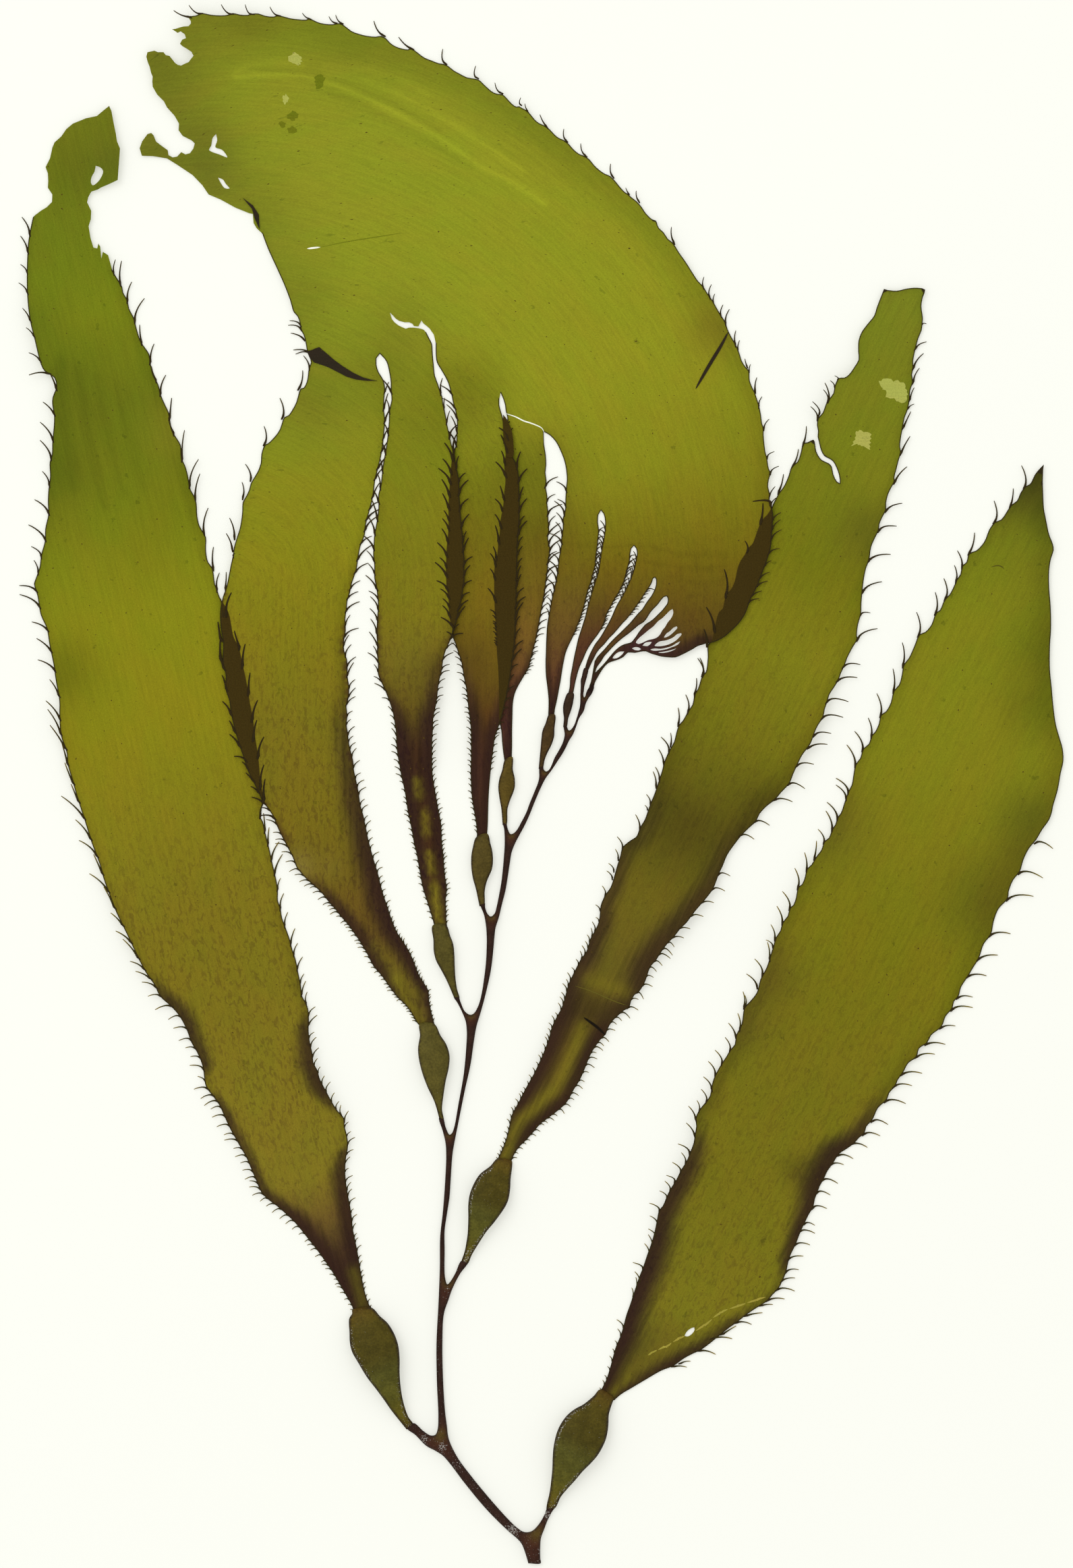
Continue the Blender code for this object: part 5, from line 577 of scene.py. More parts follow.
# Places where a sheet lies low, and where the one above is lifted clear of it
LOW_LEFT = ((59, 262), (71, 202))
LOW_RIGHT = ((206, 284), (189, 246))

# Waves of each sheet: spacing across and up, and phase. Each grows to its full height between two values of y
BLADE_1_WAVE = (13.0, 17.0, 0.4)
BLADE_2_WAVE = (12.0, 16.0, 1.3)
BLADE_3_WAVE = (12.0, 15.0, 2.1)
CROWN_WAVE = (15.0, 14.0, 0.9)
BLADE_1_WAVE_GROWS = (40, 95)
BLADE_1_WAVE_SLANT = 0.4
BLADE_2_WAVE_GROWS = (75, 125)
BLADE_3_WAVE_GROWS = (112, 150)
CROWN_WAVE_GROWS = (322, 348)

# Strip d is coloured as a strip up to this height on its left margin, where the torn fold begins
FOLD_BOTTOM = 324

# The stretch where strips lie over each other, in y
STRIP_STACK_TOP = 313.0
STRIP_STACK_BOTTOM = 206.0

# Windows round the narrow strips: lower left and upper right corners
FAN = ((131.0, 212.0), (182.0, 262.0))
STRIP_F_BASE = ((123.0, 193.0), (142.0, 236.0))

# Stretches, in y, where a margin runs under or over another sheet and bounds the dark doubled area, which is
# painted shade
UNDER_BLADE_2 = (196, 268)
UNDER_BLADE_3 = (240, 290)
UNDER_STRIP_F = (244, 302)
UNDER_STRIP_G = (220, 309)
OVER_STRIP_F_TOP = 303

# How far a float's ends reach over its neighbours in the drawing
BIG_NECK = 1.3
SMALL_NECK = 0.8

# Soft patches on the blades: x, y, reach, strength, colour
BLADE_1_SHADES = [(213, 106, 4.5, 0.4, (60, 44, 20)), (264, 178, 12, 0.65, (84, 80, 18)),
                  (275, 200, 9, 0.6, (82, 80, 20)), (272, 190, 8, 0.4, (84, 80, 18)),
                  (276, 230, 9, 0.5, (92, 92, 16)),
                  (279, 245, 10, 0.4, (70, 74, 10)),
                  (274, 288, 9, 0.4, (60, 58, 18)), (205, 158, 9, 0.6, (88, 76, 23)),
                  (199, 145, 7, 0.5, (86, 74, 25)), (222, 198, 11, 0.6, (98, 88, 24))]
BLADE_2_SHADES = [(14, 292, 9, 0.4, (70, 78, 14)), (17, 318, 9, 0.35, (74, 86, 16)),
                  (20, 372, 8, 0.3, (80, 88, 16)), (16, 239, 10, 0.75, (100, 103, 14)),
                  (46, 304, 8, 0.6, (124, 121, 29)), (9, 331, 8, 0.5, (88, 100, 20)),
                  (31, 374, 7, 0.5, (88, 90, 26))]
BLADE_3_SHADES = [(157, 149.5, 4.5, 0.7, (66, 52, 22)), (163, 148, 3, 0.5, (72, 58, 22)),
                  (182, 196, 9, 0.35, (60, 52, 14)), (203, 204, 7, 0.35, (64, 56, 14)),
                  (232, 276, 9, 0.6, (88, 87, 22))]
TERMINAL_SHADES = [(172.5, 247, 7, 1.0, (64, 38, 37)), (42, 402, 14, 0.7, (100, 98, 26)),
                   (80, 187, 4, 0.8, (134, 116, 50)), (88, 187, 4, 0.5, (124, 108, 36)),
                   (56, 379, 8, 0.5, (100, 103, 28)), (125, 242, 8, 0.5, (80, 60, 22)),
                   (42, 378, 16, 0.7, (98, 98, 28)), (66, 412, 9, 0.35, (92, 94, 22)),
                   (92, 406, 12, 0.25, (100, 104, 24)), (66, 358, 14, 0.5, (106, 109, 28)),
                   (56, 370, 8, 0.5, (100, 102, 30)), (80, 338, 12, 0.5, (110, 115, 28)),
                   (108, 331, 10, 0.5, (116, 120, 30)), (125, 313, 10, 0.7, (114, 114, 21)),
                   (148, 277, 9, 0.6, (96, 82, 18)), (191, 331, 8, 0.6, (112, 102, 25)),
                   (116.5, 239, 4.5, 0.6, (84, 68, 24)),
                   (83, 312, 14, 0.75, (113, 115, 27)), (102, 318, 12, 0.6, (111, 113, 25)),
                   (115, 306, 12, 0.75, (113, 116, 21)), (142, 292, 12, 0.75, (104, 100, 20)),
                   (124, 312, 10, 0.5, (117, 118, 23)), (195, 300, 10, 0.2, (110, 108, 18))]

# Pale streaks round the crown: their line, half-width and strength
CROWN_STREAKS = [
    ([(63.3, 397.5), (73.3, 398.3), (82.1, 397.8), (87.1, 396.4), (96.5, 392.6), (106.5, 387.6),
      (115.3, 382.8), (121.9, 378.4), (128.6, 374), (135.2, 370.4), (141.9, 366.6),
      (145.2, 363.8)], 0.75, 0.2),
    ([(87.1, 398.1), (96.5, 397), (104.2, 394.2), (112, 390.3), (119.7, 385.9), (126.4, 381.5), (133, 377.1),
      (139.6, 372.6)], 0.8, 0.13),
    ([(87.1, 400.5), (97.6, 399.7), (106.5, 397), (114.2, 393.1)], 0.8, 0.13),
    ([(62.2, 398.1), (66.6, 400.9), (73.3, 401.4), (81, 400.5)], 0.8, 0.12),
    ([(70, 399.8), (80, 399.2), (90, 396.8), (99, 393.3), (108, 388.8), (117, 383.6)], 0.9, -0.1),
    ([(88, 393.6), (98.5, 389.4), (108, 384.2), (117, 379), (126, 373.6)], 1.2, -0.08),
    ([(150, 273.6), (160, 272.4), (172, 272.6), (184, 270.2), (194, 270.6)], 0.5, -0.09),
    ([(166, 269.4), (176, 267.8), (186, 266.6), (194, 267.4)], 0.5, -0.09),
    ([(178, 264.4), (186, 263), (193, 263.6)], 0.45, -0.08),
]

# Dark wrinkles down the left of blade 2
BLADE_2_STREAKS = [
    ([(16, 322), (17.5, 304), (20, 288)], 1.6, -0.16), ([(21, 320), (24, 300), (28, 283)], 1.2, -0.15),
    ([(26, 318), (29.5, 300), (33, 286)], 1.0, -0.12), ([(31, 316), (35, 300), (38.5, 288)], 1.2, -0.1),
]

# Spines as root and tip: x, y, x, y
CROWN_SPINES = [
    (50.3, 413.7, 46.4, 415.4), (53.3, 414.5, 50.5, 416.8), (61.5, 414.4, 59.1, 417), (67, 414.4, 65.5, 417),
    (74, 414.1, 72.1, 416.4), (82.4, 413.3, 80.7, 414.8), (89.3, 412.2, 87.8, 413.9),
    (90.9, 412.2, 89.6, 414.3), (102, 409, 99.8, 412.7), (109.6, 405.4, 106.4, 408.4),
    (118.5, 401.6, 118.2, 405.2), (126.9, 397.7, 127, 400.7), (133.4, 393.6, 132.1, 396.2),
    (138.8, 390.4, 139, 392.2), (140.7, 388.8, 140.1, 390.6), (145.7, 384.7, 144.1, 387.7),
    (150.9, 381, 150.5, 383.9), (156, 377, 155, 380), (163.3, 371.5, 163, 374.6), (167.7, 366.7, 167, 368.2),
    (170.3, 364.9, 169.8, 367.4), (179.7, 353.9, 179.2, 357.7), (187.6, 341.8, 187.9, 344.4),
    (189.3, 339.3, 189.9, 342.4), (190.3, 338, 190.8, 339.9), (192.3, 334.4, 193, 337),
    (193.6, 332.3, 194.7, 335.8), (196.2, 326.6, 196.4, 330.1), (196.9, 325.3, 197.4, 327.5),
    (199.3, 320.7, 198.8, 322.6), (199.9, 319.4, 200.3, 321.1), (201.5, 314.3, 202, 317.6),
    (202.5, 310.1, 203.4, 312.5), (203.9, 304.2, 205.3, 306.5), (204.8, 296.5, 206.7, 297.8),
    (205.7, 292.4, 207.9, 293.9), (205.4, 286.2, 206.9, 288.5),
]
STRIP_D_SPINES = [
    (80, 331.9, 77.3, 332.7), (80.1, 330.8, 76.9, 331.5), (80.8, 328.1, 77.6, 329.4),
    (82.5, 324.3, 78.3, 324.9), (82.4, 324.2, 78.9, 323.8), (82.6, 320.4, 81, 323.4), (80, 315, 80.8, 319.5),
    (75.6, 307.3, 74.7, 312.1), (70.8, 300.2, 70.5, 304.6), (67, 290.8, 65.5, 294.5),
    (64.9, 285.9, 64.6, 289.7), (62.6, 275.2, 61.3, 280.1), (62, 272, 60.4, 276), (62.3, 270.2, 64.7, 271.3),
    (60.2, 261.5, 60.4, 265.7), (59.6, 254, 58.9, 258.6), (58.9, 248, 58.2, 252.4),
    (58.9, 242.7, 58.9, 248.3), (59.7, 240.2, 58.5, 243.4), (60.4, 234.7, 59.3, 238.2),
    (61.6, 228, 59.4, 231.2), (62.5, 223.5, 61.2, 226.1),
    (63.8, 219.6, 61.3, 222.4), (65.5, 215.7, 62.5, 216.5), (66.1, 213.4, 64.6, 215.1),
    (67.5, 210.2, 65.6, 212.2), (68.8, 207.2, 66.9, 208.5),
]
BLADE_2_RIGHT_SPINES = [
    (52.1, 285.6, 53.4, 291.9), (54.4, 276.3, 55.6, 282.8), (56.9, 266.9, 57, 272.4),
    (57.9, 261.2, 58.6, 265.5), (60.4, 254.6, 61.8, 260.2), (63.9, 245.8, 62.6, 250),
    (64.8, 240.9, 65.5, 246.5),
    (66.4, 233.6, 66.8, 238.8), (67.4, 226.6, 68.8, 231.5), (67.7, 221.4, 68.6, 226.2),
    (69, 216.8, 70.5, 221.7), (69.6, 208.7, 70.5, 214.3), (70.5, 205.2, 70.8, 210.5),
]
STRIP_G_LEFT_SPINES = [
    (134.4, 285.6, 133.5, 288.7), (133.9, 282.8, 132.1, 285.2), (133.6, 278.1, 132.1, 281.1),
    (133.1, 274, 132.2, 278.1), (132.4, 269.7, 131.6, 272.5), (132.2, 268, 130.8, 270.7),
    (132, 264.3, 130.8, 266.6), (132.1, 258.4, 130.2, 261.4),
]
BLADE_3_LEFT_SPINES = [
    (207.9, 287.3, 209.1, 291.8), (211.8, 294.3, 213.1, 298.5), (214.5, 300.1, 215.2, 304.6),
    (218.2, 306.9, 216.3, 309.8), (218.7, 308, 216.8, 311.1), (221, 311.6, 219.7, 314.3),
    (221.2, 311.6, 220.1, 316.1), (222.7, 315.2, 221.5, 316.7), (223.7, 317.2, 222.7, 318),
    (205.7, 284.2, 200.9, 284.5), (203.1, 279.3, 203.6, 284), (199.6, 271.6, 198.8, 274),
    (193.8, 259.7, 193.3, 266.4), (190.6, 250.5, 188.5, 256.3), (188.7, 246.6, 187.9, 250.4),
    (187.8, 238.4, 186.2, 242.7), (187.6, 238.6, 186.8, 242.8), (185.4, 233.3, 185.9, 237.4),
    (183.7, 228.7, 183, 233), (181.1, 225.4, 181, 229.5), (179.1, 219.9, 179, 222.8),
    (178.6, 218.1, 176.4, 221.7), (177.1, 215.1, 175.8, 218.4), (176, 210.6, 174.9, 213.7),
    (175.1, 208.9, 174.3, 212.5), (173.6, 204.2, 172.5, 206.4), (172.8, 202.5, 172.1, 203.5),
    (170.8, 197.6, 169.6, 201), (166.2, 192.3, 164.7, 195.1), (165, 189.5, 164.2, 191.8),
    (163.8, 186.3, 162.4, 188), (163.4, 184.3, 161.9, 186), (161.6, 179.8, 160.7, 182),
]
BLADE_3_RIGHT_SPINES = [
    (246.2, 331.9, 247.3, 331.9), (244.5, 325.5, 247.3, 327.1), (243.9, 320.4, 246.5, 324),
    (243.8, 316.6, 245.4, 320.1), (242.9, 311.9, 244, 314.9), (242.5, 309.5, 244, 310.5),
    (241.2, 304.5, 243.1, 308.5), (240.6, 297.7, 242.9, 301.9), (238.9, 289.9, 242.1, 293.8),
    (236.7, 282.3, 240.8, 284), (234.8, 277, 239.3, 277.9), (232.2, 269.1, 237.7, 270.4),
    (230.5, 260.8, 235.4, 263.1), (229.9, 254.6, 232.3, 254.8), (229, 248, 234.2, 250.6),
    (225.4, 240.7, 229.6, 241), (223.8, 236.9, 228.8, 237.5), (220.9, 231.3, 226.4, 231.1),
    (219.7, 227, 225, 226.9), (217.6, 222.4, 221.8, 222.6), (216.1, 219, 220.8, 219.7),
    (212.9, 214.2, 217.2, 214.4), (210.9, 209.3, 214.8, 207.9), (207, 205, 211.5, 204.4),
    (201.9, 199.3, 205.4, 198.1), (198, 195.6, 201.3, 194.4), (192.1, 185.3, 194.9, 184.6),
    (190.5, 181.3, 193.5, 180.6), (187.7, 177.7, 190.5, 177.5), (184.7, 174.1, 187.7, 173.8),
    (181.7, 170.8, 184.2, 170.5), (180, 168.4, 182.5, 168.1),
]
BLADE_1_LEFT_SPINES = [
    (166.4, 64.3, 164.6, 66.3), (169, 72.5, 168.6, 74.8), (170, 75, 169.7, 77.6), (170.8, 76.5, 169.4, 79.1),
    (171.6, 80, 168.9, 81.5), (173.3, 84.1, 172, 86.6), (174.2, 86.2, 173, 89), (175, 88.7, 173, 90.5),
    (175.4, 92.3, 173.4, 94), (176, 95.6, 173.3, 97.4), (178, 99, 176, 100.7), (178.9, 101, 177.4, 103.3),
    (180.1, 103.5, 177.8, 104.8), (181.7, 106, 179.4, 108.3), (183, 108.5, 181.8, 110.9),
    (184, 111.1, 180.9, 113.2), (185.3, 115.8, 183.1, 118.8), (185.6, 120, 183.7, 123.3),
    (186.7, 122.3, 186, 124.8), (188.6, 124.8, 187.1, 127.8), (189.9, 128, 187.7, 131.1),
    (190.9, 132.1, 189, 135.2), (192.7, 134.9, 190.8, 138.2), (194.9, 138.4, 193.5, 141.6),
    (196.3, 142.2, 194.4, 145.4), (197.5, 144, 196.9, 148), (198.6, 150, 198.3, 153.8),
    (199, 150.2, 198.8, 152.8), (202, 155.4, 199.2, 158.5), (203.5, 158.7, 201.4, 162.5),
    (205.4, 162.7, 204.8, 167), (206.2, 166.1, 204.4, 167.6), (206.8, 168.2, 205.7, 171.7),
    (208.8, 172.4, 207.3, 176.6), (210.8, 176.3, 208.8, 180.5), (213, 181.8, 212.1, 186.7),
    (215.3, 186.6, 214.7, 190.9), (217.4, 189.7, 217.9, 194), (220, 194, 218.3, 197.1),
    (222.1, 197.3, 220.4, 202), (223.5, 200.3, 220.7, 204.3), (225.8, 205.6, 223.1, 208.9),
    (226.4, 207.3, 223.1, 210.7), (228.3, 214.4, 226, 219.6), (230.3, 218.6, 228.1, 223.2),
    (232.6, 222.2, 231.7, 226.8), (235.1, 227.7, 234, 233.3), (238.5, 234.2, 238.3, 239.9),
    (241, 241, 240.8, 246.9), (245.3, 249.1, 244.6, 255), (249.8, 255, 249.6, 260.3),
    (252.4, 258.8, 251.9, 264), (255.2, 263.5, 254.7, 267.5), (256.8, 267.4, 255.5, 271.4),
    (258.8, 271, 260.1, 276.2), (265.6, 279.3, 265.3, 284.7), (269.8, 283.7, 270.4, 288),
    (273.6, 288.7, 272.6, 294.1),
]
BLADE_1_RIGHT_SPINES = [
    (180.1, 53.8, 183.3, 53.6), (181.9, 54.7, 184.3, 55.2), (187, 58, 191, 57), (190.3, 61.3, 195.4, 61.2),
    (193.1, 62.5, 196.5, 64.6), (196.8, 65.5, 200.6, 65), (199.5, 67.4, 203.5, 68.1),
    (203.5, 70.1, 206.3, 70.3), (205.3, 71.6, 209.4, 71.8), (207.7, 74.4, 212.1, 73.9),
    (208.9, 76.8, 212.2, 77.4), (210.1, 79.3, 213.2, 79.6), (210.7, 82.6, 214.4, 83.2),
    (212.6, 86.5, 216.2, 86.2), (213.8, 90, 217.5, 89.3), (215.1, 92.1, 217.5, 91.4),
    (217.3, 96.4, 220.7, 95.9), (218.4, 100.4, 221.6, 99.5), (219.9, 103.7, 223.6, 102.6),
    (222.3, 107.9, 225.2, 107.6), (224.1, 110.2, 227.7, 109.2), (228, 113.3, 231.5, 112.2),
    (230.9, 115.9, 234.9, 115.3), (233.2, 119.4, 237, 118.3), (236.7, 124.7, 241.7, 123.9),
    (239, 128.7, 243.4, 128.7), (241.1, 131.9, 246.1, 132), (244.9, 136.5, 249.5, 137.1),
    (247.6, 139.9, 252.3, 139.7), (251.5, 144.3, 255, 144.6), (254.4, 149.2, 259.6, 149.5),
    (256, 152.3, 259.6, 152.3), (258.7, 158, 263.3, 158), (261.4, 162.6, 266.3, 163.5),
    (264.6, 169, 269.7, 169.2), (269.2, 178.6, 275.8, 179.2), (272.4, 185.6, 278.3, 184.1),
    (276.8, 193.7, 281, 191.9),
]

# Rows of spines by rule, in height: y, gap, length, lean from square towards the blade's tip in degrees
SPINE_ROWS = {
    "blade_2_left": [(68, 1.4, 0.8, 30), (90, 1.8, 1.7, 26), (112, 2.4, 2.6, 24), (148, 3.0, 3.4, 28),
                     (158, 4.0, 4.8, 60), (172, 4.6, 5.8, 74), (200, 5.4, 6.4, 75), (228, 5.4, 6.0, 68),
                     (245, 5.8, 5.0, 48), (300, 6.0, 4.4, 42), (330, 6.0, 4.2, 55), (361, 6.0, 3.6, 55)],
    "blade_2_right": [(68, 1.6, 0.8, 40), (95, 2.0, 1.6, 40), (130, 2.6, 2.2, 42), (150, 2.9, 2.7, 50),
                      (170, 4.2, 3.4, 62), (190, 4.2, 4.4, 68), (203, 4.6, 5.4, 76)],
    "blade_2_right_top": [(288, 6.4, 6.0, 74), (325, 5.2, 5.6, 68), (346, 4.6, 4.8, 58)],
    "blade_3_left": [(109, 1.3, 0.8, 30), (140, 1.7, 1.4, 35), (178, 2.4, 2.0, 45)],
    "blade_3_right": [(108, 1.5, 0.9, 20), (140, 2.0, 2.0, 10), (167, 2.4, 2.4, 5)],
    "blade_1_left": [(47, 2.0, 0.7, 40), (63, 2.4, 1.6, 45)],
    "strip_d_left": [(145, 1.1, 0.8, 30), (175, 1.4, 1.6, 25), (195, 2.2, 2.6, 35), (206, 2.8, 3.0, 48)],
    "crown_right": [(255, 2.6, 2.0, 45), (284, 3.2, 3.0, 45)],
    "strip_d_right": [(146, 1.1, 0.6, 35), (172, 1.3, 0.9, 35), (186, 1.8, 1.6, 30), (205, 2.2, 2.0, 32),
                      (225, 2.6, 2.4, 48), (255, 3.2, 3.8, 55), (290, 4.0, 4.4, 64), (317, 4.6, 4.0, 66)],
    "strip_e_left": [(172, 1.6, 0.8, 35), (215, 1.8, 1.5, 45), (240, 3.0, 3.0, 55), (265, 3.6, 3.8, 55),
                     (290, 4.2, 4.2, 62), (316, 4.8, 3.8, 64)],
    "strip_e_right": [(172, 1.3, 0.8, 35), (220, 1.5, 1.4, 40), (245, 2.4, 2.4, 50), (262, 3.4, 3.2, 54),
                      (290, 3.6, 3.8, 56), (314, 4.2, 3.4, 62)],
    "strip_f_left": [(196, 1.3, 0.8, 35), (235, 1.7, 1.4, 40), (255, 3.0, 3.4, 50), (300, 3.8, 4.0, 56),
                     (315, 4.2, 3.4, 60)],
    "strip_f_right": [(212, 1.4, 0.9, 40), (232, 2.0, 1.6, 50), (240, 2.7, 2.6, 54), (255, 2.8, 3.2, 62),
                      (275, 2.6, 3.4, 62), (288, 3.6, 4.2, 56), (306, 3.6, 3.6, 60)],
    "strip_g_left": [(246, 0.9, 0.8, 45), (256, 1.3, 1.5, 50)],
    "strip_g_left_top": [(289, 3.4, 4.2, 56), (306, 3.2, 3.4, 58)],
    "strip_g_right": [(238, 0.9, 1.0, 45), (246, 1.2, 1.4, 45), (252, 1.7, 2.4, 46), (262, 2.0, 3.2, 48),
                      (275, 2.3, 3.6, 48), (284, 3.4, 3.6, 42), (290, 5.0, 3.2, 40)],
    "strip_h_left": [(253, 1.7, 1.7, 45), (262, 2.0, 3.0, 48), (275, 2.3, 3.4, 48), (284, 3.4, 3.6, 48),
                     (290, 5.0, 3.2, 50)],
    "strip_h_right": [(249, 0.9, 0.9, 45), (257, 1.2, 1.5, 45), (265, 1.4, 2.0, 42), (277.5, 1.6, 2.2, 30)],
    "strip_i_left": [(257, 1.2, 1.3, 45), (265, 1.4, 2.0, 45), (277.5, 1.6, 2.2, 45)],
    "strip_i_right": [(250.5, 0.9, 0.9, 45), (258, 1.1, 1.5, 45), (265, 1.3, 2.0, 45), (270.5, 1.5, 2.0, 35)],
    "strip_j_left": [(258.5, 1.2, 1.3, 45), (265, 1.4, 2.0, 45), (270, 1.5, 2.0, 45)],
    "strip_j_right": [(254, 0.9, 0.9, 45), (262, 1.1, 1.4, 40)],
}

# Folds, tears and spots. The folds, the crease and the top of the overlap are dark with painted shade
FOLD_WEDGE = [
    (81.8, 324.6), (83.2, 324.9), (84.1, 325.3), (85.2, 325.7), (87.1, 324.1), (89.3, 322.2), (91.5, 320.6),
    (94.2, 318.9), (96.9, 317.6), (99.1, 317), (100.8, 316.7), (97.9, 316.7), (95.2, 317), (92.5, 317.8),
    (89.8, 319.2), (87.6, 320.3), (85.4, 321.1), (83.8, 321.6), (83, 322.5), (82.6, 323.3),
]
TORN_FOLD = [(64.9, 365.4), (67.5, 363.5), (69.1, 361), (69.3, 357), (68, 360), (67.3, 362.5)]
RIGHT_FOLD = [(194.3, 329.6), (192.4, 326), (190.1, 322.2), (187.8, 318.3), (185.7, 314.6)]
HEAD_CRACK = [(134.9, 308), (137.6, 307.1), (139.8, 306), (142, 305.3), (144.7, 304), (145.2, 302.9)]
OVERLAP_TOP = [(134.3, 307.7), (135.3, 306.4), (136.6, 303.2), (137.1, 299), (136.9, 296.4), (135.3, 296.4),
               (134.8, 299), (134.3, 303)]
GROWING_POINT = [(156.5, 232), (157.4, 233.8), (158.4, 235.8)]
SHORT_TEAR = [(82, 351.9), (83.6, 352.1), (85.5, 352.3)]
TEAR_LINE = [(85.5, 352.3), (93, 353.8), (100, 354.9), (107, 356)]
BASE_CRACKS = [
    [(172.9, 56.8), (174.2, 57.6), (175.3, 58.1)], [(175.7, 58.2), (177, 58.9), (178.1, 59.2), (179.2, 60.1)],
    [(179.6, 60.3), (180.8, 61), (182, 61.6), (182.8, 61.9)],
    [(185.7, 63.3), (187.2, 64.3), (188.9, 65.4), (190, 66.4)],
    [(190.3, 66.8), (192.3, 68.1), (194.2, 69.1)], [(194.7, 69.2), (196.9, 69.9), (199, 70.6)],
    [(199.4, 70.8), (201.2, 71.3), (202.8, 71.9), (204.3, 72.3)],
]
HOLE_NEAR_BASE = [(182.7, 61.9), (183.1, 62.8), (184, 63.7), (185.3, 64.2), (185.4, 63.5), (184.6, 62.4),
                  (183.6, 61.8)]
BLADE_3_LINE = [(153.4, 155.3), (157, 154.2), (159.7, 153.1), (162.4, 151.9), (165.1, 150.8), (167.4, 150.1)]
BLADE_3_FOLD = [(155.8, 146.9), (157.5, 145.7), (159.5, 144.2), (161.6, 142.2)]
BLADE_1_CREASE = [(264.5, 267), (266, 267.4), (267.2, 267.2), (268, 266.5)]
PALE_PATCHES = [
    [(234.7, 316.5), (235.9, 317.1), (238.4, 316.8), (240.2, 316.8), (241.7, 314.7), (242.2, 313.1),
     (241.4, 311.3), (240.5, 311), (238.7, 311.7), (236.5, 312.5), (236.1, 314.1), (235, 315)],
    [(227.4, 299.4), (228, 301), (228.6, 303), (230.4, 303.1), (232.3, 302.2), (232.1, 299.7),
     (232, 298.5), (230.4, 299.1), (228.6, 299.7)],
]
CROWN_PALE_SPOTS = [
    [(77, 403.2), (78.3, 404.1), (79.6, 403.6), (80.6, 402.3), (80, 400.9), (78.6, 401.2), (77.3, 401.6)],
    [(75.4, 392.3), (76.3, 393), (77, 392.4), (76.8, 391), (75.9, 390.4), (75.6, 391.3)],
]
CROWN_DARK_SPOTS = [
    [(84, 397.4), (85.2, 398.6), (86.6, 397.8), (86.1, 395.6), (84.6, 394.4), (84.2, 396)],
    [(76.6, 387.6), (78.4, 388.5), (79.8, 387.5), (78.6, 386.3), (77, 386.4)],
    [(74.4, 385.2), (75.6, 385.9), (76.3, 384.9), (75.1, 384.2)],
    [(76.6, 383.8), (78.2, 384.4), (79.5, 383.4), (78.4, 382.5), (77.2, 382.8)],
]

# Colours as seen, 0 to 255
DARK_MARGIN = (51, 32, 25)
DARK_RIM = (46, 38, 18)
# Painted shade where one sheet lies over another
DOUBLED_SHADE = (60, 47, 13)
SPINE_ROOT = (48, 38, 20)
SPINE_MIDDLE = (66, 62, 24)
SPINE_TIP = (140, 118, 36)
# Painted shade in folds
FOLD_SHADE = (46, 38, 28)
PAPER = (244, 245, 232)
PALE_SPOT = (172, 172, 84)
CRACK = (158, 146, 60)
DARK_SPOT = (108, 114, 20)
SPECK = (78, 62, 20)
FAINT_LINE = (100, 90, 32)
# Painted shade in a deep fold, and in a crease
DEEP_FOLD_SHADE = (26, 20, 14)
CREASE_SHADE = (84, 78, 24)
FLOAT_SKINS = [(68, 64, 22), (68, 62, 22), (78, 73, 24), (86, 78, 32), (82, 74, 30), (80, 68, 28),
               (88, 72, 26), (72, 54, 26), (56, 40, 26), (54, 36, 26)]
# Painted shade round the floats' rims and along the stipe's sides, also the dark growing point
FLOAT_RIM = (36, 23, 17)
FLOAT_SALT = {"float_1": 1.0, "float_2": 0.8, "float_3": 1.0}
STIPE_MIDDLE = (52, 34, 27)
STIPE_FORK = (70, 40, 27)
STIPE_CROTCH = (88, 72, 28)
SALT = (168, 164, 156)
GOLD = (122, 110, 28)

# Colour along each blade: distance from its base in millimetres, then the colour of its middle
BLADE_1_RAMP = [(0, (60, 42, 22)), (12, (90, 78, 27)), (28, (122, 114, 27)), (60, (119, 111, 24)),
                (100, (118, 110, 23)), (140, (121, 115, 20)), (190, (129, 126, 24)), (232, (126, 127, 24)),
                (255, (113, 116, 23)), (275, (78, 76, 21))]
BLADE_2_RAMP = [(0, (62, 42, 30)), (18, (80, 60, 33)), (27, (108, 88, 36)), (38, (128, 114, 32)),
                (60, (126, 113, 29)), (85, (124, 111, 27)),
                (120, (126, 114, 26)), (165, (136, 129, 22)), (195, (134, 132, 22)), (225, (114, 119, 20)),
                (250, (104, 111, 20)), (275, (117, 125, 21)), (300, (108, 118, 22)), (325, (108, 112, 23))]
BLADE_3_RAMP = [(0, (76, 60, 30)), (14, (92, 74, 28)), (28, (100, 84, 28)), (45, (82, 64, 25)),
                (60, (104, 92, 28)), (80, (108, 96, 24)), (105, (90, 82, 19)), (130, (116, 110, 21)),
                (155, (127, 122, 24)), (180, (116, 115, 19)), (215, (121, 124, 26)), (262, (119, 125, 31))]

# Colour of the crown by the angle round the curve of its growth, in degrees
CROWN_CENTRE = (60.0, 262.0)
CROWN_RAMP = [(-12, (84, 58, 28)), (-4, (98, 76, 22)), (3, (114, 98, 18)), (8, (124, 114, 21)),
              (16, (136, 134, 27)), (30, (143, 143, 31)), (60, (141, 146, 34)), (90, (137, 141, 34)),
              (104, (128, 131, 32)), (120, (118, 123, 30))]

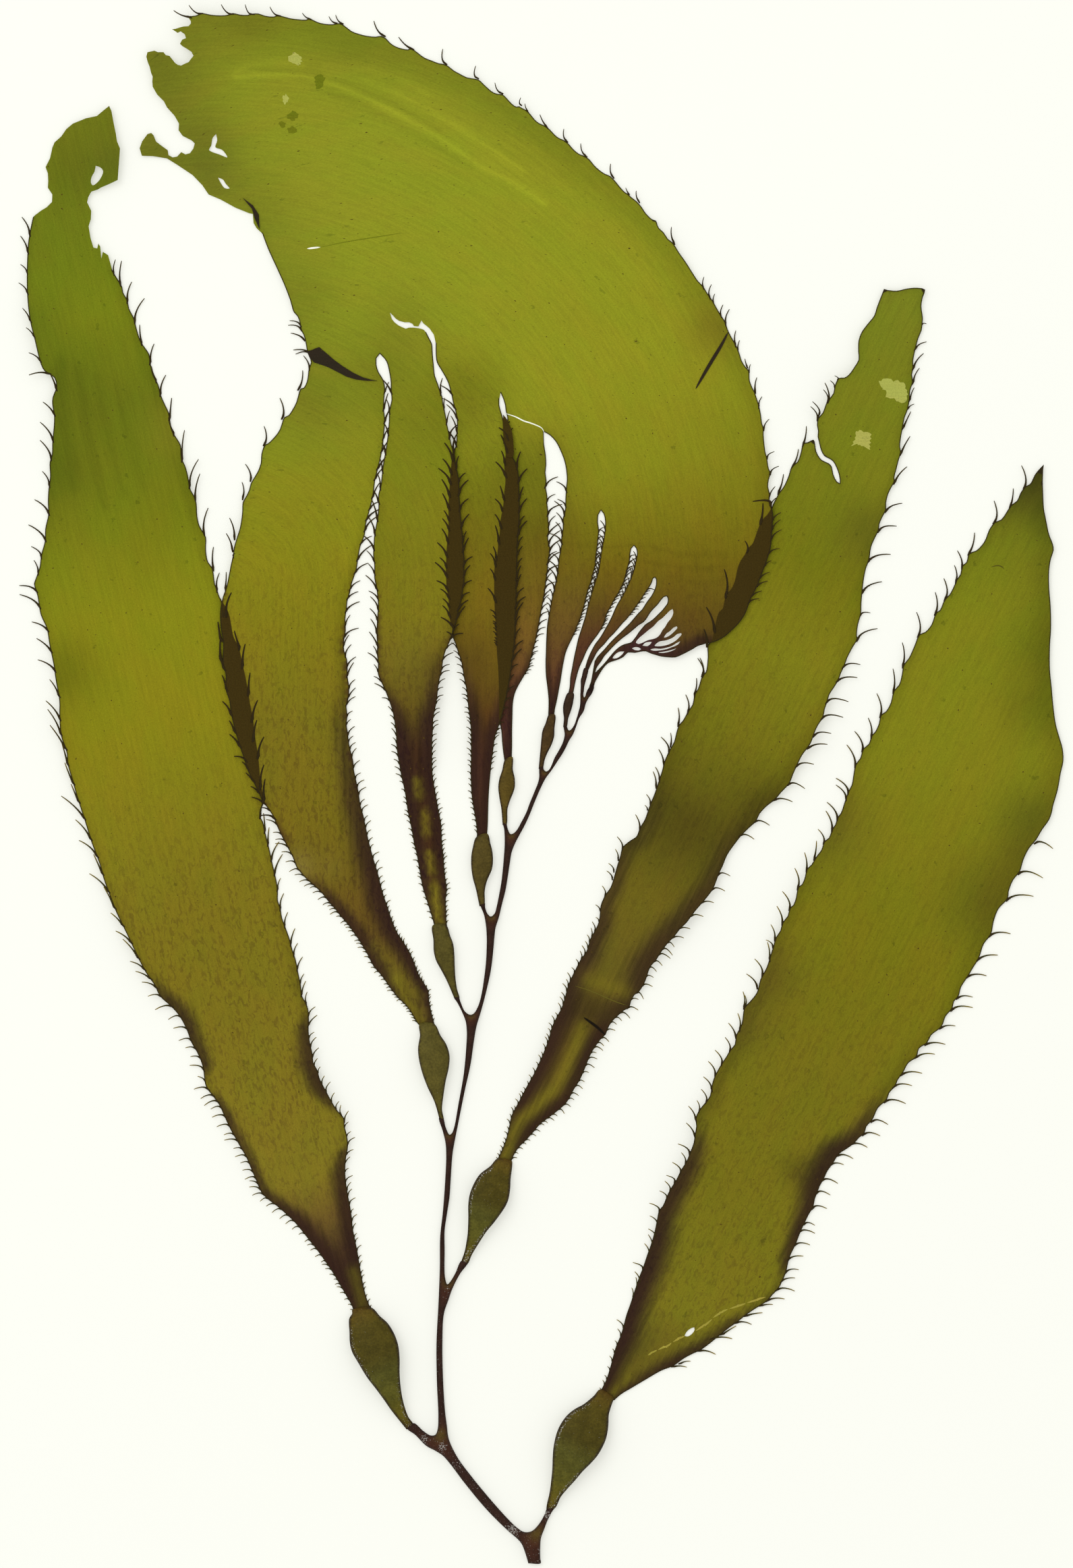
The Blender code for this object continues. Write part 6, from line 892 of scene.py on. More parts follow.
# Colour up each strip: y, then the colour of its middle
STRIP_RAMPS = {
    "d": [(144, (104, 88, 30)), (158, (110, 94, 28)), (168, (104, 82, 28)), (180, (108, 88, 26)),
          (200, (120, 105, 24)), (225, (122, 110, 25)), (250, (131, 121, 23)), (270, (136, 130, 24)),
          (300, (136, 137, 29))],
    "e": [(170, (98, 76, 27)), (176, (102, 80, 27)), (188, (76, 50, 23)), (206, (70, 44, 21)),
          (218, (68, 44, 20)), (230, (100, 82, 25)), (242, (116, 102, 28)), (254, (124, 114, 24)),
          (270, (124, 118, 23)), (300, (126, 128, 25))],
    "f": [(194, (94, 62, 34)), (212, (80, 48, 32)), (228, (88, 60, 24)), (242, (110, 88, 21)),
          (258, (118, 99, 21)), (280, (116, 108, 20)), (300, (122, 122, 22))],
    "g": [(215, (66, 40, 34)), (228, (88, 54, 40)), (238, (104, 68, 40)), (248, (116, 88, 33)),
          (260, (113, 92, 26)), (280, (110, 101, 19)), (300, (116, 114, 20))],
    "h": [(227, (72, 46, 36)), (238, (94, 61, 37)), (252, (108, 81, 32)), (266, (112, 93, 25)),
          (282, (116, 106, 20)), (298, (122, 118, 22))],
    "i": [(233, (72, 44, 36)), (248, (88, 56, 33)), (262, (106, 84, 26)), (280, (118, 106, 21))],
    "j": [(240, (74, 44, 34)), (252, (90, 58, 30)), (266, (112, 90, 25))],
}

# Heights at which the strips have taken on the crown's colour, and the stretch in which they do
STRIP_TOPS = {"d": 316, "e": 318, "f": 309, "g": 297, "h": 280, "i": 271, "j": 262}
STRIP_BLEND = 26

# Margins of the terminal blade, and those of its main sheet that have dark bands
TERMINAL_MARGINS = {
    "strip_d_left": STRIP_D_LEFT, "crown_top": CROWN_TOP, "lower_edge": LOWER_EDGE,
    "slit_7": SLIT_7_RIGHT, "strip_j_right": STRIP_J_RIGHT, "strip_j_left": STRIP_J_LEFT,
    "strip_i_right": STRIP_I_RIGHT, "strip_i_left": STRIP_I_LEFT, "strip_h_right": STRIP_H_RIGHT,
    "strip_h_left": STRIP_H_LEFT, "strip_g_right": STRIP_G_RIGHT, "strip_g_left": STRIP_G_LEFT,
    "strip_e_right": STRIP_E_RIGHT, "strip_e_left": STRIP_E_LEFT, "strip_d_right": STRIP_D_RIGHT,
    "strip_f_right": STRIP_F_RIGHT, "strip_f_left": STRIP_F_LEFT,
}
BANDED_MARGINS = ("strip_d_left", "strip_d_right", "strip_e_left", "strip_e_right", "strip_g_right",
                  "strip_h_left", "strip_h_right", "crown_top", "lower_edge")

# Dark bands in from each margin: y, width in millimetres, strength
BANDS = {
    "blade_1_left": [(45, 0.7, 0.9), (48, 1.2, 0.95), (53, 3.6, 0.97), (60, 5.2, 0.98), (80, 6.6, 0.98),
                     (92, 5.8, 0.95), (106, 5, 0.9), (112, 4, 0.8), (118, 3.2, 0.55), (150, 3.4, 0.5),
                     (200, 2.4, 0.4), (260, 1.5, 0.35), (294, 2, 0.5)],
    "blade_1_right": [(44, 1.2, 0.9), (48, 1.8, 0.95), (52, 2.8, 0.95), (58, 3.2, 0.92), (64, 2.6, 0.85),
                      (70, 1.6, 0.6), (76, 1.2, 0.6), (82, 2.6, 0.9), (95, 4, 0.94), (104, 6, 0.96),
                      (112, 6.2, 0.95), (118, 4, 0.8), (128, 2.6, 0.5),
                      (150, 1.8, 0.35), (180, 4.5, 0.42), (280, 4.5, 0.45)],
    "blade_2_left": [(60, 5, 0.96), (80, 4.3, 0.95), (93, 4.4, 0.95), (98, 2.8, 0.9), (105, 2.2, 0.85),
                     (122, 2.6, 0.85), (126, 1.6, 0.7), (129, 0.8, 0.4), (131.5, 1.6, 0.7), (134, 2.7, 0.85),
                     (140, 3.2, 0.88), (147, 3.8, 0.88), (153, 3.4, 0.8), (158, 2, 0.5), (163, 1.4, 0.4),
                     (200, 1.2, 0.3), (300, 1.6, 0.3), (360, 1, 0.3)],
    "blade_2_right": [(60, 5, 0.96), (80, 4.4, 0.95), (95, 4.4, 0.93), (106, 4.2, 0.92), (111, 2.6, 0.8),
                      (114, 1, 0.5), (120, 0.8, 0.4), (123, 2.2, 0.8), (127, 4.4, 0.92), (135, 4.6, 0.9),
                      (144, 3.3, 0.85), (149, 1.6, 0.5), (152, 1.2, 0.45), (155, 2.2, 0.55), (160, 1.8, 0.4),
                      (180, 1.5, 0.35), (260, 1.2, 0.3), (292, 2.6, 0.4), (350, 1, 0.3)],
    "blade_3_left": [(108, 3.4, 0.95), (135, 4.5, 0.95), (150, 5, 0.9), (165, 4.5, 0.85), (185, 3.4, 0.7),
                     (200, 4.4, 0.62), (213, 3.4, 0.45), (240, 2, 0.35), (300, 1, 0.3)],
    "blade_3_right": [(108, 3.4, 0.95), (130, 4, 0.95), (145, 4, 0.9), (160, 6.4, 0.85), (175, 5.4, 0.8),
                      (190, 4.2, 0.65), (206, 4.4, 0.52), (225, 2, 0.35), (340, 1, 0.3)],
    "strip_d_left": [(144, 3, 0.9), (165, 3.6, 0.9), (176, 3.2, 0.88), (183, 2.4, 0.65), (188, 1.2, 0.35),
                     (205, 1.2, 0.32), (300, 1.2, 0.3), (356, 1, 0.3)],
    "strip_d_right": [(144, 1.4, 0.9), (153, 2.4, 0.95), (164, 4.4, 0.96), (176, 5.8, 0.96), (188, 5.4, 0.95),
                      (202, 5.6, 0.85), (220, 4.4, 0.7), (240, 2.6, 0.5), (258, 2.4, 0.42), (280, 1.2, 0.32),
                      (322, 1, 0.3)],
    "strip_e_left": [(170, 2.2, 0.95), (190, 3, 0.95), (222, 4.6, 0.95), (230, 2.8, 0.82), (238, 1.3, 0.4),
                     (322, 1, 0.3)],
    "strip_e_right": [(170, 2.2, 0.95), (190, 3, 0.95), (226, 4.5, 0.95), (238, 3, 0.75), (248, 1.4, 0.4),
                      (328, 1, 0.3)],
    "strip_f_left": [(194, 2, 0.95), (225, 3.4, 0.95), (238, 2.4, 0.7), (250, 1.4, 0.4), (310, 1, 0.3)],
    "strip_f_right": [(194, 2, 0.95), (222, 3.4, 0.95), (238, 2.2, 0.6), (250, 1.4, 0.4), (310, 1, 0.3)],
    "strip_g_right": [(215, 2.2, 0.95), (230, 1.8, 0.9), (244, 1.2, 0.6), (258, 1, 0.4), (300, 1, 0.3)],
    "strip_h_left": [(227, 1.8, 0.9), (244, 1.2, 0.6), (258, 1.0, 0.4), (290, 1, 0.3)],
    "strip_h_right": [(227, 1.8, 0.9), (244, 1.2, 0.6), (258, 1.0, 0.4), (280, 0.8, 0.3)],
    "crown_top": [(240, 3, 0.7), (256, 2.4, 0.5), (300, 3, 0.34), (345, 6, 0.4), (385, 8, 0.46),
                  (404, 8, 0.44), (414, 6, 0.38)],
    "lower_edge": [(230, 3, 0.95), (246, 3.2, 0.88)],
}

# Lighter streaks up the middle of the narrow bases: their line, half-width and strength
BLADE_1_GLOWS = [([(163.4, 46.6), (165.6, 48.6), (168, 51)], 0.9, 0.55),
                 ([(168.5, 52), (173, 55.5), (180, 60), (190, 65)], 2.4, 0.45)]
BLADE_2_GLOWS = [([(97.2, 68.5), (96.2, 73), (94.5, 79)], 1.6, 0.35)]
BLADE_3_GLOWS = [
    ([(134.5, 109.1), (136.8, 115.5), (139, 119.5), (142.2, 122.2), (145.3, 125.4), (148, 127.6),
      (150.3, 131.7), (152.1, 136.2), (153.9, 139.8), (155.6, 144.6)], 1.6, 0.7),
    ([(158, 156.4), (162, 155.4), (166, 154)], 2.6, 0.55),
]
TERMINAL_GLOWS = [
    ([(112.6, 145), (110.6, 148.5), (108.5, 152), (106, 157)], 1.6, 0.75),
    ([(106, 157), (103, 162), (100, 166)], 1.6, 0.2),
    ([(117.2, 172), (116.4, 177), (116, 182)], 1.1, 0.85), ([(115.2, 186), (114.6, 190.5)], 1.0, 0.7),
    ([(113.8, 196), (113.4, 201.5)], 1.0, 0.6), ([(111.9, 206), (111.3, 210)], 1.0, 0.6),
]

# Where the stipe forks, with the size of the fork
FORKS = [
    (143.2, 7.5, 6.0), (117.5, 34.0, 5.0), (119.6, 75.0, 4.0), (120, 115, 2.0), (125.8, 146.8, 2.2),
    (131.2, 173, 2.2), (136.6, 195, 1.8), (145.4, 211.8, 1.6), (152, 223, 1.4), (156, 232, 1.0),
]

# Salt bloom on the stipe: x, y, reach, strength
SALT_PATCHES = [
    (136.8, 10.2, 2.6, 1.0), (146, 14.2, 1.8, 0.95), (147, 17.5, 1.6, 0.8), (144.6, 5, 1.5, 0.85),
    (144.6, 1.5, 1.6, 0.7), (118, 32.4, 1.7, 1.0), (113.5, 34.6, 1.8, 0.9), (121.8, 27.4, 2.8, 0.6),
    (127, 21, 4, 0.4), (119.6, 74, 1.6, 0.6),
]

# Colour along the three big floats, from the stipe end
FLOAT_RAMP = [(0.0, (70, 52, 22)), (0.05, (88, 76, 22)), (0.14, (92, 83, 24)), (0.26, (86, 82, 28)),
              (0.46, (80, 77, 29)), (0.6, (72, 64, 20)), (0.85, (78, 68, 20)), (0.95, (88, 72, 22)),
              (1.0, (80, 60, 22))]


def smooth_step(value, low, high):
    """0 at low, 1 at high, with a soft start and end."""
    t = np.clip((value - low) / (high - low), 0.0, 1.0)
    return t * t * (3.0 - 2.0 * t)


def distance_to_segment(x, y, ends):
    (ax, ay), (bx, by) = ends
    dx, dy = bx - ax, by - ay
    squared = max(dx * dx + dy * dy, TINY**2)
    t = np.clip(((x - ax) * dx + (y - ay) * dy) / squared, 0.0, 1.0)
    return np.hypot(x - ax - t * dx, y - ay - t * dy)


def distance_to_line(points, line):
    """Distance of each point to an open line."""
    nearest = np.full(len(points), np.inf)
    for start, end in zip(line[:-1], line[1:]):
        nearest = np.minimum(nearest, distance_to_segment(points[:, 0], points[:, 1], (start, end)))
    return nearest


def edge_distance(points, loops):
    """Distance of each point to the nearest closed loop."""
    nearest = np.full(len(points), np.inf)
    for loop in loops:
        nearest = np.minimum(nearest, distance_to_line(points, list(loop) + [loop[0]]))
    return nearest


def inside(points, loops):
    """Even-odd test of many points against closed loops."""
    x, y = points[:, 0], points[:, 1]
    result = np.zeros(len(points), bool)
    for loop in loops:
        a = np.array(loop, float)
        b = np.roll(a, -1, axis=0)
        for (ax, ay), (bx, by) in zip(a, b):
            crosses = (ay > y) != (by > y)
            if ay != by:
                result ^= crosses & (x < (bx - ax) * (y - ay) / (by - ay) + ax)
    return result


def depth_inside(points, loop):
    """Distance to a loop, above zero inside it and below zero outside."""
    return np.where(inside(points, [loop]), 1.0, -1.0) * edge_distance(points, [loop])


# Heights of the sheets, as in the CAD but closer together

def wave(x, y, wide, high, phase):
    """Soft humps that never go below zero."""
    s = np.sin(x / wide + phase) * np.cos(y / high - phase)
    return WAVE_HEIGHT * ((s + 1.0) / 2.0) ** 2


def blade_1_height(x, y):
    grown = smooth_step(y - BLADE_1_WAVE_SLANT * (x - 160), *BLADE_1_WAVE_GROWS)
    return wave(x, y, *BLADE_1_WAVE) * grown


def blade_2_height(x, y):
    grown = smooth_step(y, *BLADE_2_WAVE_GROWS)
    clear = smooth_step(distance_to_segment(x, y, LOW_LEFT), 15, 34)
    return wave(x, y, *BLADE_2_WAVE) * grown * clear


def blade_3_height(x, y):
    grown = smooth_step(y, *BLADE_3_WAVE_GROWS)
    clear = smooth_step(distance_to_segment(x, y, LOW_RIGHT), 15, 32)
    return wave(x, y, *BLADE_3_WAVE) * grown * clear


def crown_wave(x, y):
    return wave(x, y, *CROWN_WAVE) * smooth_step(y, *CROWN_WAVE_GROWS)


def terminal_height(x, y):
    """The main sheet, lifted over the freed blades, and doubly where strip e crosses strip f."""
    over_blade_2 = 1.0 - smooth_step(distance_to_segment(x, y, LOW_LEFT), 14, 30)
    over_blade_3 = 1.0 - smooth_step(distance_to_segment(x, y, LOW_RIGHT), 14, 26)
    stacked = smooth_step(y, STRIP_STACK_BOTTOM, STRIP_STACK_BOTTOM + 16)
    stacked = stacked * (1.0 - smooth_step(y, STRIP_STACK_TOP - 14, STRIP_STACK_TOP))
    strip_e = smooth_step(x, 106, 116) * (1.0 - smooth_step(x, 127.5, 129.5)) * 2.0
    return crown_wave(x, y) + SHEET_LIFT * (over_blade_2 + over_blade_3 + strip_e * stacked)


def strip_f_height(x, y):
    """Strip f, lifted where it lies over its neighbour."""
    stacked = smooth_step(y, STRIP_STACK_BOTTOM, STRIP_STACK_BOTTOM + 14)
    stacked = stacked * (1.0 - smooth_step(y, STRIP_STACK_TOP - 12, STRIP_STACK_TOP - 1))
    return crown_wave(x, y) + SHEET_LIFT * stacked


# Lines and triangles

def smoothed(line, step=1.2):
    """A line through the same points, rounded between them."""
    points = np.array(line, float)
    padded = np.vstack([2 * points[0] - points[1], points, 2 * points[-1] - points[-2]])
    result = [tuple(points[0])]
    for p0, p1, p2, p3 in zip(padded, padded[1:], padded[2:], padded[3:]):
        length = np.hypot(*(p2 - p1))
        gaps = [max(np.hypot(*(b - a)), 1e-6) ** 0.5 for a, b in ((p0, p1), (p1, p2), (p2, p3))]
        slope_1 = (p1 - p0) / gaps[0] - (p2 - p0) / (gaps[0] + gaps[1]) + (p2 - p1) / gaps[1]
        slope_2 = (p2 - p1) / gaps[1] - (p3 - p1) / (gaps[1] + gaps[2]) + (p3 - p2) / gaps[2]
        slope_1, slope_2 = slope_1 * gaps[1], slope_2 * gaps[1]
        count = max(1, math.ceil(length / step))
        for t in np.arange(1, count + 1) / count:
            point = (2 * t**3 - 3 * t**2 + 1) * p1 + (t**3 - 2 * t**2 + t) * slope_1
            point = point + (3 * t**2 - 2 * t**3) * p2 + (t**3 - t**2) * slope_2
            result.append(tuple(point))
    return result


def smoothed_loop(loop, step=0.8):
    closed = list(loop) + [loop[0]]
    return smoothed(closed, step)[:-1]


def inner_grid(loops, step, margin, window=None):
    """Staggered grid points that stay clear of every edge, in a window if one is given."""
    outer = np.array(loops[0], float)
    low, high = window or (outer.min(axis=0), outer.max(axis=0))
    rows = []
    for row, y in enumerate(np.arange(low[1] + step / 2, high[1], step * 0.87)):
        xs = np.arange(low[0] + (row % 2) * step / 2, high[0], step)
        rows.append(np.column_stack([xs, np.full(len(xs), y)]))
    grid = np.concatenate(rows)
    grid = grid[inside(grid, loops)]
    return grid[edge_distance(grid, loops) > margin]


def triangulate(loops, grid, lines=()):
    """Triangles that fill the first loop less the others and follow the lines. They run counter-clockwise
    seen from above."""
    verts, edges = [], []
    for loop in loops:
        start = len(verts)
        verts += [Vector(p) for p in loop]
        edges += [(start + i, start + (i + 1) % len(loop)) for i in range(len(loop))]
    for line in lines:
        start = len(verts)
        verts += [Vector(p) for p in line]
        edges += [(start + i, start + i + 1) for i in range(len(line) - 1)]
    verts += [Vector(p) for p in grid.tolist()]
    flat, _, faces, _, _, _ = delaunay_2d_cdt(verts, edges, [], 0, 1e-4)
    points = np.array([tuple(p) for p in flat])
    faces = np.array([tuple(f) for f in faces])
    faces = faces[inside(points[faces].mean(axis=1), loops)]
    a, b, c = points[faces[:, 0]], points[faces[:, 1]], points[faces[:, 2]]
    area = (b[:, 0] - a[:, 0]) * (c[:, 1] - a[:, 1]) - (b[:, 1] - a[:, 1]) * (c[:, 0] - a[:, 0])
    faces[area < 0] = faces[area < 0][:, ::-1]
    used, packed = np.unique(faces, return_inverse=True)
    return points[used], packed.reshape(-1, 3)


def rim_edges(faces):
    """Directed edges that only one triangle has."""
    edges = np.concatenate([faces[:, [0, 1]], faces[:, [1, 2]], faces[:, [2, 0]]])
    have = {tuple(e) for e in edges.tolist()}
    return [(a, b) for a, b in have if (b, a) not in have]


# Colour

def linear(colour):
    """A colour of 0 to 255 as linear light."""
    c = np.asarray(colour, float) / 255.0
    return np.where(c <= 0.04045, c / 12.92, ((c + 0.055) / 1.055) ** 2.4)


def ramp(value, stops):
    """The colour at each value along a row of stops."""
    at = [s[0] for s in stops]
    return np.column_stack([np.interp(value, at, [linear(s[1])[k] for s in stops]) for k in range(3)])


def flow_of(along, across):
    """Coordinates that follow the growth, for the patterns of the materials."""
    return np.column_stack([along, across, np.zeros(len(along))])


def mixed(first, second, amount):
    return first + (np.asarray(second) - first) * np.asarray(amount)[:, None]


def with_bands(points, colour, lines):
    """Darkens in from each named margin by its band: weak bands deepen the olive and fade softly, strong ones
    are brown and end more sharply. Returns the colours and how brown each point is."""
    most = np.zeros(len(points))
    for name, line in lines.items():
        stops = BANDS[name]
        at = [s[0] for s in stops]
        width = np.interp(points[:, 1], at, [s[1] for s in stops])
        strength = np.interp(points[:, 1], at, [s[2] for s in stops])
        away = distance_to_line(points, line)
        brown = smooth_step(strength, 0.4, 0.75)
        band = mixed(0.42 * colour, linear(DARK_MARGIN), brown)
        amount = strength * np.exp(-((away / width) ** (2.0 + 1.6 * brown)))
        colour = mixed(colour, band, amount)
        most = np.maximum(most, amount * brown)
    return colour, most


def with_glows(points, colour, glows):
    """Golden streaks along lines."""
    for line, width, strength in glows:
        away = distance_to_line(points, smoothed(line))
        colour = mixed(colour, linear(GOLD), strength * np.exp(-((away / width) ** 2)))
    return colour


def with_shades(points, colour, shades):
    """Soft patches, each a centre, a reach in millimetres, a strength and a colour."""
    for x, y, reach, strength, shade in shades:
        away = np.hypot(points[:, 0] - x, points[:, 1] - y)
        colour = mixed(colour, linear(shade), strength * np.exp(-((away / reach) ** 2)))
    return colour


def along_axis(points, start, end):
    """Distance along a straight axis and distance to its side."""
    axis = (np.array(end) - np.array(start)) / np.hypot(end[0] - start[0], end[1] - start[1])
    offset = points - np.array(start)
    return offset @ axis, offset @ np.array([axis[1], -axis[0]])


def with_streaks(points, colour, streaks):
    """Lighter or darker streaks along lines."""
    for line, width, strength in streaks:
        away = distance_to_line(points, smoothed(line))
        colour = colour * (1 + strength * np.exp(-((away / width) ** 2)))[:, None]
    return colour


class Builder:
    """Gathers the vertices, faces and values of one piece: its colour, the flow of its growth, the distance
    to a dark rim, the depth inside sheets beneath, where the blade material paints shade, and how wrinkled,
    brown and salty it is."""

    def __init__(self, name, node, slot):
        self.name, self.node, self.slot = name, node, slot
        self.verts, self.faces, self.count = [], [], 0
        self.values = {key: [] for key in ("tint", "flow", "edge", "under", "wrinkled", "band", "salt")}

    def add(self, verts, faces, **values):
        n = len(verts)
        self.verts.append(np.asarray(verts, float))
        self.faces.append(np.asarray(faces, int) + self.count)
        self.count += n
        filler = {
            "tint": np.tile(linear(SPINE_ROOT), (n, 1)),
            "flow": flow_of(verts[:, 0], verts[:, 1]),
            "edge": np.full(n, FAR),
            "under": np.full(n, -FAR),
            "wrinkled": np.zeros(n),
            "band": np.zeros(n),
            "salt": np.zeros(n),
        }
        for key, rows in self.values.items():
            rows.append(np.asarray(values.get(key, filler[key]), float))

    def add_solid(self, flat, faces, bottom, top, **values):
        """A closed solid between two heights over the same flat triangles."""
        n = len(flat)
        walls = np.array([t for a, b in rim_edges(faces) for t in ((b, a, a + n), (b, a + n, b + n))])
        self.add(
            np.vstack([np.column_stack([flat, top]), np.column_stack([flat, bottom])]),
            np.vstack([faces, faces[:, ::-1] + n, walls]),
            **{key: np.concatenate([v, v]) for key, v in values.items()},
        )

    def add_spine(self, path, radii, colours):
        """A tapering flattened tube along a path."""
        sides = SPINE_SIDES
        path = np.asarray(path, float)
        forward = np.gradient(path, axis=0)
        forward[:, 2] = 0.0
        forward /= np.maximum(np.linalg.norm(forward, axis=1), TINY)[:, None]
        side = np.column_stack([-forward[:, 1], forward[:, 0], np.zeros(len(path))])
        rings = []
        for k in range(sides):
            angle = 2 * math.pi * k / sides
            offset = math.cos(angle) * side + SPINE_FLATNESS * math.sin(angle) * np.array([0.0, 0.0, 1.0])
            rings.append(path + np.asarray(radii)[:, None] * offset)
        verts = np.stack(rings, axis=1).reshape(-1, 3)
        faces = []
        for i in range(len(path) - 1):
            for k in range(sides):
                a, b = i * sides + k, i * sides + (k + 1) % sides
                faces += [(a, a + sides, b + sides), (a, b + sides, b)]
        last = (len(path) - 1) * sides
        faces += [(0, k, k + 1) for k in range(1, sides - 1)]
        faces += [(last, last + k + 1, last + k) for k in range(1, sides - 1)]
        self.add(verts, np.array(faces), tint=np.repeat(colours, sides, axis=0))

    def finish(self, material):
        """Makes the piece and lets it ride on the frond in place of its node."""
        verts = np.vstack(self.verts)
        verts = (verts + np.array([SHIFT[0], SHIFT[1], 0.0])) * MM
        mesh = bpy.data.meshes.new(self.name)
        mesh.from_pydata(verts.tolist(), [], np.vstack(self.faces).tolist())
        mesh.polygons.foreach_set("use_smooth", [True] * len(mesh.polygons))
        for key, rows in self.values.items():
            data = np.concatenate(rows)
            if key == "tint":
                data = np.column_stack([data, np.ones(len(data))])
                mesh.attributes.new(key, "FLOAT_COLOR", "POINT").data.foreach_set("color", data.ravel())
            elif key == "flow":
                mesh.attributes.new(key, "FLOAT_VECTOR", "POINT").data.foreach_set("vector", data.ravel())
            else:
                mesh.attributes.new(key, "FLOAT", "POINT").data.foreach_set("value", data)
        mesh.materials.append(material)
        piece = bpy.data.objects.new(self.name, mesh)
        bpy.context.scene.collection.objects.link(piece)
        piece.data.set_sharp_from_angle(angle=math.radians(50))
        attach(piece, "root")
        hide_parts(self.node)


# Sheets

def add_sheet(piece, loops, height, margins, paint, lines=(), under=None, narrow=None):
    """A thin sheet. paint gives its colours, margins are the edges with a dark rim, under is the depth inside
    the sheets that lie beneath it, where the material paints shade, and narrow is the window of its narrow
    strips, which take a finer grid."""
    grid = inner_grid(loops, SHEET_STEP, 0.5 * SHEET_STEP)
    if narrow:
        (x_low, y_low), (x_high, y_high) = narrow
        x, y = grid[:, 0], grid[:, 1]
        grid = grid[(x < x_low) | (x > x_high) | (y < y_low) | (y > y_high)]
        grid = np.concatenate([grid, inner_grid(loops, FINE_STEP, FINE_MARGIN, narrow)])
    flat, faces = triangulate(loops, grid, lines)
    any_edge = edge_distance(flat, loops)
    rim = np.min([distance_to_line(flat, line) for line in margins], axis=0)
    middle = height(flat[:, 0], flat[:, 1]) + SHEET_MIDDLE
    half = RIM_HALF + (CORE_HALF - RIM_HALF) * smooth_step(any_edge, 0.0, RIM_REACH)
    values = paint(flat)
    values["edge"] = rim
    values["under"] = under(flat) if under else np.full(len(flat), -FAR)
    piece.add_solid(flat, faces, middle - half, middle + half, **values)


def add_inlay(piece, loop, height, colour, lift=INLAY_LIFT, depth=INLAY_DEPTH):
    """A thin patch that lies on top of a sheet."""
    grid = inner_grid([loop], INLAY_STEP, INLAY_MARGIN)
    flat, faces = triangulate([loop], grid)
    base = height(flat[:, 0], flat[:, 1]) + SHEET_TOP
    tint = np.tile(linear(colour), (len(flat), 1))
    piece.add_solid(flat, faces, base + lift - depth, base + lift, tint=tint)


def ribbon(line, width):
    """The outline of a narrow band along a line, pointed at both ends."""
    points = np.array(smoothed(line, 0.8))
    forward = np.gradient(points, axis=0)
    forward /= np.linalg.norm(forward, axis=1)[:, None]
    side = np.column_stack([-forward[:, 1], forward[:, 0]])
    t = np.linspace(0, 1, len(points))
    half = 0.5 * width * np.sqrt(np.clip(4 * t * (1 - t), 0.02, 1))[:, None]
    return [tuple(p) for p in points + side * half] + [tuple(p) for p in (points - side * half)[::-1]]


# Spines

def row_by_rule(name, line, sense):
    """Roots and tips of the spines along a margin. sense is 1 where the line runs to the blade's tip."""
    stops = SPINE_ROWS[name]
    at = [s[0] for s in stops]
    points = np.array(line, float)
    random = np.random.default_rng(sum(map(ord, name)))
    travelled = np.concatenate([[0.0], np.cumsum(np.hypot(*np.diff(points, axis=0).T))])

    def place(station):
        return np.array([np.interp(station, travelled, points[:, k]) for k in (0, 1)])

    result, station = [], ROW_CLEARANCE
    while station < travelled[-1] - ROW_CLEARANCE:
        x, y = place(station)
        gap, length, lean = (np.interp(y, at, [s[k] for s in stops]) for k in (1, 2, 3))
        if at[0] <= y <= at[-1]:
            forward = place(station + ROW_DIRECTION_REACH) - place(station - ROW_DIRECTION_REACH)
            forward /= np.hypot(*forward)
            outward = np.array([-forward[1], forward[0]])
            angle = math.radians(lean + random.uniform(-16, 12))
            reach = length * random.uniform(0.65, 1.3)
            tip = np.array([x, y]) + reach * (math.cos(angle) * outward + sense * math.sin(angle) * forward)
            result.append((x, y, tip[0], tip[1]))
        station += gap * random.uniform(0.7, 1.3)
    return result


def spine_path(spine, line, sense, random):
    """Points along one spine that leaves the margin gently and then curves out."""
    root, tip = np.array(spine[:2]), np.array(spine[2:])
    points = np.array(line, float)
    nearest = int(np.argmin(np.hypot(*(points - root).T)))
    before, after = points[max(nearest - 1, 0)], points[min(nearest + 1, len(points) - 1)]
    forward = sense * (after - before) / max(np.hypot(*(after - before)), TINY)
    inward = sense * np.array([forward[1], -forward[0]])
    length = np.hypot(*(tip - root))
    bend = root + 0.45 * length * forward + 0.12 * length * random.uniform(-1, 1) * inward
    bend = 0.55 * bend + 0.45 * (root + tip) / 2
    t = np.linspace(0, 1, 7)[:, None]
    curve = (1 - t) ** 2 * root + 2 * t * (1 - t) * bend + t**2 * tip
    sunk_start = root - min(1.0, 0.35 * length) * forward + min(0.4, 0.12 * length) * inward
    return np.vstack([sunk_start, curve])


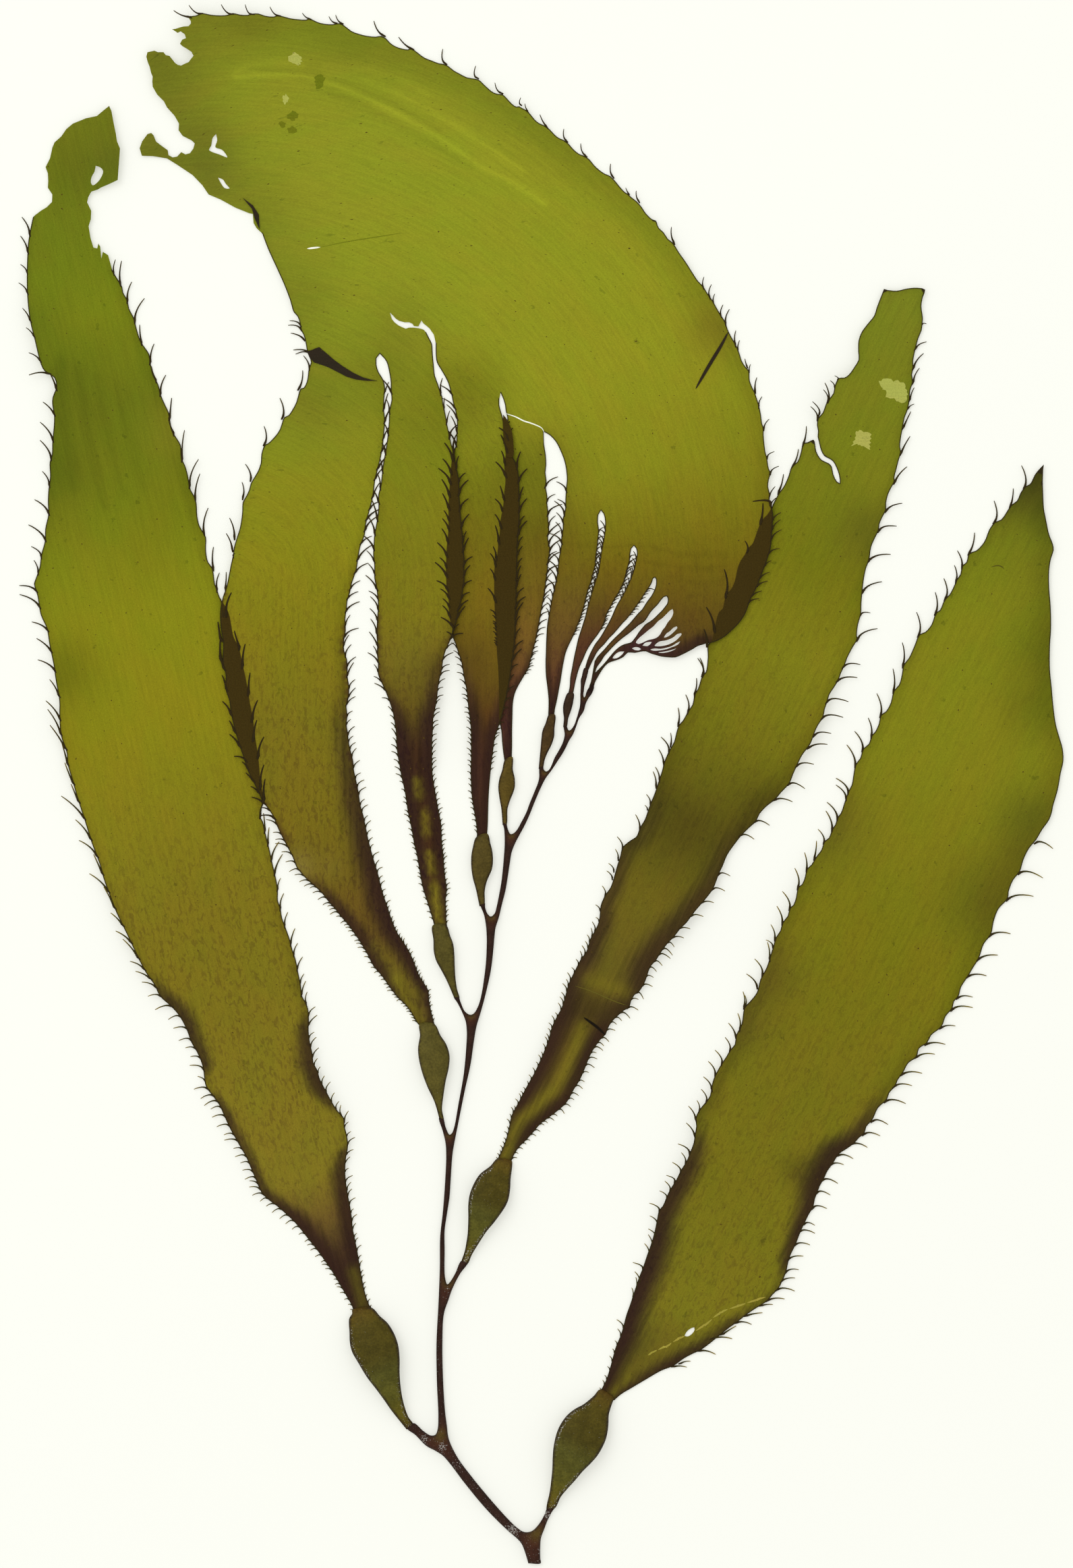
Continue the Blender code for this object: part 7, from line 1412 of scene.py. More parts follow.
def add_spines(piece, spines, line, sense, height, over=None, backing=()):
    """Adds spines to a piece. Those that lie under the sheet in over are drawn on its piece as dark ridges,
    painted shade of the spines seen through it. Those that end in front of a backing loop are dark and
    thicker, painted shade where a sheet lies behind them."""
    random = np.random.default_rng(len(spines))
    gold = random.uniform(*GOLD_SHARE, len(spines))
    for spine, tip_share in zip(spines, gold):
        path = spine_path(spine, line, sense, random)
        length = np.hypot(spine[2] - spine[0], spine[3] - spine[1])
        # A spine with another sheet behind it is drawn dark, as painted shade
        backed = bool(backing) and bool(inside(path[[-1]], backing).any())
        thick = SPINE_THINNEST + SPINE_THICKER_BY_LENGTH * min(length, 5.0)
        thick = thick * (SHADED_SPINE_FACTOR if backed else 1.0)
        tip_share = 0.0 if backed else tip_share
        t = np.linspace(0, 1, len(path))
        radii = thick * np.interp(t, SPINE_AT, SPINE_SHAPE)
        share = (1.0 - 0.85 * smooth_step(spine[1], *GOLD_TIPS_FADE)) * tip_share
        colours = mixed(np.tile(linear(SPINE_ROOT), (len(path), 1)), linear(SPINE_MIDDLE),
                        share * smooth_step(t, 0.1, 0.5))
        colours = mixed(colours, linear(SPINE_TIP), share * smooth_step(t, 0.55, 0.95))
        owner, z = piece, height(path[:, 0], path[:, 1]) + SHEET_MIDDLE
        # A spine under the sheet in over is drawn on top of it as a dark ridge of painted shade
        if over and inside(path[[4, -1]], over["loops"]).all():
            owner, z = over["piece"], over["height"](path[:, 0], path[:, 1]) + SHEET_TOP
            radii = SHADED_SPINE_FACTOR * radii
            colours = np.tile(linear(SPINE_ROOT), (len(path), 1))
        owner.add_spine(np.column_stack([path, z]), radii, colours)


# Swollen bodies

def swelling(flat, faces):
    """Half-width of the round section that fits the outline at each point."""
    count = len(flat)
    stiffness = np.zeros((count, count))
    load = np.zeros(count)
    a, b, c = flat[faces[:, 0]], flat[faces[:, 1]], flat[faces[:, 2]]
    area = 0.5 * np.abs((b[:, 0] - a[:, 0]) * (c[:, 1] - a[:, 1]) - (b[:, 1] - a[:, 1]) * (c[:, 0] - a[:, 0]))
    for k in range(3):
        i, j, o = faces[:, k], faces[:, (k + 1) % 3], faces[:, (k + 2) % 3]
        np.add.at(load, i, 2.0 * area / 3.0)
        u, v = flat[i] - flat[o], flat[j] - flat[o]
        cross = np.abs(u[:, 0] * v[:, 1] - u[:, 1] * v[:, 0])
        weight = 0.5 * (u * v).sum(axis=1) / np.maximum(cross, TINY)
        np.add.at(stiffness, (i, j), -weight)
        np.add.at(stiffness, (j, i), -weight)
        np.add.at(stiffness, (i, i), weight)
        np.add.at(stiffness, (j, j), weight)
    free = np.ones(count, bool)
    free[[i for edge in rim_edges(faces) for i in edge]] = False
    result = np.zeros(count)
    result[free] = np.linalg.solve(stiffness[np.ix_(free, free)], load[free])
    return np.sqrt(np.maximum(result, 0.0))


def add_swollen(piece, loop, fullness, lift, step, paint):
    """A float or stipe, rounder with more fullness and arched up by lift between its ends."""
    loop = smoothed_loop(loop, 0.8 * step)
    flat, faces = triangulate([loop], inner_grid([loop], step, 0.45 * step))
    swell = fullness * swelling(flat, faces)
    start = np.array(loop[0])
    end = flat[np.argmax(np.hypot(*(flat - start).T))]
    along = np.clip((flat - start) @ (end - start) / np.sum((end - start) ** 2), 0, 1)
    middle = BODY_MIDDLE + lift * np.sin(math.pi * along)
    half = BODY_RIM_HALF + swell
    bottom = np.maximum(middle - half, BODY_LOWEST)
    piece.add_solid(flat, faces, bottom, middle + half, **paint(flat, along, loop))


# Materials

class Nodes:
    """Short calls for building a node tree."""

    def __init__(self, name):
        self.material = bpy.data.materials.new(name)
        self.material.use_nodes = True
        self.tree = self.material.node_tree
        self.shader = self.tree.nodes["Principled BSDF"]

    def put(self, socket, value):
        if isinstance(value, bpy.types.NodeSocket):
            self.tree.links.new(value, socket)
        else:
            socket.default_value = value

    def attribute(self, name, output):
        node = self.tree.nodes.new("ShaderNodeAttribute")
        node.attribute_name = name
        return node.outputs[output]

    def noise(self, vector, scale, detail=3.0, roughness=0.55, distortion=0.0):
        node = self.tree.nodes.new("ShaderNodeTexNoise")
        self.put(node.inputs["Vector"], vector)
        for key, value in (("Scale", scale), ("Detail", detail), ("Roughness", roughness),
                           ("Distortion", distortion)):
            node.inputs[key].default_value = value
        return node.outputs["Fac"]

    def stretched(self, vector, scale):
        node = self.tree.nodes.new("ShaderNodeVectorMath")
        node.operation = "MULTIPLY"
        self.put(node.inputs[0], vector)
        node.inputs[1].default_value = scale
        return node.outputs["Vector"]

    def maths(self, operation, first, second=0.0):
        node = self.tree.nodes.new("ShaderNodeMath")
        node.operation = operation
        self.put(node.inputs[0], first)
        self.put(node.inputs[1], second)
        return node.outputs["Value"]

    def spread(self, value, low, high, to_low=0.0, to_high=1.0):
        node = self.tree.nodes.new("ShaderNodeMapRange")
        node.interpolation_type = "SMOOTHSTEP"
        for key, item in (("Value", value), ("From Min", low), ("From Max", high), ("To Min", to_low),
                          ("To Max", to_high)):
            self.put(node.inputs[key], item)
        return node.outputs["Result"]

    def mix(self, factor, first, second, mode="MIX"):
        node = self.tree.nodes.new("ShaderNodeMix")
        node.data_type = "RGBA"
        node.blend_type = mode
        self.put(node.inputs["Factor"], factor)
        self.put(node.inputs[6], first)
        self.put(node.inputs[7], second)
        return node.outputs[2]

    def times(self, colour, factor):
        return self.mix(1.0, colour, factor, "MULTIPLY")

    def bump(self, height, strength, distance):
        node = self.tree.nodes.new("ShaderNodeBump")
        node.inputs["Strength"].default_value = strength
        node.inputs["Distance"].default_value = distance
        self.put(node.inputs["Height"], height)
        self.put(self.shader.inputs["Normal"], node.outputs["Normal"])


def solid_colour(colour):
    return (*linear(colour), 1.0)


def blade_material():
    """For the sheets: their vertex colours, with mottling, wrinkles, streaks, grain, dark rims, and painted
    shade where a sheet lies over another.
    """
    n = Nodes("kelp_blade")
    flow, tint = n.attribute("flow", "Vector"), n.attribute("tint", "Color")
    mottle = n.noise(n.stretched(flow, (0.05, 0.09, 1)), 1.0, 4.0, 0.6)
    greener = n.times(tint, (0.97, 1.03, 0.94, 1.0))
    browner = n.times(tint, (1.03, 1.0, 0.97, 1.0))
    colour = n.mix(n.spread(mottle, 0.35, 0.65), greener, browner)
    # Short soft wrinkles, darker and browner, 1 to 3 mm long
    wrinkle = n.noise(n.stretched(flow, (0.45, 0.9, 1)), 1.0, 2.0, 0.5, 1.1)
    wrinkle = n.maths("MULTIPLY", n.spread(wrinkle, 0.47, 0.68), n.attribute("wrinkled", "Fac"))
    colour = n.mix(wrinkle, colour, n.times(colour, (0.74, 0.68, 0.93, 1.0)))
    # Streaks where the brown margins fade
    band = n.attribute("band", "Fac")
    fading = n.maths("MULTIPLY", band, n.maths("SUBTRACT", 1.0, band))
    streak = n.spread(n.noise(n.stretched(flow, (0.05, 0.8, 1)), 1.0, 3.0, 0.6), 0.3, 0.7, -0.8, 0.8)
    streaked = n.maths("ADD", 1.0, n.maths("MULTIPLY", fading, streak))
    colour = n.times(colour, streaked)
    # Fine lines along the growth, darker blotches, grain and small specks
    fibre = n.noise(n.stretched(flow, (0.07, 1.3, 1)), 1.0, 2.0, 0.6)
    colour = n.times(colour, n.spread(fibre, 0.3, 0.7, 0.95, 1.05))
    blotch = n.spread(n.noise(flow, 0.3, 4.0, 0.62), 0.655, 0.685)
    colour = n.mix(blotch, colour, n.times(colour, (0.76, 0.78, 0.8, 1.0)))
    grain = n.noise(flow, 2.6, 3.0, 0.75)
    colour = n.times(colour, n.spread(grain, 0.25, 0.75, 0.86, 1.12))
    specks = n.noise(flow, 1.1, 1.0, 0.5)
    colour = n.mix(n.spread(specks, 0.75, 0.78), colour, solid_colour(SPECK))
    # Painted shade where the sheet lies over another, and the dark rim
    doubled = n.times(solid_colour(DOUBLED_SHADE), n.spread(grain, 0.25, 0.75, 0.8, 1.2))
    colour = n.mix(n.spread(n.attribute("under", "Fac"), -0.12, 0.12), colour, doubled)
    rim = n.spread(n.attribute("edge", "Fac"), 0.42, 0.12)
    colour = n.mix(rim, colour, solid_colour(DARK_RIM))
    n.put(n.shader.inputs["Base Color"], colour)
    n.put(n.shader.inputs["Roughness"], n.spread(mottle, 0.3, 0.7, 0.6, 0.48))
    n.put(n.shader.inputs["Specular IOR Level"], 0.03)
    relief = n.noise(n.stretched(flow, (0.22, 0.7, 1)), 1.0, 3.0, 0.55)
    n.bump(n.maths("ADD", relief, n.maths("MULTIPLY", grain, 0.25)), 0.35, 0.0006)
    return n.material


def body_material(name, grain_scale, rough, relief_depth):
    """For floats and stipe: their vertex colours, with mottling and a broken white salt bloom."""
    n = Nodes(name)
    flow, tint = n.attribute("flow", "Vector"), n.attribute("tint", "Color")
    mottle = n.noise(flow, 0.35, 3.0, 0.6)
    colour = n.times(tint, n.spread(mottle, 0.35, 0.65, 0.86, 1.14))
    grain = n.noise(flow, grain_scale, 3.0, 0.65)
    colour = n.times(colour, n.spread(grain, 0.25, 0.75, 0.78, 1.22))
    crust = n.noise(flow, 2.7, 2.0, 0.7)
    crust = n.maths("ADD", crust, n.maths("MULTIPLY", n.attribute("salt", "Fac"), 0.26))
    colour = n.mix(n.spread(crust, 0.74, 0.79, 0.0, 0.9), colour, solid_colour(SALT))
    n.put(n.shader.inputs["Base Color"], colour)
    n.put(n.shader.inputs["Roughness"], rough)
    n.put(n.shader.inputs["Specular IOR Level"], 0.05)
    n.bump(n.maths("ADD", mottle, n.maths("MULTIPLY", grain, 0.4)), 0.4, relief_depth)
    return n.material


# Paint of each organ

def side_blade_paint(number, drawn):
    """Colours of a freed blade by the distance from its base, with its bands, glows and soft patches."""
    bands = {f"blade_{number}_left": drawn["left"], f"blade_{number}_right": drawn["right"]}

    def paint(flat):
        along, across = along_axis(flat, *drawn["axis"])
        colour, band = with_bands(flat, ramp(along, drawn["ramp"]), bands)
        colour = with_streaks(flat, with_glows(flat, colour, drawn["glows"]), BLADE_2_STREAKS)
        return {
            "tint": with_shades(flat, colour, drawn["shades"]),
            "flow": flow_of(along, across),
            "wrinkled": np.interp(along, *zip(*drawn["wrinkles"])),
            "band": band,
        }
    return paint


def growth_lines(flat):
    """Distance along and across the terminal blade's growth, which goes up the strips and round the crown,
    and the angle round the crown."""
    dx, dy = flat[:, 0] - CROWN_CENTRE[0], flat[:, 1] - CROWN_CENTRE[1]
    radius = np.hypot(dx, np.maximum(dy, 0.0))
    along = np.where(dy > 0, radius * np.arctan2(np.maximum(dy, 0.0), dx), dy)
    return along, radius, np.degrees(np.arctan2(dy, dx))


def strip_loops():
    """Outlines of the main sheet's strips, open at the top."""
    below_fold = [p for p in STRIP_D_LEFT if p[1] < FOLD_BOTTOM]
    return {
        "d": below_fold + STRIP_D_RIGHT,
        "e": STRIP_E_LEFT + STRIP_E_RIGHT,
        "g": STRIP_G_LEFT + STRIP_G_RIGHT,
        "h": STRIP_H_LEFT + STRIP_H_RIGHT,
        "i": STRIP_I_LEFT + STRIP_I_RIGHT,
        "j": STRIP_J_LEFT + STRIP_J_RIGHT,
    }


def terminal_paint(flat):
    """The main sheet: coloured up each strip, then round the crown."""
    along, across, angle = growth_lines(flat)
    crown = ramp(angle, CROWN_RAMP)
    colour = crown.copy()
    for name, loop in strip_loops().items():
        mask = inside(flat, [loop])
        rise = smooth_step(flat[:, 1], STRIP_TOPS[name] - STRIP_BLEND, STRIP_TOPS[name])
        strip = mixed(ramp(flat[:, 1], STRIP_RAMPS[name]), crown, rise)
        colour[mask] = strip[mask]
    colour, band = with_bands(flat, colour, {name: TERMINAL_MARGINS[name] for name in BANDED_MARGINS})
    colour = with_shades(flat, with_glows(flat, colour, TERMINAL_GLOWS), TERMINAL_SHADES)
    return {
        "tint": with_streaks(flat, colour, CROWN_STREAKS),
        "flow": flow_of(along, across),
        "wrinkled": 1.0 - 0.8 * smooth_step(flat[:, 1], 200, 300),
        "band": band,
    }


def strip_f_paint(flat):
    along, across, angle = growth_lines(flat)
    crown = ramp(angle, CROWN_RAMP)
    rise = smooth_step(flat[:, 1], STRIP_TOPS["f"] - STRIP_BLEND, STRIP_TOPS["f"])
    colour = mixed(ramp(flat[:, 1], STRIP_RAMPS["f"]), crown, rise)
    bands = {"strip_f_left": STRIP_F_LEFT, "strip_f_right": STRIP_F_RIGHT}
    colour, band = with_bands(flat, colour, bands)
    return {
        "tint": with_shades(flat, colour, TERMINAL_SHADES),
        "flow": flow_of(along, across),
        "wrinkled": np.full(len(flat), 0.4),
        "band": band,
    }


def float_paint(skin, salt):
    """Dark rims of painted shade; the big ones also change colour lengthways and
    have salt along two stretches of rim.
    """
    def paint(flat, along, loop):
        colour = ramp(along, FLOAT_RAMP) if salt else np.tile(linear(skin), (len(flat), 1))
        away = edge_distance(flat, [loop])
        ends = 1 - smooth_step(along, 0.95, 0.99)
        # Painted shade round the rim, left off at the far end
        rim = (1 - smooth_step(away, 0.2, 0.75 if salt else 0.45)) * ends
        start, end = flat[np.argmin(along)], flat[np.argmax(along)]
        offset = flat - start
        on_left = offset[:, 1] * (end - start)[0] - offset[:, 0] * (end - start)[1] > 0
        upper_left = on_left * smooth_step(along, 0.36, 0.5) * (1 - smooth_step(along, 0.85, 0.93))
        lower_right = ~on_left * (1 - smooth_step(along, 0.32, 0.44))
        bloom = 0.75 * (upper_left + lower_right) * np.exp(-(((away - 0.7) / 0.4) ** 2)) + 0.15
        return {"tint": mixed(colour, linear(FLOAT_RIM), 0.95 * rim), "salt": salt * bloom * ends}
    return paint


def stipe_paint(flat, along, loop):
    """Dark, warmer at the forks and pale in their crotches, with painted shade along its sides, and salt in
    patches and low down.
    """
    away = edge_distance(flat, [loop])
    colour = np.tile(linear(STIPE_MIDDLE), (len(flat), 1))
    for x, y, size in FORKS:
        from_fork = np.hypot(flat[:, 0] - x, flat[:, 1] - y)
        from_crotch = np.hypot(flat[:, 0] - x, flat[:, 1] - y - 0.3 * size)
        colour = mixed(colour, linear(STIPE_FORK), 0.8 * np.exp(-((from_fork / size) ** 2)))
        crotch = 0.25 * size + 0.4
        colour = mixed(colour, linear(STIPE_CROTCH), 0.8 * np.exp(-((from_crotch / crotch) ** 2)))
    # Painted shade along the sides
    colour = mixed(colour, linear(FLOAT_RIM), 0.75 * (1 - smooth_step(away, 0.15, 0.6)))
    salt = 0.3 * (1 - smooth_step(flat[:, 1], 60, 110))
    for x, y, reach, strength in SALT_PATCHES:
        from_patch = np.hypot(flat[:, 0] - x, flat[:, 1] - y)
        salt = np.maximum(salt, strength * np.exp(-((from_patch / reach) ** 2)))
    return {"tint": colour, "salt": salt}


# The pieces

stipe_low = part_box("stipe")[0]
SHIFT = (stipe_low.x / MM - min(p[0] for p in STIPE), stipe_low.y / MM - min(p[1] for p in STIPE))
LEAF = blade_material()
FLOAT_SKIN = body_material("kelp_float", 1.8, 0.45, 0.0004)
STIPE_SKIN = body_material("kelp_stipe", 2.4, 0.6, 0.0003)

# What each freed blade is drawn and painted with. Its axis runs from base to tip, and its wrinkles are a
# distance from the base and a share
SIDE_BLADES = {
    1: {
        "left": BLADE_1_LEFT, "end": [], "right": BLADE_1_RIGHT, "holes": [HOLE_NEAR_BASE],
        "height": blade_1_height, "axis": ((161, 47), (280, 292)), "ramp": BLADE_1_RAMP,
        "wrinkles": [(0, 0.1), (30, 0.8), (90, 0.6), (180, 0.25)],
        "glows": BLADE_1_GLOWS, "shades": BLADE_1_SHADES,
    },
    2: {
        "left": BLADE_2_LEFT, "end": BLADE_2_END, "right": BLADE_2_RIGHT, "holes": [BLADE_2_HOLE],
        "height": blade_2_height, "axis": ((96, 68), (20, 390)), "ramp": BLADE_2_RAMP,
        "wrinkles": [(0, 0.1), (35, 0.7), (60, 1.0), (115, 0.9), (140, 0.4), (170, 0.12)],
        "glows": BLADE_2_GLOWS, "shades": BLADE_2_SHADES,
    },
    3: {
        "left": BLADE_3_LEFT, "end": [], "right": BLADE_3_RIGHT, "holes": [],
        "height": blade_3_height, "axis": ((134, 108), (243, 341)), "ramp": BLADE_3_RAMP,
        "wrinkles": [(0, 0.1), (40, 0.3), (120, 0.5), (200, 0.2)],
        "glows": BLADE_3_GLOWS, "shades": BLADE_3_SHADES,
    },
}

# Spines of the freed blades that are placed singly, and the rows by rule of margins whose row isn't one
# with the margin's name
SINGLE_SPINES = {
    "blade_1_left": BLADE_1_LEFT_SPINES, "blade_1_right": BLADE_1_RIGHT_SPINES,
    "blade_2_right": BLADE_2_RIGHT_SPINES, "blade_3_left": BLADE_3_LEFT_SPINES,
    "blade_3_right": BLADE_3_RIGHT_SPINES,
}
OTHER_ROWS = {"blade_1_right": [], "blade_2_right": ["blade_2_right", "blade_2_right_top"]}
COVERED_MARGINS = ("blade_2_right", "blade_3_left")

# Lines drawn on the terminal blade: width, colour, how far the top stands proud, depth
TERMINAL_LINES = [
    (GROWING_POINT, 1.5, FLOAT_RIM, 0.05, 0.4),
    # The right fold is dark with painted shade
    (RIGHT_FOLD, 0.9, FOLD_SHADE, 0.15, 0.15),
    (HEAD_CRACK, 0.35, PAPER, INLAY_LIFT, INLAY_DEPTH),
    (SHORT_TEAR, 0.5, PAPER, INLAY_LIFT, INLAY_DEPTH),
    (TEAR_LINE, 0.2, DARK_SPOT, INLAY_LIFT, INLAY_DEPTH),
]


def build_side_blade(number):
    """The sheet of one freed blade, kept with its rounded margins and its outline."""
    drawn = SIDE_BLADES[number]
    piece = Builder(f"kelp_blade_{number}", f"blade_{number}", "side_blade")
    left, right = smoothed(drawn["left"]), smoothed(drawn["right"])
    outline = left + drawn["end"] + right
    holes = [smoothed_loop(hole) for hole in drawn["holes"]]
    add_sheet(piece, [outline] + holes, drawn["height"], [left, right], side_blade_paint(number, drawn))
    return {"piece": piece, "left": left, "right": right, "outline": outline, "height": drawn["height"]}


def ragged(loop, seed, step=0.5, jag=0.3):
    """A closed outline made uneven, as a torn or stained patch is."""
    random = np.random.default_rng(seed)
    points = np.array(smoothed_loop(loop, step))
    middle = points.mean(axis=0)
    out = points - middle
    out /= np.maximum(np.hypot(*out.T), TINY)[:, None]
    return [tuple(p) for p in points + out * random.uniform(-jag, jag, len(points))[:, None]]


def terminal_outlines(margins):
    """The outline of the main sheet, and of the strip that lies under it on one side and over it on the
    other."""
    outer = margins["strip_d_left"] + CROWN_TORN_END + margins["crown_top"] + margins["lower_edge"]
    outer += margins["slit_7"]
    for strip in "jihg":
        outer += margins[f"strip_{strip}_right"] + margins[f"strip_{strip}_left"]
    outer += STRIP_F_SEAM[::-1] + SLIT_2_HEAD + margins["strip_e_right"] + margins["strip_e_left"]
    outer += margins["strip_d_right"]
    strip_f = [margins["strip_g_left"][-1]] + margins["strip_f_right"] + margins["strip_f_left"]
    strip_f += [SLIT_2_HEAD[0]] + STRIP_F_SEAM
    return outer, strip_f


def stretch(line, low, high):
    """The points of a line between two heights on the sheet."""
    return [p for p in line if low < p[1] < high]


def add_terminal_sheets(terminal, margins, outer, strip_f, blades):
    """Both sheets of the terminal blade, with painted shade where they lie over another sheet."""
    def over_others(flat):
        over_2 = depth_inside(flat, blades[2]["outline"])
        over_3 = depth_inside(flat, blades[3]["outline"])
        over_f = np.where(flat[:, 1] < OVER_STRIP_F_TOP, depth_inside(flat, strip_f), -FAR)
        return np.maximum(np.maximum(over_2, over_3), over_f)

    def over_main(flat):
        return np.where(flat[:, 1] < STRIP_TOPS["f"], depth_inside(flat, outer), -FAR)

    holes = [smoothed_loop(SLIT_8)] + [smoothed_loop(h, 0.7) for h in TERMINAL_HOLES]
    rims = [line for name, line in margins.items() if not name.startswith("strip_f")]
    rims.append(holes[0] + holes[0][:1])
    crossing = [
        stretch(blades[2]["right"], *UNDER_BLADE_2), stretch(blades[3]["left"], *UNDER_BLADE_3),
        stretch(margins["strip_f_left"], *UNDER_STRIP_F),
    ]
    crossing += [smoothed(line) for line, _, _ in CROWN_STREAKS]
    add_sheet(terminal, [outer] + holes, terminal_height, rims, terminal_paint, crossing, over_others, FAN)
    add_sheet(terminal, [strip_f], strip_f_height, [margins["strip_f_left"], margins["strip_f_right"]],
              strip_f_paint, [stretch(margins["strip_g_left"], *UNDER_STRIP_G)], over_main, STRIP_F_BASE)


def spines_along(piece, line, height, name, single=(), rules=None, over=None, backing=()):
    """Spines along one margin: single ones, then rows by rule. Left margins are drawn towards the tip."""
    sense = 1 if name.endswith("left") else -1
    spines = list(single)
    for rule in [name] if rules is None else rules:
        spines += row_by_rule(rule, line, sense)
    add_spines(piece, spines, line, sense, height, over, backing)


def add_side_spines(blades, over_main):
    for number, blade in blades.items():
        for side in ("left", "right"):
            name = f"blade_{number}_{side}"
            over = over_main if name in COVERED_MARGINS else None
            spines_along(blade["piece"], blade[side], blade["height"], name, SINGLE_SPINES.get(name, ()),
                         OTHER_ROWS.get(name), over)


def add_terminal_spines(terminal, margins, over_main, over_f, blade_2):
    def along(name, height=terminal_height, line=None, **others):
        spines_along(terminal, margins[line or name], height, name, **others)

    along("crown_right", line="crown_top", single=CROWN_SPINES)
    along("strip_d_left", single=STRIP_D_SPINES, backing=[blade_2["outline"]])
    for strip in "deghij":
        along(f"strip_{strip}_right", backing=over_f["loops"])
    for strip in "ehij":
        along(f"strip_{strip}_left")
    along("strip_g_left", single=STRIP_G_LEFT_SPINES, rules=["strip_g_left", "strip_g_left_top"], over=over_f)
    along("strip_f_left", strip_f_height, over=over_main)
    along("strip_f_right", strip_f_height, backing=over_main["loops"])


def add_terminal_marks(terminal):
    # Painted shade in the two folds
    for loop in (FOLD_WEDGE, TORN_FOLD):
        add_inlay(terminal, loop, terminal_height, FOLD_SHADE, 0.25, 0.22)
    # The top of the overlap is dark with painted shade
    add_inlay(terminal, smoothed_loop(OVERLAP_TOP, 0.6), strip_f_height, DOUBLED_SHADE, 0.1, 0.15)
    for line, width, colour, lift, depth in TERMINAL_LINES:
        add_inlay(terminal, ribbon(line, width), terminal_height, colour, lift, depth)
    for seed, loop in enumerate(CROWN_PALE_SPOTS):
        add_inlay(terminal, ragged(loop, seed), terminal_height, PALE_SPOT)
    for seed, loop in enumerate(CROWN_DARK_SPOTS, 5):
        add_inlay(terminal, ragged(loop, seed), terminal_height, DARK_SPOT)


def add_side_marks(blade_1, blade_3):
    for seed, loop in enumerate(PALE_PATCHES, 9):
        add_inlay(blade_3, ragged(loop, seed, 0.6, 0.4), blade_3_height, PALE_SPOT)
    add_inlay(blade_3, ribbon(BLADE_3_LINE, 0.25), blade_3_height, FAINT_LINE)
    # Painted shade in a deep fold
    add_inlay(blade_3, ribbon(BLADE_3_FOLD, 0.7), blade_3_height, DEEP_FOLD_SHADE, 0.12, 0.12)
    for seed, line in enumerate(BASE_CRACKS, 20):
        add_inlay(blade_1, ragged(ribbon(line, 0.55), seed, 0.45, 0.14), blade_1_height, CRACK)
    # Painted shade in a crease
    add_inlay(blade_1, ribbon(BLADE_1_CREASE, 0.3), blade_1_height, CREASE_SHADE)


def build_blades():
    blades = {number: build_side_blade(number) for number in SIDE_BLADES}
    margins = {name: smoothed(line) for name, line in TERMINAL_MARGINS.items()}
    outer, strip_f = terminal_outlines(margins)
    terminal = Builder("kelp_terminal_blade", "terminal_blade", "terminal_blade")
    add_terminal_sheets(terminal, margins, outer, strip_f, blades)
    over_main = {"piece": terminal, "loops": [outer], "height": terminal_height}
    over_f = {"piece": terminal, "loops": [strip_f], "height": strip_f_height}
    add_side_spines(blades, over_main)
    add_terminal_spines(terminal, margins, over_main, over_f, blades[2])
    add_terminal_marks(terminal)
    add_side_marks(blades[1]["piece"], blades[3]["piece"])
    for piece in [blade["piece"] for blade in blades.values()] + [terminal]:
        piece.finish(LEAF)


def lengthened(loop):
    """A float's outline with both ends carried on to meet its neighbours."""
    points = np.array(loop)
    start = (points[0] + points[-1]) / 2
    end = points[np.argmax(np.hypot(*(points - start).T))]
    axis = (end - start) / np.hypot(*(end - start))
    along = (points - start) @ axis
    reach = along.max()
    neck = BIG_NECK if reach > BIG_FLOAT_LENGTH else SMALL_NECK
    move = np.where(along < 0.03 * reach, -neck, 0.0) + np.where(along > 0.93 * reach, neck, 0.0)
    return [tuple(p) for p in points + move[:, None] * axis]


def build_bodies():
    for (name, loop), skin in zip(FLOATS.items(), FLOAT_SKINS):
        width = 2.3 * edge_distance(inner_grid([loop], 0.5, 0.1), [loop]).max()
        piece = Builder(f"kelp_{name}", name, "float")
        step = BODY_STEP if width > BIG_FLOAT_WIDTH else FINE_BODY_STEP
        add_swollen(piece, lengthened(loop), FLOAT_FULLNESS, max(0.21 * width - 0.7, 0.0), step,
                    float_paint(skin, FLOAT_SALT.get(name, 0.0)))
        piece.finish(FLOAT_SKIN)
    piece = Builder("kelp_stipe", "stipe", "stipe")
    add_swollen(piece, STIPE[::-1], STIPE_FULLNESS, 0.0, BODY_STEP, stipe_paint)
    piece.finish(STIPE_SKIN)


# Surface, light and camera

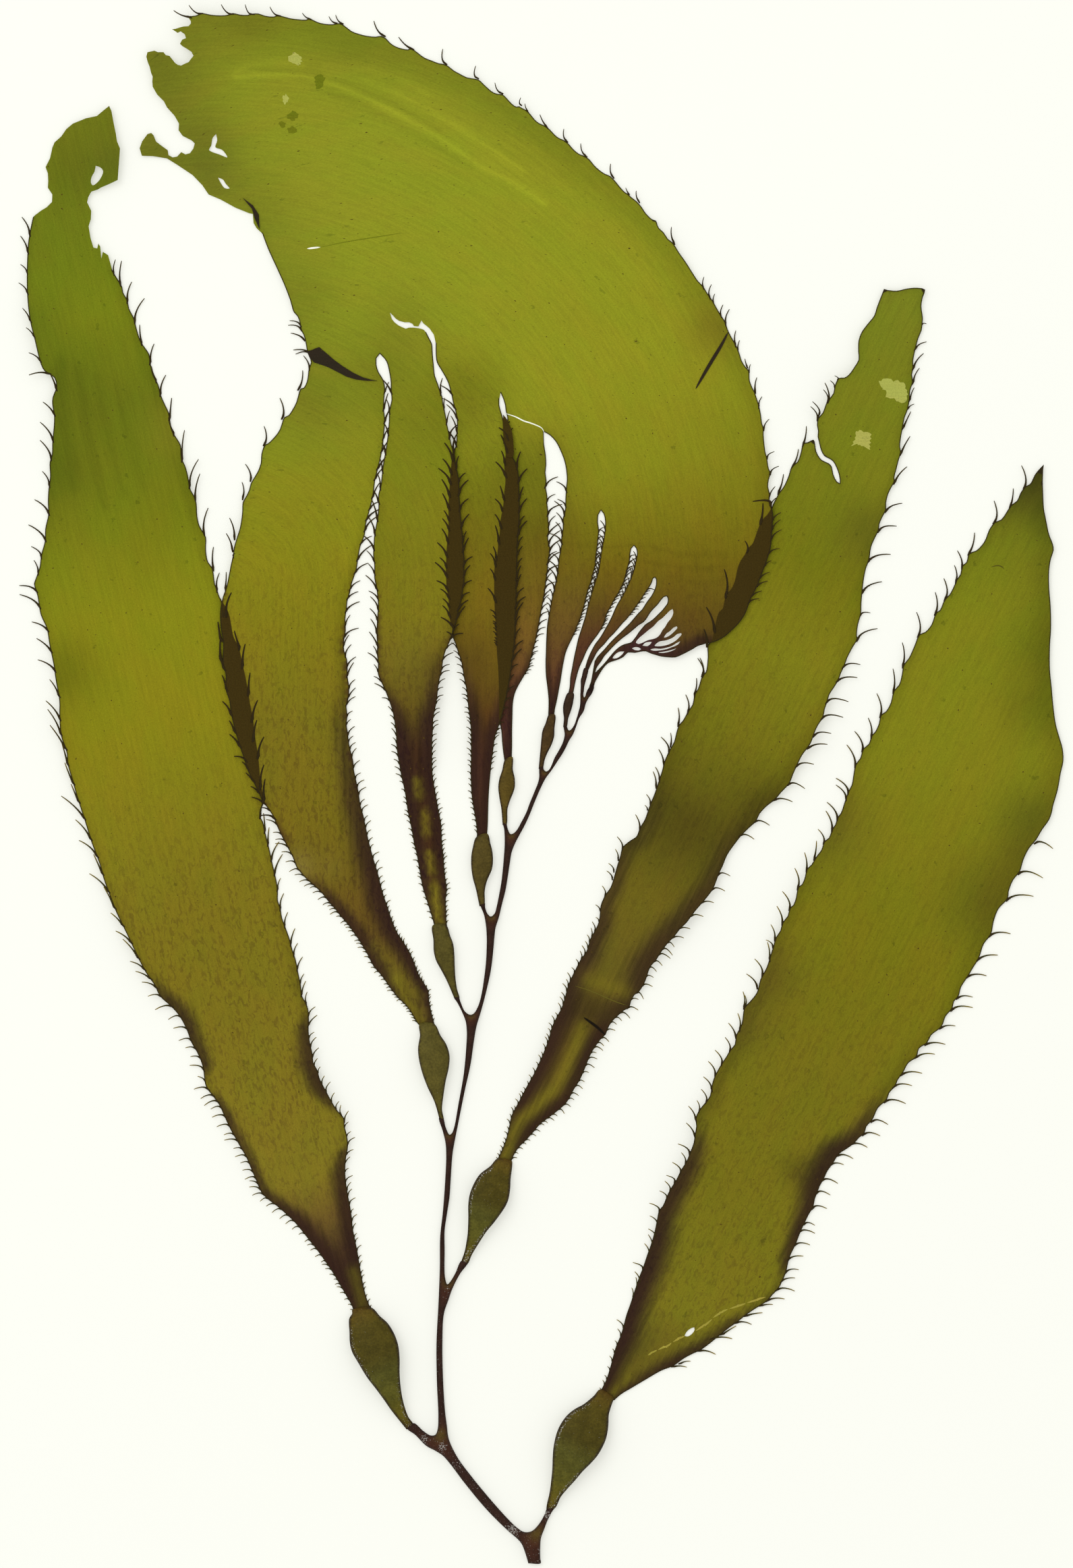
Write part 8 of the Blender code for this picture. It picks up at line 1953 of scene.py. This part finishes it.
def build_floor():
    mesh = bpy.data.meshes.new("floor")
    corners = [(x * FLOOR_HALF, y * FLOOR_HALF, 0) for x, y in ((-1, -1), (1, -1), (1, 1), (-1, 1))]
    mesh.from_pydata(corners, [], [(0, 1, 2, 3)])
    floor = bpy.data.objects.new("floor", mesh)
    floor.location.z = -FLOOR_GAP
    bpy.context.scene.collection.objects.link(floor)
    n = Nodes("pale_surface")
    n.put(n.shader.inputs["Base Color"], FLOOR_COLOUR)
    n.put(n.shader.inputs["Emission Color"], FLOOR_GLOW)
    n.put(n.shader.inputs["Emission Strength"], FLOOR_GLOW_STRENGTH)
    n.put(n.shader.inputs["Roughness"], 0.9)
    n.put(n.shader.inputs["Specular IOR Level"], 0.1)
    mesh.materials.append(n.material)


def add_area(name, location, size, power):
    """A square lamp that points at the middle of the frond."""
    light = bpy.data.lights.new(name, "AREA")
    light.size = size
    light.energy = power
    item = bpy.data.objects.new(name, light)
    item.location = location
    item.rotation_euler = (-Vector(location)).to_track_quat("-Z", "Y").to_euler()
    bpy.context.scene.collection.objects.link(item)


def build_light():
    world = bpy.data.worlds.new("soft_room")
    world.use_nodes = True
    background = world.node_tree.nodes["Background"]
    background.inputs["Color"].default_value = (1.0, 1.0, 1.0, 1.0)
    background.inputs["Strength"].default_value = ROOM_STRENGTH
    bpy.context.scene.world = world
    add_area("key", LAMP_PLACE, LAMP_SIZE, LAMP_POWER)
    bpy.context.scene.view_settings.view_transform = "Standard"


def build_camera():
    """Straight down on the middle of the photo, from where its height fills the picture."""
    camera = bpy.data.cameras.new("camera")
    camera.lens = LENS
    camera.sensor_width = SENSOR
    camera.clip_end = 50.0
    item = bpy.data.objects.new("camera", camera)
    centre = (PHOTO_WIDTH / 2 + SHIFT[0], PHOTO_HEIGHT / 2 + SHIFT[1])
    item.location = (centre[0] * MM, centre[1] * MM, PHOTO_HEIGHT * MM * LENS / SENSOR)
    bpy.context.scene.collection.objects.link(item)
    bpy.context.scene.camera = item


build_blades()
build_bodies()
build_floor()
build_light()
build_camera()
